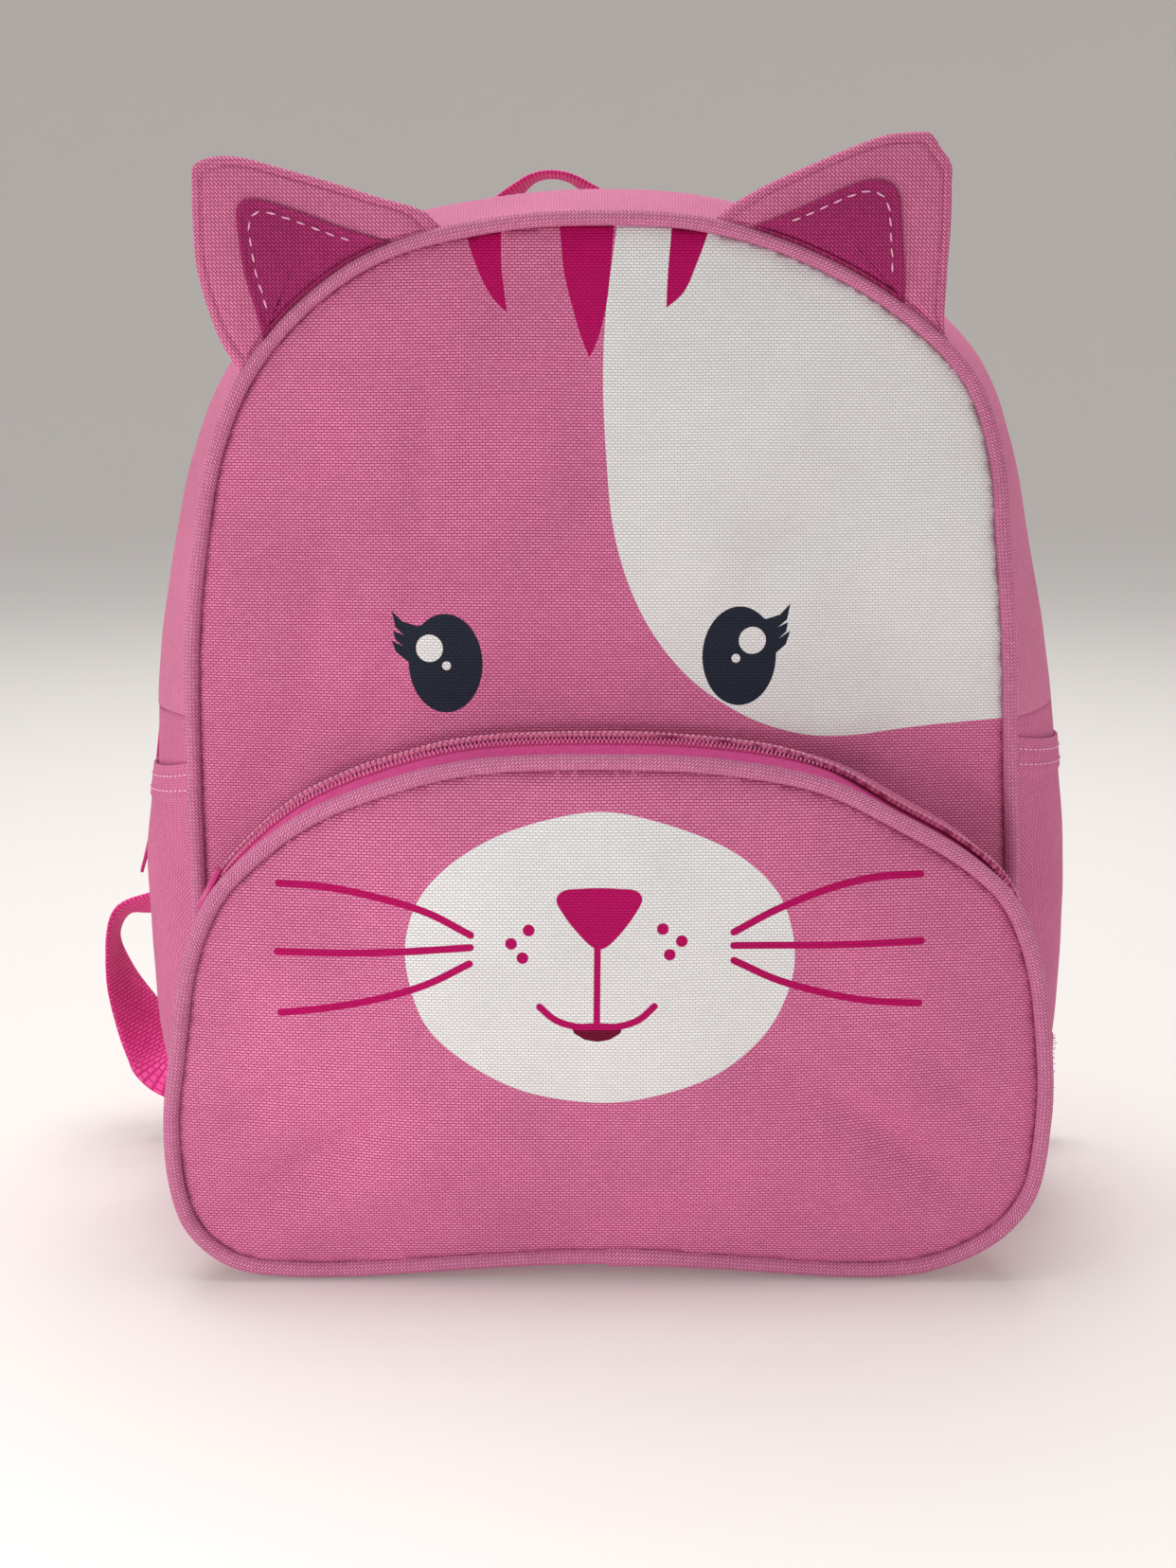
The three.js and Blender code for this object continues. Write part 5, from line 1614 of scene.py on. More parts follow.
@dataclass
class BodySides:
    """The main bag's gussets, its zip and its side pockets."""

    form: BagForm
    wardrobe: Wardrobe
    rows: RowMaker
    hem_dip: float = 6.5
    pocket_foot: float = 14.0
    pocket_hem: float = 11.0
    pocket_cloth: float = 1.0
    tape_tuck: float = 0.012
    tape_sink: float = 0.7
    tape_wall: float = 0.6
    stitch_inset: float = 0.035
    stitches: list = field(default_factory=list)
    pale_stitches: list = field(default_factory=list)

    POCKET_TOPS = {Side.LEFT: 150, Side.RIGHT: 158}

    def patch(self, rounds: np.ndarray, across: np.ndarray, lift: float = 0.0,
              wrinkle: float = 0.5, seed: float = 7.7) -> WallPatch:
        """Takes a patch of the main body's side surface.

        Args:
            rounds: Shares round the seam.
            across: Shares from the front seam to the back seam.
            lift: How far it stands off the surface.
            wrinkle: Depth of its wrinkles.
            seed: Moves its wrinkles.

        Returns:
            The patch.
        """
        return WallPatch(self.form.side, rounds, across, self.form.body.length,
                         self.form.s.side_span, even_lift(lift), wrinkle, seed)

    def path(self, rounds: np.ndarray, across: float, lift: float) -> tuple[np.ndarray, np.ndarray]:
        """A line on the side surface, with its outward directions.

        Args:
            rounds: Shares round the seam.
            across: Where it runs between front and back.
            lift: How far it stands off the surface.

        Returns:
            Its points and directions.
        """
        _, points, normals = self.patch(rounds, np.array([across, across + 0.004]),
                                        wrinkle=0).mesh()
        return points[:, 0] + normals[:, 0] * lift, normals[:, 0]

    def build(self) -> None:
        """Makes the gussets, the zip and both side pockets."""
        sizes, form, cloths = self.form.s, self.form, self.wardrobe
        zip_rounds = np.linspace(form.zip_right, form.zip_left, 230)
        low_rounds = np.linspace(form.zip_left, form.zip_right + 1, 250)
        front = np.linspace(-0.02, sizes.zip_front, 20)
        back = np.linspace(sizes.zip_back, 1.0, 18)
        full = np.linspace(-0.02, 1.0, 44)
        # The zip gussets on top use the pink cloth painted lighter for the light from above.
        for node, slot, cloth, rounds, across, seed in (
            ("zip_gusset_front", "cloth_pale_pink", cloths.pale_pink, zip_rounds, front, 1.3),
            ("zip_gusset_back", "cloth_pale_pink", cloths.pale_pink, zip_rounds, back, 2.9),
            ("side_gusset", "cloth_pink", cloths.pink, low_rounds, full, 4.4),
        ):
            patch = self.patch(rounds, across, seed=seed)
            patch.sew(node, "cloth", slot, cloth, sizes.cloth, outward_of_bag)
        tape = np.linspace(sizes.zip_front - self.tape_tuck, sizes.zip_back + self.tape_tuck, 9)
        sunk = self.patch(zip_rounds, tape, -self.tape_sink, 0)
        sunk.sew("main_zip", "tape", "zip_tape", cloths.zip_tape, self.tape_wall, outward_of_bag)
        middle = (sizes.zip_front + sizes.zip_back) / 2
        coil = self.rows.lay("main_zip_coil", [self.path(zip_rounds, middle, -0.1)], RowPlan(
            sizes.coil_pitch, sizes.coil_pitch * 0.86, sizes.coil_width, 1.9), cloths.coil)
        hand_over(coil, "zip_tape")
        for across in (sizes.zip_front - self.stitch_inset, sizes.zip_back + self.stitch_inset):
            self.stitches.append(self.path(zip_rounds, across, 0.1))
        for side, top in self.POCKET_TOPS.items():
            self.side_pocket(side, top)

    def side_pocket(self, side: Side, top: float) -> None:
        """Makes a patch pocket on one side, open at its hem.

        Args:
            side: Which side.
            top: Height of its hem.
        """
        form, foot, hem = self.form, self.pocket_foot, self.pocket_hem

        def share_at(height: float) -> float:
            """The share round the seam at a height on this side."""
            found = form.body.nearest(side.value * form.s.half_width, height)
            return found if side is Side.LEFT else found + 1

        heights = np.concatenate([
            np.linspace(top, top - 1.2, 4), np.linspace(top - 2, top - hem + 1, 6),
            np.linspace(top - hem, top - hem - 1.5, 3), np.linspace(top - hem - 3, foot, 52),
        ])
        rounds = np.array([share_at(height) for height in heights])
        across = np.linspace(0.012, 0.988, 40)

        def lift(shares: np.ndarray, place: np.ndarray) -> np.ndarray:
            """How far the pocket's cloth stands off the gusset.

            Args:
                shares: Shares round the seam.
                place: Shares from the front seam to the back seam.

            Returns:
                Lifts in millimetres.
            """
            level = form.body.at(shares)[0][..., 1]
            part = np.clip((level - foot) / (top - foot), 0, 1)
            belly = 0.7 + 1.9 * np.sin(math.pi * part) * np.sin(math.pi * place)
            mouth = 0.6 * smooth_step(level, top - hem - 1.2, top - hem)
            return belly + mouth * np.sin(math.pi * np.clip(place, 0, 1)) ** 0.15

        def slack(shares: np.ndarray, place: np.ndarray) -> np.ndarray:
            """The side surface, with the pocket's hem dipping between its seams.

            Args:
                shares: Shares round the seam.
                place: Shares from the front seam to the back seam.

            Returns:
                Points in millimetres.
            """
            level = form.body.at(shares)[0][..., 1]
            dip = self.hem_dip * smooth_step(level, top - 4 * hem, top)
            dip = dip * np.sin(math.pi * np.clip(place, 0, 1)) ** 0.8
            return form.side(shares - side.value * dip / form.body.length, place)

        patch = WallPatch(slack, rounds, across, form.body.length, form.s.side_span, lift, 0.5,
                          11.3 + side.value)
        points, normals = patch.sew(f"side_pocket_{side.word}", "cloth", "cloth_pink",
                                    self.wardrobe.pink, self.pocket_cloth, outward_of_bag)
        for drop in (3.0, 8.0):
            index = int(np.argmin(np.abs(heights - (top - drop))))
            line = points[index] + normals[index] * 0.15
            self.pale_stitches.append((line[1:-1], normals[index][1:-1]))


@dataclass
class FrontPocket:
    """The front pocket's side, its zip and the fold of cloth over it."""

    form: BagForm
    wardrobe: Wardrobe
    rows: RowMaker
    tooth_pitch: float = 1.25
    tooth_width: float = 1.7
    tooth_height: float = 1.1
    base_sag: float = 4.2
    wrinkle: float = 0.35
    tape_sink: float = 0.4
    tape_wall: float = 0.8

    TOOTH_ROWS = (0.4, 0.49)

    def build(self) -> None:
        """Makes the pocket's side, zip, coil and fold."""
        form, sizes, cloths = self.form, self.form.s, self.wardrobe
        left, right = form.pocket_zip_left, form.pocket_zip_right
        length, span, flat = form.pocket.length, sizes.pocket_span, even_lift(0.0)
        low = np.linspace(left, right + 1, 300)
        across = np.concatenate([np.linspace(-0.08, 0.2, 9), np.linspace(0.27, 1, 12)])
        side = WallPatch(self.slack_side, low, across, length, span, flat, self.wrinkle)
        side.sew("pocket_gusset", "cloth", "cloth_pink", cloths.pink, sizes.cloth,
                 outward_of_pocket)
        high = np.linspace(right, left, 220)
        tape = WallPatch(form.pocket_side, high, np.linspace(-0.08, 0.72, 12), length, span,
                         even_lift(-self.tape_sink), 0)
        tape.sew("pocket_zip", "tape", "zip_tape", cloths.zip_tape, self.tape_wall,
                 outward_of_pocket)
        paths = []
        for place in self.TOOTH_ROWS:
            rail = WallPatch(form.pocket_side, high, np.array([place, place + 0.01]), length, span,
                             flat, 0)
            _, points, normals = rail.mesh()
            paths.append((points[:, 0] + normals[:, 0] * 0.25, normals[:, 0]))
        coil = self.rows.lay("pocket_zip_coil", paths, RowPlan(
            self.tooth_pitch, self.tooth_pitch * 0.66, self.tooth_width, self.tooth_height),
            cloths.coil)
        hand_over(coil, "zip_tape")
        self.fold(high)

    def slack_side(self, rounds: np.ndarray, across: np.ndarray) -> np.ndarray:
        """The pocket's side, with its base sagging to the floor behind the piping.

        Args:
            rounds: Shares round the pocket's seam.
            across: 0 at the pocket's piping, 1 where it meets the main body.

        Returns:
            Points in millimetres.
        """
        points = self.form.pocket_side(rounds, across)
        middle = np.exp(-((points[..., 0] / 62) ** 2))
        low = 1 - smooth_step(points[..., 2], 4, 16)
        sag = self.base_sag * middle * low * smooth_step(across, -0.06, 0.07)
        points[..., 2] = np.maximum(points[..., 2] - sag, self.form.s.floor_gap)
        return points

    def fold(self, rounds: np.ndarray) -> None:
        """Makes the fold of cloth that lies over the zip.

        Args:
            rounds: Shares round the pocket's seam, from the right end to the left.
        """
        form = self.form
        share = (rounds - rounds[0]) / (rounds[-1] - rounds[0])
        edge = np.interp(share, [0, 0.08, 0.16, 0.22, 0.28, 0.34, 0.44, 1],
                         [0.5, 0.3, 0.24, 0.28, 0.44, 0.55, 0.6, 0.62])
        window = np.hanning(21) / np.hanning(21).sum()
        edge = np.convolve(np.pad(edge, 10, mode="edge"), window, mode="valid")
        parts = np.linspace(0, 1, 10)
        across = edge[:, None] + (1 - edge[:, None]) * parts[None, :]
        grid = np.broadcast_to(rounds[:, None], across.shape)
        points = form.pocket_side(grid, across)
        step = 2e-3
        along = form.pocket_side(grid + step, across) - form.pocket_side(grid - step, across)
        over = form.pocket_side(grid, across + step) - form.pocket_side(grid, across - step)
        normal = unit(np.cross(over, along))
        wide = (0.72 - edge)[:, None] / 0.45
        lift = (0.8 + 0.5 * np.clip(wide, 0, 1)) * (1 - smooth_step(across, 0.66, 0.9))
        lift = lift + 0.3 * cloth_noise(points, 14, 3.3) + 0.5 * (1 - parts) ** 4
        points = points + normal * lift[..., None]
        weave = np.stack([grid * form.pocket.length, across * form.s.pocket_span], axis=-1)
        piece = make_piece("pocket_zip_fold_cloth", grid_shell(points, weave),
                           [self.wardrobe.pink], outward_of_pocket)
        give_wall(piece, form.s.cloth)
        hand_over(piece, "cloth_pale_pink", "pocket_zip_fold")
        rim, out = points[2:-2, 0], normal[2:-2, 0]
        self.rows.sew("pocket_zip_fold_rim", "cloth_pale_pink", [(rim + out * 0.1, out)],
                      Stitch.POCKET_FOLD, self.wardrobe.thread)


@dataclass(frozen=True)
class EarMark:
    """A point of an ear: a share along its base's chord and a share of the ear's height."""

    along: float
    out: float


@dataclass(frozen=True)
class EarPlan:
    """Where an ear's base lies on the main seam, its outline and its patch's outline."""

    root: tuple[float, float]
    end: tuple[float, float]
    outline: tuple[EarMark, ...]
    inner: tuple[EarMark, ...]


EAR_PLANS = {
    Side.LEFT: EarPlan((-0.86, 0.86), (-0.368, 0.985), (
        EarMark(0.002, 0.156), EarMark(0.03, 0.328), EarMark(0.101, 0.575),
        EarMark(0.203, 0.791), EarMark(0.273, 0.92), EarMark(0.31, 0.985), EarMark(0.33, 1),
        EarMark(0.399, 0.98), EarMark(0.491, 0.898), EarMark(0.6, 0.735),
        EarMark(0.737, 0.52), EarMark(0.858, 0.317), EarMark(0.975, 0.125),
    ), (
        EarMark(0.15, 0.05), EarMark(0.198, 0.214), EarMark(0.248, 0.4), EarMark(0.309, 0.556),
        EarMark(0.352, 0.654), EarMark(0.386, 0.698), EarMark(0.428, 0.692),
        EarMark(0.476, 0.639), EarMark(0.579, 0.465), EarMark(0.669, 0.297),
        EarMark(0.79, 0.1),
    )),
    Side.RIGHT: EarPlan((0.82, 0.882), (0.262, 0.992), (
        EarMark(0.045, 0.05), EarMark(0.129, 0.286), EarMark(0.223, 0.574),
        EarMark(0.276, 0.715), EarMark(0.315, 0.81), EarMark(0.375, 0.855),
        EarMark(0.43, 0.896), EarMark(0.445, 0.896), EarMark(0.488, 0.865),
        EarMark(0.585, 0.774), EarMark(0.766, 0.49), EarMark(0.91, 0.235),
        EarMark(0.975, 0.09),
    ), (
        EarMark(0.23, 0.06), EarMark(0.284, 0.207), EarMark(0.344, 0.343),
        EarMark(0.392, 0.451), EarMark(0.429, 0.53), EarMark(0.471, 0.569),
        EarMark(0.522, 0.565), EarMark(0.572, 0.525), EarMark(0.671, 0.373),
        EarMark(0.766, 0.208), EarMark(0.86, 0.06),
    )),
}


@dataclass
class Ear:
    """A turned cloth ear with a sewn patch inside it."""

    form: BagForm
    wardrobe: Wardrobe
    rows: RowMaker
    side: Side
    height: float = 54.5
    thickness: float = 6.4
    edge: float = 2.6
    setback: float = 0.4
    patch_lift: float = 0.9
    hem: float = 3.2
    groove: float = 0.75
    roll: float = 1.3
    reach: float = 30
    patch_reach: float = 16
    patch_rim: float = 0.5
    dash_share: float = 0.78
    fill: float = 0.25
    corner_step: float = 1.1

    def outlines(self) -> tuple[np.ndarray, np.ndarray]:
        """Draws the ear's outline and its patch's outline, in the XZ plane.

        Returns:
            The ear's corners and the patch's corners.
        """
        plan, form = EAR_PLANS[self.side], self.form
        level, half = form.body.level, form.s.half_width
        ends = [form.body.nearest(x * half, level(z)) for x, z in (plan.root, plan.end)]
        points, normals = form.body.at(np.array(ends))
        seat = points + normals * (form.s.body_piping / 2 - 0.4)
        chord = seat[1] - seat[0]
        turn = 1 if self.side is Side.LEFT else -1
        outward = unit(np.array([-chord[1], chord[0]]) * turn)

        def place(mark: EarMark) -> np.ndarray:
            """Where a mark lies, in millimetres."""
            return seat[0] + chord * mark.along + outward * mark.out * self.height

        tip = smooth_curve([seat[0], *map(place, plan.outline), seat[1]])
        base = form.body.at(np.linspace(ends[1], ends[0], 40)[1:-1])
        base = base[0] + base[1] * (form.s.body_piping / 2 - 0.4)
        outline = spaced(np.vstack([tip, base]), self.corner_step, closed=True)
        inner = smooth_curve(list(map(place, plan.inner)))
        first, last = (ends[0] + (ends[1] - ends[0]) * plan.inner[k].along for k in (0, -1))
        foot = form.body.at(np.linspace(last, first, 16))
        foot = foot[0] + foot[1] * (form.s.body_piping / 2 - 0.2)
        return outline, spaced(np.vstack([inner, foot]), self.corner_step, closed=True)

    def pillow(self, outline: np.ndarray, front: Surface, back: Surface) -> Shell:
        """Closes two faces over one outline.

        Args:
            outline: Corners in the XZ plane.
            front: Gives Y of the front face from points and their shares of the way out.
            back: Gives Y of the back face.

        Returns:
            The closed shell.
        """
        middle = outline.mean(axis=0)
        shares = np.concatenate([[1, 0.985, 0.965, 0.945, 0.925, 0.91, 0.895, 0.88, 0.865, 0.85],
                                 np.linspace(0.8, 0.06, 15)])
        rings = middle + (outline - middle)[None] * shares[:, None, None]
        count = len(outline)
        points, faces, weave = [], [], []
        for face in (front, back):
            share = np.broadcast_to(shares[:, None], rings.shape[:2])
            y = face(rings, share)
            sheet = np.stack([rings[..., 0], y, rings[..., 1]], axis=-1)
            start = len(points)
            points.extend(sheet.reshape(-1, 3))
            tip = start + len(shares) * count
            points.append(sheet[-1].mean(axis=0))
            for ring in range(len(shares) - 1):
                for i in range(count):
                    k = (i + 1) % count
                    faces.append((start + ring * count + i, start + ring * count + k,
                                  start + (ring + 1) * count + k, start + (ring + 1) * count + i))
            faces.extend((start + (len(shares) - 1) * count + i,
                          start + (len(shares) - 1) * count + (i + 1) % count, tip)
                         for i in range(count))
        half = len(shares) * count + 1
        faces.extend((i, half + i, half + (i + 1) % count, (i + 1) % count) for i in range(count))
        table = np.array(points)
        weave = [[(table[i][0], table[i][2]) for i in face] for face in faces]
        return Shell(table, faces, weave)

    def half_thickness(self, share: np.ndarray, rings: np.ndarray) -> np.ndarray:
        """Half the ear's thickness: a rolled edge, a sewn groove, then a soft belly.

        Args:
            share: Shares of the way from the middle out to the outline.
            rings: The XZ points at those shares.

        Returns:
            Half thicknesses in millimetres.
        """
        inset = (1 - share) * self.reach
        rolled = self.edge / 2 * np.sqrt(np.clip(inset / self.roll, 0.04, 1))
        groove = self.groove * np.exp(-(((inset - self.hem) / 0.7) ** 2))
        belly = (self.thickness - self.edge) / 2 * (1 - share**2)
        spots = np.stack([rings[..., 0], np.zeros(rings.shape[:-1]), rings[..., 1]], axis=-1)
        soft = 0.5 * cloth_noise(spots, 19, 6.1) * (1 - share**4)
        return rolled - groove + belly + soft

    def build(self) -> None:
        """Makes the ear, its patch and the patch's dashes."""
        plane, word = self.form.s.front_y + self.setback, self.side.word
        outline, inner = self.outlines()

        def front(rings: np.ndarray, share: np.ndarray) -> np.ndarray:
            """Y of the ear's front face."""
            return plane - self.half_thickness(share, rings)

        def back(rings: np.ndarray, share: np.ndarray) -> np.ndarray:
            """Y of the ear's back face."""
            return plane + self.half_thickness(share, rings)

        ear = make_piece(f"ear_{word}_cloth", self.pillow(outline, front, back),
                         [self.wardrobe.bias_pink])
        close_outward(ear)
        hand_over(ear, "cloth_pink", f"ear_{word}")
        middle = outline.mean(axis=0)
        shape = outline - middle
        angles = np.arctan2(shape[:, 1], shape[:, 0])
        order = np.argsort(angles)
        radii = np.hypot(shape[:, 0], shape[:, 1])[order]

        def face_y(places: np.ndarray) -> np.ndarray:
            """Y of the ear's front face at any XZ points.

            Args:
                places: The points.

            Returns:
                Depths in millimetres.
            """
            offset = places - middle
            edge = np.interp(np.arctan2(offset[..., 1], offset[..., 0]), angles[order], radii,
                             period=2 * math.pi)
            share = np.clip(np.hypot(offset[..., 0], offset[..., 1]) / edge, 0, 1)
            return front(places, share)

        def patch_front(rings: np.ndarray, share: np.ndarray) -> np.ndarray:
            """Y of the patch's front face, whose turned rim stands proud.

            Args:
                rings: The XZ points.
                share: Their shares of the way out to the patch's outline.

            Returns:
                Depths in millimetres.
            """
            inset = (1 - share) * self.patch_reach
            rim = self.patch_rim * np.exp(-(((inset - 0.9) / 0.9) ** 2))
            return face_y(rings) - self.patch_lift - rim * np.sqrt(np.clip(inset / 0.5, 0.05, 1))

        def patch_back(rings: np.ndarray, share: np.ndarray) -> np.ndarray:
            """Y of the patch's back face, just under the ear's front face."""
            return face_y(rings) + 0.2

        patch = make_piece(f"inner_ear_{word}_cloth", self.pillow(inner, patch_front, patch_back),
                           [self.wardrobe.inner_ear])
        close_outward(patch)
        hand_over(patch, "inner_ear_cloth", f"inner_ear_{word}")
        centre = inner.mean(axis=0)
        dash_line = smooth_curve([
            centre + (corner - centre) * self.dash_share for corner in inner[::6]
        ], closed=True)
        upper = dash_line[self.above_base(dash_line)]
        depth = face_y(upper) - self.patch_lift - 0.12
        points = np.stack([upper[:, 0], depth, upper[:, 1]], axis=1)
        self.rows.sew(f"inner_ear_{word}_dashes", "inner_ear_cloth",
                      [(points, towards(0, -1, 0, len(points)))], Stitch.EAR_PATCH,
                      self.wardrobe.pale_thread)

    def above_base(self, line: np.ndarray) -> np.ndarray:
        """Says which points of a line stand well clear of the ear's base."""
        return self.form.body.radial(line[:, 0], line[:, 1]) > 1.05


# Padding


@dataclass(frozen=True)
class Inflation:
    """How a sewn pad's filling pushes its cloth out, run as a cloth simulation."""

    pressure: float = 4.0
    steps: int = 20
    cap: float = 3.0
    stiffness: float = 18.0

    def swell(self, piece: bpy.types.Object, pins: np.ndarray) -> None:
        """Blows up a piece, holding its sewn points, and keeps the result as its mesh.

        Args:
            piece: An evenly meshed piece whose faces look outwards.
            pins: For each point, 1 where it is sewn down and 0 where it is free.
        """
        count = len(piece.data.vertices)
        start = np.zeros(count * 3)
        piece.data.vertices.foreach_get("co", start)
        held = piece.vertex_groups.new(name="sewn")
        for index in np.nonzero(pins > 0.01)[0]:
            held.add([int(index)], float(pins[index]), "REPLACE")
        cloth = piece.modifiers.new("filling", "CLOTH")
        rules = cloth.settings
        rules.use_pressure = True
        rules.uniform_pressure_force = self.pressure
        rules.effector_weights.gravity = 0
        rules.vertex_group_mass = "sewn"
        rules.tension_stiffness = self.stiffness
        rules.compression_stiffness = self.stiffness
        cloth.point_cache.frame_start = 1
        cloth.point_cache.frame_end = self.steps
        for step in range(1, self.steps + 1):
            bpy.context.scene.frame_set(step)
        shaped = piece.evaluated_get(bpy.context.evaluated_depsgraph_get())
        end = np.zeros(count * 3)
        shaped.data.vertices.foreach_get("co", end)
        piece.modifiers.clear()
        piece.vertex_groups.clear()
        move = np.nan_to_num((end - start).reshape(-1, 3))
        far = np.maximum(np.linalg.norm(move, axis=1, keepdims=True) / (self.cap * MM), 1e-9)
        move = move / far * np.tanh(far)
        piece.data.vertices.foreach_set("co", start + move.ravel())
        piece.data.update()
        bpy.context.scene.frame_set(1)


def rounded_off(piece: bpy.types.Object, levels: int = 1) -> None:
    """Adds a subdivision surface, the same in the viewport and in renders.

    Args:
        piece: The piece.
        levels: How often its faces are divided.
    """
    smooth = piece.modifiers.new("soft", "SUBSURF")
    smooth.levels = levels
    smooth.render_levels = levels


def laid_on(piece: bpy.types.Object, points: np.ndarray, outs: np.ndarray,
            lift: float = 0.1) -> np.ndarray:
    """Drops points onto a piece's surface, from outside.

    Args:
        piece: The piece that is sewn through.
        points: Points near its surface, in millimetres.
        outs: Outward directions there.
        lift: How far the points end above the surface.

    Returns:
        The points on the surface. One that misses the piece stays as it was.
    """
    tree = BVHTree.FromObject(piece, bpy.context.evaluated_depsgraph_get())
    result = np.array(points, float)
    for index, (point, out) in enumerate(zip(points, unit(outs))):
        hit = tree.ray_cast(Vector((point + out * 12) * MM), Vector(-out), 30 * MM)[0]
        if hit is not None:
            result[index] = np.array(hit) / MM + out * lift
    return result


class BackPanel(PrintedPanel):
    """The padded back: spacer mesh over foam, sewn down along channels."""

    CHANNELS = (
        [(-34, 42), (-36, 90), (-36, 150), (-33, 205), (-30, 250)],
        [(34, 42), (36, 90), (36, 150), (33, 205), (30, 250)],
        [(-96, 258), (-60, 255), (0, 254), (60, 255), (96, 258)],
        [(-112, 40), (-60, 36), (0, 35), (60, 36), (112, 40)],
    )
    CHANNEL_WIDTH, CHANNEL_HOLD, CHANNEL_DEPTH, CHANNEL_REACH = 1.6, 2.2, 1.3, 3.2
    EDGE_DROP, WALL, SWELL, FILL = 3.4, 3.6, 3.4, 0.55

    def depth(self, x: np.ndarray, z: np.ndarray) -> np.ndarray:
        """How far the outer face stands behind the back seam's plane.

        Args:
            x: Across places.
            z: Heights.

        Returns:
            Depths in millimetres, negative behind the seam.
        """
        share = np.minimum(self.seam.radial(x, z), 1)
        dome = SIZES.back_pad + self.crown * (1 - share**2.6)
        return -(dome - self.EDGE_DROP * smooth_step(share, 0.965, 1.0))

    def build(self, wardrobe: Wardrobe, rows: RowMaker) -> None:
        """Makes, fills and stitches the back.

        Args:
            wardrobe: The bag's finishes.
            rows: Lays the stitches.
        """
        lines = [spaced(smooth_curve(line), 3.0) for line in self.CHANNELS]
        self.shapes = [PrintShape(stroke(line, self.CHANNEL_WIDTH), 0) for line in self.CHANNELS]
        shell = self.mesh()
        piece = make_piece(self.name, shell, [wardrobe.mesh_pad], towards_back)
        x, z = shell.points[:, 0], shell.points[:, 2]
        pins = (self.seam.radial(x, z) > 0.955).astype(float)
        for line in lines:
            gap = np.hypot(x[:, None] - line[:, 0], z[:, None] - line[:, 1]).min(axis=1)
            pins[gap < self.CHANNEL_HOLD] = 1.0
            shell.points[:, 1] -= self.CHANNEL_DEPTH * np.exp(-((gap / self.CHANNEL_REACH) ** 2))
        piece.data.vertices.foreach_set("co", (shell.points * MM).ravel())
        Inflation(cap=self.SWELL).swell(piece, pins)
        give_wall(piece, self.WALL)
        apply_modifiers(piece)
        rounded_off(piece)
        hand_over(piece, "back_pad", self.node)
        paths = []
        for line in lines:
            out = towards(0, 1, 0, len(line))
            points = np.stack([line[:, 0], np.full(len(line), 55.0), line[:, 1]], axis=1)
            paths.append((laid_on(piece, points, out), out))
        rows.sew("back_panel_stitches", "back_pad", paths, Stitch.BACK_CHANNEL, wardrobe.thread)


@dataclass(frozen=True)
class WebRow:
    """A place on a strip of webbing and the direction of its width."""

    x: float
    height: float
    back: float
    wx: float
    wy: float
    wz: float


STRAP_LINE = (
    (0.26, 0.932, 0, 0.8), (0.29, 0.88, 0.045, 0.9), (0.34, 0.8, 0.15, 1),
    (0.42, 0.68, 0.25, 1), (0.52, 0.56, 0.26, 0.96), (0.62, 0.46, 0.22, 0.84),
    (0.69, 0.4, 0.17, 0.66),
)
WEBBING_LINES = {
    Side.LEFT: (
        WebRow(0.86, 0.298, 0.2, 0.75, 0, 0.66), WebRow(0.98, 0.278, 0.19, 0.4, -0.35, 0.85),
        WebRow(1.13, 0.266, 0.18, 0.15, -0.7, 0.68), WebRow(1.26, 0.258, 0.17, 0.05, -0.87, 0.5),
        WebRow(1.365, 0.247, 0.165, -0.05, -0.94, 0.35),
        WebRow(1.4, 0.218, 0.16, -0.05, -0.97, 0.2), WebRow(1.385, 0.175, 0.155, 0.12, -0.98, -0.1),
        WebRow(1.34, 0.132, 0.145, 0.3, -0.9, -0.3), WebRow(1.275, 0.092, 0.12, 0.35, -0.6, -0.7),
        WebRow(1.235, 0.072, 0.09, 0.12, -0.2, -0.97),
    ),
    Side.RIGHT: (
        WebRow(0.86, 0.29, 0.2, 0.85, 0, 0.5), WebRow(0.97, 0.22, 0.175, 0.85, 0, 0.5),
        WebRow(1.07, 0.155, 0.1, 0.88, 0, 0.45),
    ),
}


@dataclass(frozen=True)
class TabPlan:
    """How a corner tab shows and how its webbing comes to it."""

    reach: float
    turn: float
    sewn: float
    from_along: float
    from_up: float
    wx: float
    wz: float


TABS = {
    Side.LEFT: TabPlan(0.68, 0.02, 0.36, 14, 0, 0, -1),
    Side.RIGHT: TabPlan(0.94, 0.02, 0.5, -5, 12, 0.9, 0.42),
}


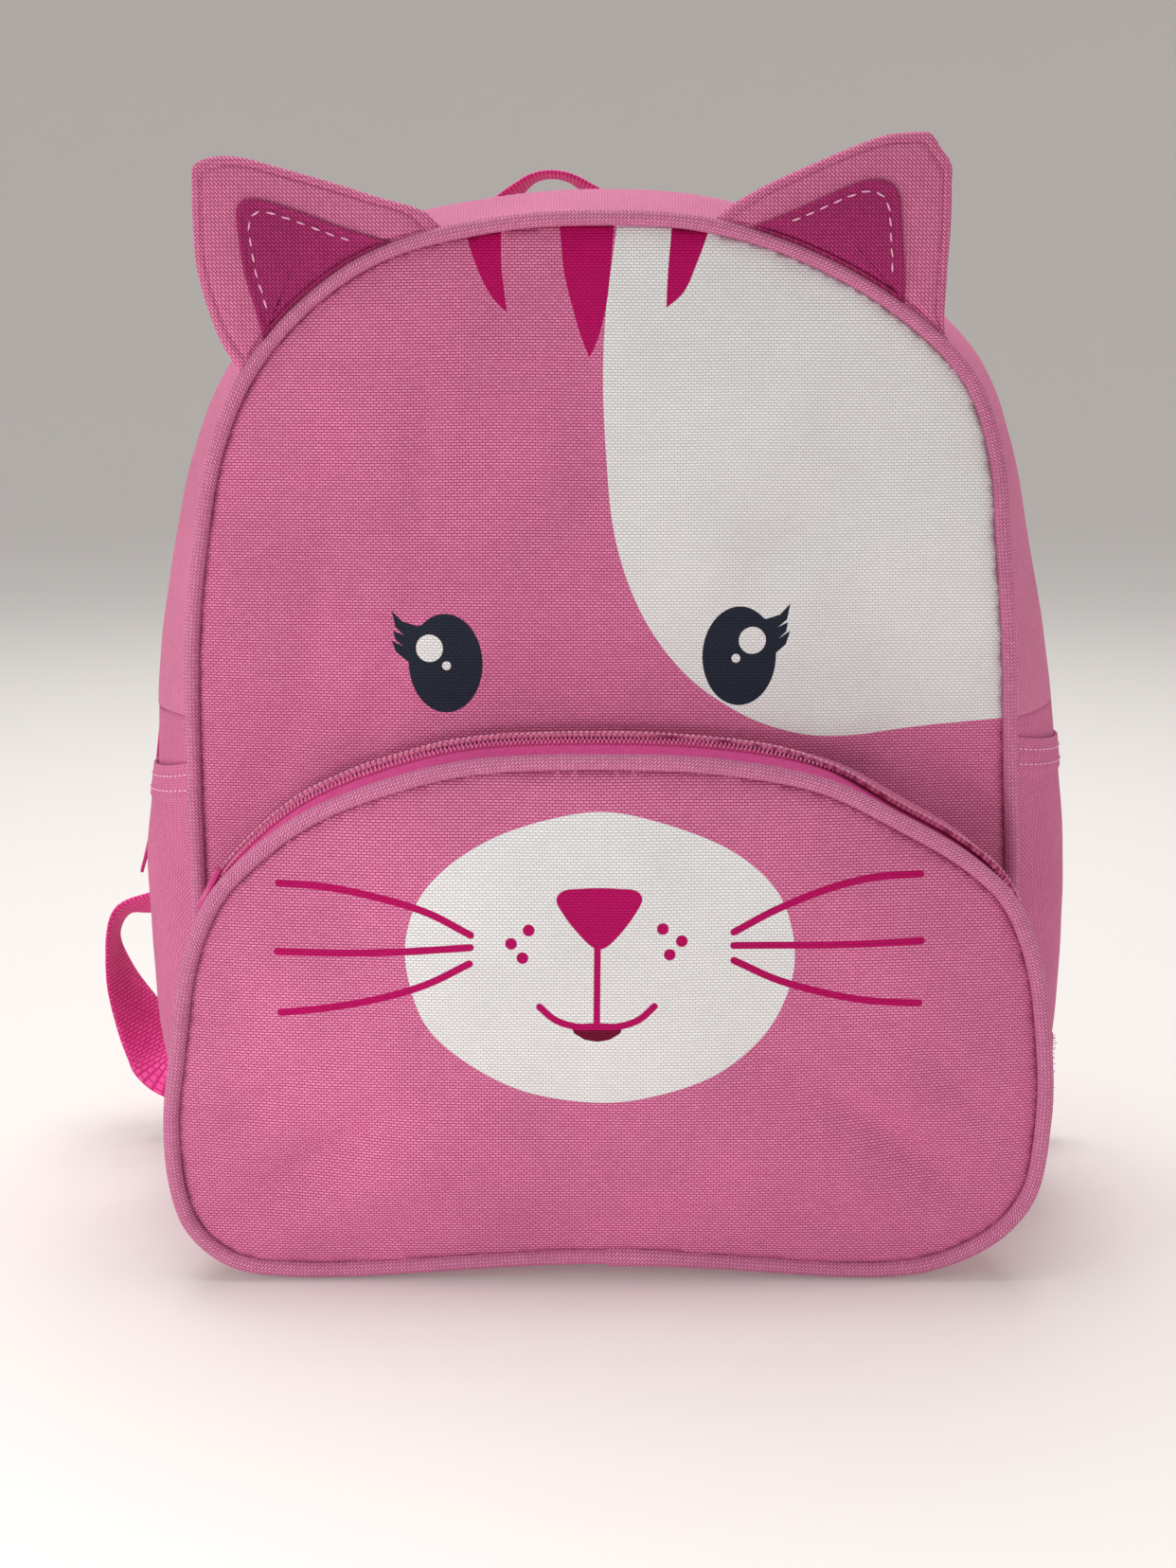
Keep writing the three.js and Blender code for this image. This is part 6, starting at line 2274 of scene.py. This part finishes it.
@dataclass
class ShoulderStrap:
    """A padded strap with its adjuster, its webbing and its corner tab."""

    form: BagForm
    wardrobe: Wardrobe
    rows: RowMaker
    side: Side
    width: float = 50
    pad: float = 7
    webbing_width: float = 25
    webbing: float = 1.5
    adjuster_height: float = 24
    adjuster_plate: float = 3.4
    adjuster_bar: float = 4
    tab_length: float = 40
    tab_root: float = 36
    tab_tip: float = 26
    tab_height: float = 25
    tab_cloth: float = 2.4
    end_cloth: float = 1.8
    swell: float = 1.9
    fill: float = 0.6
    stitch_inset: float = 5
    adjuster_edge: float = 0.9

    def middle_line(self, per_span: int) -> tuple[np.ndarray, np.ndarray]:
        """Runs the strap's middle line.

        Args:
            per_span: Samples between two rows of the strap's table.

        Returns:
            The line's points and the strap's width at each.
        """
        form, hand = self.form, self.side.value
        x, height, _, _ = STRAP_LINE[0]
        level = form.body.level(height)
        seat = float(form.back_face(np.array(x * form.s.half_width), np.array(level)))
        seat += form.s.seat_gap + self.pad / 2
        rows = [(hand * x * form.s.half_width, seat + back * form.s.depth, form.body.level(height))
                for x, height, back, _ in STRAP_LINE]
        points = smooth_curve(rows, per_span=per_span)
        marks = np.linspace(0, len(STRAP_LINE) - 1, len(points))
        widths = np.interp(marks, range(len(STRAP_LINE)), [row[3] for row in STRAP_LINE])
        return points, widths * self.width

    def build(self) -> None:
        """Makes the strap, its adjuster, its webbing and its tab."""
        hand = self.side.value
        points, widths = self.middle_line(10)
        across = towards(hand, 0, 0, len(points))
        section = rounded_section(15, 0.55)
        share = np.linspace(0, 1, len(points))
        ends = smooth_step(share, 0, 0.09) * smooth_step(1 - share, 0, 0.05)
        thick = self.end_cloth + (self.pad - 2.6) * ends
        shell = strip_shell(points, across, widths, thick, section)
        piece = make_piece(f"shoulder_strap_{self.side.word}_pad", shell, [self.wardrobe.pink])
        close_outward(piece)
        count = len(piece.data.vertices)
        pins = np.zeros(count)
        for row in range(len(points)):
            for column in range(len(section)):
                sewn = abs(section[column, 0]) > 0.93 or row < 2 or row > len(points) - 3
                pins[row * len(section) + column] = 1.0 if sewn else 0.0
        Inflation(cap=self.swell).swell(piece, pins)
        rounded_off(piece)
        hand_over(piece, "cloth_pink", f"shoulder_strap_{self.side.word}")
        _, wide, out = frames_along(points, across)
        out = out * np.where(out[:, 1:2] < 0, -1, 1)
        paths = []
        for edge in (-1, 1):
            line = points + wide * (edge * (widths / 2 - self.stitch_inset))[:, None] + out * 4
            line, turned = line[2:-1], out[2:-1]
            paths.append((laid_on(piece, line, turned), turned))
        self.rows.sew(f"shoulder_strap_{self.side.word}_stitches", "cloth_pink", paths,
                      Stitch.STRAP, self.wardrobe.thread)
        self.adjuster()
        self.lower_webbing()
        self.tab()

    def adjuster(self) -> None:
        """Softens the moulded adjuster's edges."""
        soften_node(f"strap_adjuster_{self.side.word}", "adjuster_plastic", self.adjuster_edge,
                    self.wardrobe.plastic)

    def tab_at(self, part: np.ndarray) -> np.ndarray:
        """Places on the tab's middle line.

        Args:
            part: Shares of the way from its root to its tip.

        Returns:
            Points in millimetres.
        """
        form, hand, plan = self.form, self.side.value, TABS[self.side]
        low = self.tab_height - self.tab_root / 2
        seam = form.body.points
        near = (seam[:, 0] * hand > 0) & (seam[:, 1] > low) & (seam[:, 1] < low + self.tab_root)
        edge = float((seam[near, 0] * hand).max())
        length = plan.reach * self.tab_length
        part = np.asarray(part, float)
        y = form.s.back_y + self.tab_cloth / 2 + form.s.gap + plan.turn * length * part**2
        x = hand * (edge + form.s.seat_gap + part * length)
        return np.stack([x, y, np.full(np.shape(part), self.tab_height)], axis=-1)

    def lower_webbing(self) -> None:
        """Threads the webbing through the adjuster and brings it to the tab."""
        form, hand, plan = self.form, self.side.value, TABS[self.side]
        line, _ = self.middle_line(2)
        end, down = line[-1], unit(line[-1] - line[-2])
        across = np.array([float(hand), 0, 0])
        wide = unit(across - down * float(down @ across))
        outward = unit(np.cross(wide, down) * hand)
        outward = outward * (-1 if outward[1] < 0 else 1)
        centre = end + down * (form.s.gap + self.adjuster_height / 2)
        clear = self.adjuster_plate / 2 + form.s.gap + self.webbing / 2 + 0.1
        bar, half = self.adjuster_bar, self.adjuster_height / 2
        threaded = [(-bar, clear), (bar / 2, clear), (half - bar, -clear), (half + 3, -clear)]
        places = [centre + down * a + outward * b for a, b in threaded]
        widths = [wide] * 4
        for row in WEBBING_LINES[self.side]:
            places.append(np.array([hand * row.x * form.s.half_width,
                                    form.s.back_y + row.back * form.s.depth,
                                    form.body.level(row.height)]))
            widths.append(np.array([hand * row.wx, row.wy, row.wz]))
        off = self.tab_cloth / 2 + 0.8 + self.webbing / 2
        length = plan.reach * self.tab_length
        for part in (1, 0.5, 0):
            spot = self.tab_at(plan.sewn + plan.from_along * part / length)
            places.append(spot + np.array([0, off, plan.from_up * part]))
            widths.append(np.array([hand * plan.wx, 0, plan.wz]))
        node = f"strap_webbing_{self.side.word}"
        sew_strip(f"{node}_strip", "webbing", [node], self.wardrobe.webbing,
                  smooth_curve(places, per_span=9), unit(smooth_curve(widths, per_span=9)),
                  self.webbing_width, self.webbing, rounded_section(9, 0.35))

    def tab(self) -> None:
        """Makes the folded corner tab, its box of stitches and its loose threads."""
        parts = np.linspace(0, 1, 26)
        points = self.tab_at(parts)
        across = towards(0, 0, 1, len(parts))
        widths = self.tab_root + (self.tab_tip - self.tab_root) * parts
        thick = np.full(len(parts), self.tab_cloth)
        shell = strip_shell(points, across, widths, thick, rounded_section(15, 0.45))
        shell.points[:, 1] += 0.25 * cloth_noise(shell.points, 9, 4.0)
        word = self.side.word
        piece = make_piece(f"strap_anchor_{word}_tab", shell, [self.wardrobe.bias_pink])
        close_outward(piece)
        hand_over(piece, "cloth_pink", f"strap_anchor_{word}")
        paths = []
        for face in (-1, 1):
            corners = []
            for part, side in ((0.1, -0.84), (0.9, -0.8), (0.9, 0.8), (0.1, 0.84), (0.1, -0.84)):
                half = (self.tab_root + (self.tab_tip - self.tab_root) * part) / 2
                corners.append(self.tab_at(part) + np.array([0, 0, half * side]))
            line = np.vstack([np.linspace(a, b, 14)[:-1] for a, b in zip(corners, corners[1:])])
            out = towards(0, face, 0, len(line))
            paths.append((laid_on(piece, line + out * 2, out), out))
        self.rows.sew(f"strap_anchor_{word}_stitches", "cloth_pink", paths, Stitch.CORNER_TAB,
                      self.wardrobe.thread)
        if self.side is Side.RIGHT:
            self.loose_threads()

    def loose_threads(self) -> None:
        """Frays the right tab's cut end into short threads."""
        chance = np.random.default_rng(17)
        tip = self.tab_at(1.0)
        whole = None
        for height in np.linspace(-self.tab_tip / 2 + 0.8, self.tab_tip / 2 - 0.8, 30):
            reach = chance.uniform(0.4, 1.8)
            sway = chance.uniform(-0.7, 0.7, 2)
            start = tip + np.array([-0.8, chance.uniform(-0.9, 0.9), height])
            end = start + np.array([reach + 0.8, sway[0], sway[1]])
            line = np.stack([start, (start + end) / 2 + np.array([0, sway[1] / 3, 0]), end])
            points = smooth_curve(line, per_span=3)
            across = towards(0, 0, 1, len(points))
            width = np.linspace(0.42, 0.26, len(points))
            hair = strip_shell(points, across, width, width, rounded_section(4, 1.0))
            whole = hair if whole is None else whole.joined(hair)
        piece = make_piece("strap_anchor_right_threads", whole, [self.wardrobe.thread])
        close_outward(piece)
        hand_over(piece, "cloth_pink")


def soften_node(node: str, slot: str, width: float, finish: bpy.types.Material,
                seat: Optional[tuple[np.ndarray, np.ndarray]] = None) -> None:
    """Stands a bevelled copy in for a moulded solid.

    Args:
        node: The solid's name.
        slot: The record's slot.
        width: Bevel width in millimetres.
        finish: The copy's material.
        seat: A point and the outward direction of the cloth that the copy is pressed onto.
    """
    copy = bpy.data.objects.new(f"{node}_moulding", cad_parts[node].data.copy())
    copy.matrix_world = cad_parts[node].matrix_world
    bpy.context.scene.collection.objects.link(copy)
    copy.data.materials.clear()
    copy.data.materials.append(finish)
    work = bmesh.new()
    work.from_mesh(copy.data)
    bmesh.ops.remove_doubles(work, verts=work.verts, dist=1e-6)
    bmesh.ops.dissolve_limit(work, angle_limit=math.radians(1), verts=work.verts,
                             edges=work.edges)
    work.to_mesh(copy.data)
    work.free()
    bevel = copy.modifiers.new("soft_edges", "BEVEL")
    bevel.width = width * MM
    bevel.segments = 3
    bevel.limit_method = "ANGLE"
    apply_modifiers(copy)
    copy.data.transform(copy.matrix_world)
    copy.matrix_world = Matrix.Identity(4)
    if seat is not None:
        places = np.zeros(len(copy.data.vertices) * 3)
        copy.data.vertices.foreach_get("co", places)
        places = places.reshape(-1, 3)
        stands = (places - seat[0] * MM) @ seat[1]
        places -= seat[1] * (stands * PRESSED_IN)[:, None]
        copy.data.vertices.foreach_set("co", places.ravel())
    copy.data.polygons.foreach_set("use_smooth", np.ones(len(copy.data.polygons), bool))
    hand_over(copy, slot, node)


@dataclass
class TopFittings:
    """The carry loop, the band over the strap ends, and the binding of the back seam."""

    form: BagForm
    wardrobe: Wardrobe
    rows: RowMaker
    span: float = 72
    rise: float = 20.3
    middle: float = -11
    lean: float = -5
    sewn: float = 14
    width: float = 21
    webbing: float = 1.5
    band_half: float = 62
    band_height: float = 290.0
    band_width: float = 17.0
    band_cloth: float = 1.3
    band_stitch: float = 6.2
    binding: float = 3.0

    ARCH = (
        (-0.9, 0, 1, 0), (-0.87, 0.25, 1, 0.15), (-0.7, 0.48, 0.75, 0.7), (-0.5, 0.69, 0.4, 1),
        (-0.31, 0.87, 0.15, 1), (-0.16, 0.97, 0.05, 1), (0, 1, 0, 1), (0.16, 0.97, -0.05, 1),
        (0.31, 0.87, -0.15, 1), (0.5, 0.69, -0.4, 1), (0.7, 0.48, -0.75, 0.7),
        (0.87, 0.25, -1, 0.15), (0.9, 0, -1, 0),
    )

    def build(self) -> None:
        """Makes the loop, the band and the binding."""
        sizes, form = self.form.s, self.form
        foot, crest = sizes.height - self.sewn, sizes.height + self.rise
        seat = sizes.back_y + sizes.back_pad + sizes.gap + self.webbing / 2 + 0.9
        places = [(self.middle + self.lean * level + x * self.span / 2, seat,
                   foot + (crest - foot) * level) for x, level, _, _ in self.ARCH]
        across = unit(smooth_curve([(wx, wy, 0) for _, _, wx, wy in self.ARCH], per_span=8))
        sew_strip("carry_loop_webbing", "webbing", ["carry_loop"], self.wardrobe.webbing,
                  smooth_curve(places, per_span=8), across, self.width, self.webbing,
                  rounded_section(9, 0.35))
        x = np.linspace(-self.band_half, self.band_half, 63)
        z = np.full(len(x), self.band_height)
        y = form.back_face(x, z) + 2.6 + 0.9 * np.exp(-(((np.abs(x) - 32) / 15) ** 4))
        line = np.stack([x, y, z - 0.0016 * x**2], axis=1)
        band = sew_strip("strap_end_band", "cloth_pink", [], self.wardrobe.pink, line,
                         towards(0, 0, 1, len(line)), self.band_width, self.band_cloth,
                         rounded_section(9, 0.4))
        out = towards(0, 1, 0, len(line))
        paths = []
        for offset in (-self.band_stitch, self.band_stitch):
            row = line + np.array([0, 2, offset])
            paths.append((laid_on(band, row[1:-1], out[1:-1]), out[1:-1]))
        self.rows.sew("strap_end_band_stitches", "cloth_pink", paths, Stitch.STRAP_BAND,
                      self.wardrobe.thread)
        binding = Piping("back_seam_binding", "", form.body, sizes.back_y + 0.6,
                         self.binding, sides=10)
        binding.build(self.wardrobe)


@dataclass
class ZipFittings:
    """Both sliders and the ribbon on the main one."""

    form: BagForm
    wardrobe: Wardrobe
    slider_length: float = 11
    ribbon_width: float = 9
    ribbon: float = 1.2
    ribbon_length: float = 78
    slider_edge: float = 0.4
    pocket_place: float = 0.44

    RIBBON_LINE = (
        (0.1, 2.6, 0), (0.2, 2.1, 0), (0.3, 2.4, 0), (0.38, 3.0, 0), (0.55, 4.0, 0.05),
        (0.75, 4.5, 0.15), (0.88, 7.0, 0.35), (1, 10.6, 0.5),
    )

    def on_side(self, height: float, lift: float) -> tuple[np.ndarray, np.ndarray, np.ndarray]:
        """A place over the main zip on the left side.

        Args:
            height: Its height in millimetres.
            lift: How far it stands off the surface.

        Returns:
            The point, the outward direction and the direction across the zip.
        """
        form, sizes, step = self.form, self.form.s, 1e-3
        middle = (sizes.zip_front + sizes.zip_back) / 2
        share = form.body.nearest(-sizes.half_width, height)
        along = form.side(share + step, middle) - form.side(share - step, middle)
        over = form.side(share, middle + step) - form.side(share, middle - step)
        normal = unit(np.cross(over, along))
        return form.side(share, middle) + normal * lift, normal, unit(over)

    def build(self) -> None:
        """Makes the sliders and the ribbon."""
        sizes, form = self.form.s, self.form
        parked = form.zip_left - self.slider_length / sizes.height / 3
        top = float(form.body.at(np.array(parked))[0][1])
        point, normal, _ = self.on_side(top, 0)
        soften_node("main_zip_slider", "slider", self.slider_edge, self.wardrobe.slider,
                    (point, normal))
        share, step = form.pocket_zip_left - self.slider_length / sizes.pocket_height / 6, 1e-3
        middle = form.pocket_side(share, self.pocket_place)
        along = form.pocket_side(share + step, self.pocket_place) - middle
        over = form.pocket_side(share, self.pocket_place + step) - middle
        soften_node("pocket_zip_slider", "slider", self.slider_edge, self.wardrobe.slider,
                    (middle, unit(np.cross(over, along))))
        places, widths = [], []
        for down, lift, turn in self.RIBBON_LINE:
            height = top - (down - self.RIBBON_LINE[0][0]) * self.ribbon_length
            point, normal, over = self.on_side(height, lift)
            places.append(point)
            widths.append(over + normal * turn)
        sew_strip("main_zip_pull_ribbon", "webbing", ["main_zip_pull"], self.wardrobe.ribbon,
                  smooth_curve(places, per_span=9), unit(smooth_curve(widths, per_span=9)),
                  self.ribbon_width, self.ribbon, rounded_section(7, 0.4))


@dataclass(frozen=True)
class SoftLight:
    """A square soft light: its place, aim and side in metres, and its power."""

    name: str
    spot: tuple[float, float, float]
    aim: tuple[float, float, float]
    size: float
    watts: float


class Studio:
    """Camera, floor and soft lights."""

    LIGHTS = (
        SoftLight("overhead", (-0.1, 0.3, 1.7), (0, 0, 0.2), 1.3, 26),
        SoftLight("side", (-0.58, -0.38, 0.2), (0, -0.06, 0.12), 0.26, 1.1),
        SoftLight("right", (0.6, -0.2, 0.08), (0.14, 0, 0.1), 0.3, 0.6),
        SoftLight("low", (-0.16, -0.52, 0.03), (0, -0.06, 0.0), 0.22, 0.95),
    )
    SURROUND, SURROUND_STRENGTH = "#f3f2f4", 0.36

    FRAME_HEIGHT = 1656
    FOCAL_PIXELS = 2297
    PITCH = 10.65
    SPOT = (-4.0, -685.0, 264.0)
    SENSOR = 36.0

    def camera(self) -> None:
        """Sets the camera where the photograph was taken from."""
        data = bpy.data.cameras.new("camera")
        data.sensor_width = self.SENSOR
        data.lens = self.FOCAL_PIXELS / self.FRAME_HEIGHT * self.SENSOR
        data.clip_start = 0.01
        camera = bpy.data.objects.new("camera", data)
        camera.location = [value * MM for value in self.SPOT]
        camera.rotation_euler = (math.radians(90 - self.PITCH), 0, 0)
        bpy.context.scene.collection.objects.link(camera)
        bpy.context.scene.camera = camera

    def floor(self) -> None:
        """Lays a pale floor that curves up into a pale wall all round, far away."""
        profile = smooth_curve([(0.0, 0.0), (1.2, 0.0), (2.6, 0.0), (3.4, 0.1), (3.9, 0.55),
                                (4.1, 1.3), (4.15, 2.4)], per_span=6)
        turn = np.linspace(0, 2 * math.pi, 73)
        work = bmesh.new()
        rings = [[work.verts.new((r * math.cos(t), r * math.sin(t), z)) for t in turn[:-1]]
                 for r, z in profile[1:]]
        middle = work.verts.new((0, 0, 0))
        count = len(turn) - 1
        for i in range(count):
            work.faces.new((middle, rings[0][i], rings[0][(i + 1) % count]))
            for inner, outer in zip(rings, rings[1:]):
                work.faces.new((inner[i], outer[i], outer[(i + 1) % count],
                                inner[(i + 1) % count]))
        for face in work.faces:
            face.smooth = True
        mesh = bpy.data.meshes.new("floor")
        work.to_mesh(mesh)
        work.free()
        mesh.materials.append(StudioPaper().build())
        floor = bpy.data.objects.new("floor", mesh)
        bpy.context.scene.collection.objects.link(floor)

    def light(self, plan: SoftLight) -> None:
        """Adds a square soft light that the camera doesn't see.

        Args:
            plan: The light.
        """
        data = bpy.data.lights.new(plan.name, "AREA")
        data.shape = "SQUARE"
        data.size = plan.size
        data.energy = plan.watts
        light = bpy.data.objects.new(plan.name, data)
        light.visible_camera = False
        light.location = plan.spot
        look = Vector(plan.aim) - Vector(plan.spot)
        light.rotation_euler = look.to_track_quat("-Z", "Y").to_euler()
        bpy.context.scene.collection.objects.link(light)

    def surround(self) -> None:
        """Sets the pale surround, whose light fills the shadows."""
        world = bpy.data.worlds.new("surround")
        world.use_nodes = True
        shade = world.node_tree.nodes["Background"]
        shade.inputs["Color"].default_value = linear(self.SURROUND)
        shade.inputs["Strength"].default_value = self.SURROUND_STRENGTH
        bpy.context.scene.world = world

    def build(self) -> None:
        """Sets the camera, the floor, the lights and the surround."""
        self.camera()
        self.floor()
        for plan in self.LIGHTS:
            self.light(plan)
        self.surround()
        bpy.context.scene.view_settings.view_transform = "Standard"


def main() -> None:
    """Builds the bag in order."""
    logging.basicConfig(level=logging.INFO, format="%(name)s: %(message)s")
    Studio().build()
    wardrobe = Wardrobe()
    rows = RowMaker()
    form = BagForm(SIZES)
    PrintedPanel("front_panel_cloth", "front_panel", form.body, SIZES.front_y, SIZES.front_crown,
                 SIZES.body_piping / 2 - 0.5, FRONT_FOLDS, Face.forehead()).build(wardrobe)
    PrintedPanel("pocket_panel_cloth", "pocket_panel", form.pocket, SIZES.pocket_y,
                 SIZES.pocket_crown, SIZES.pocket_piping / 2 - 0.5, POCKET_FOLDS, Face.snout(),
                 seed=8.6).build(wardrobe)
    Piping("front_piping_cord", "front_piping", form.body, SIZES.front_y,
           SIZES.body_piping).build(wardrobe)
    Piping("pocket_piping_cord", "pocket_piping", form.pocket, SIZES.pocket_y,
           SIZES.pocket_piping, lap=True).build(wardrobe)
    sides = BodySides(form, wardrobe, rows)
    sides.build()
    FrontPocket(form, wardrobe, rows).build()
    for side in Side:
        Ear(form, wardrobe, rows, side).build()
    BackPanel("back_panel_pad", "back_panel", form.body, SIZES.back_y, SIZES.back_crown, 0.4, (),
              [], step=5.0).build(wardrobe, rows)
    for side in Side:
        ShoulderStrap(form, wardrobe, rows, side).build()
    TopFittings(form, wardrobe, rows).build()
    ZipFittings(form, wardrobe).build()
    rows.sew("gusset_stitches", "cloth_pink", sides.stitches, Stitch.GUSSET, wardrobe.thread)
    rows.sew("side_pocket_stitches", "cloth_pink", sides.pale_stitches, Stitch.SIDE_POCKET,
             wardrobe.pale_thread)


if __name__ == "__main__":
    main()
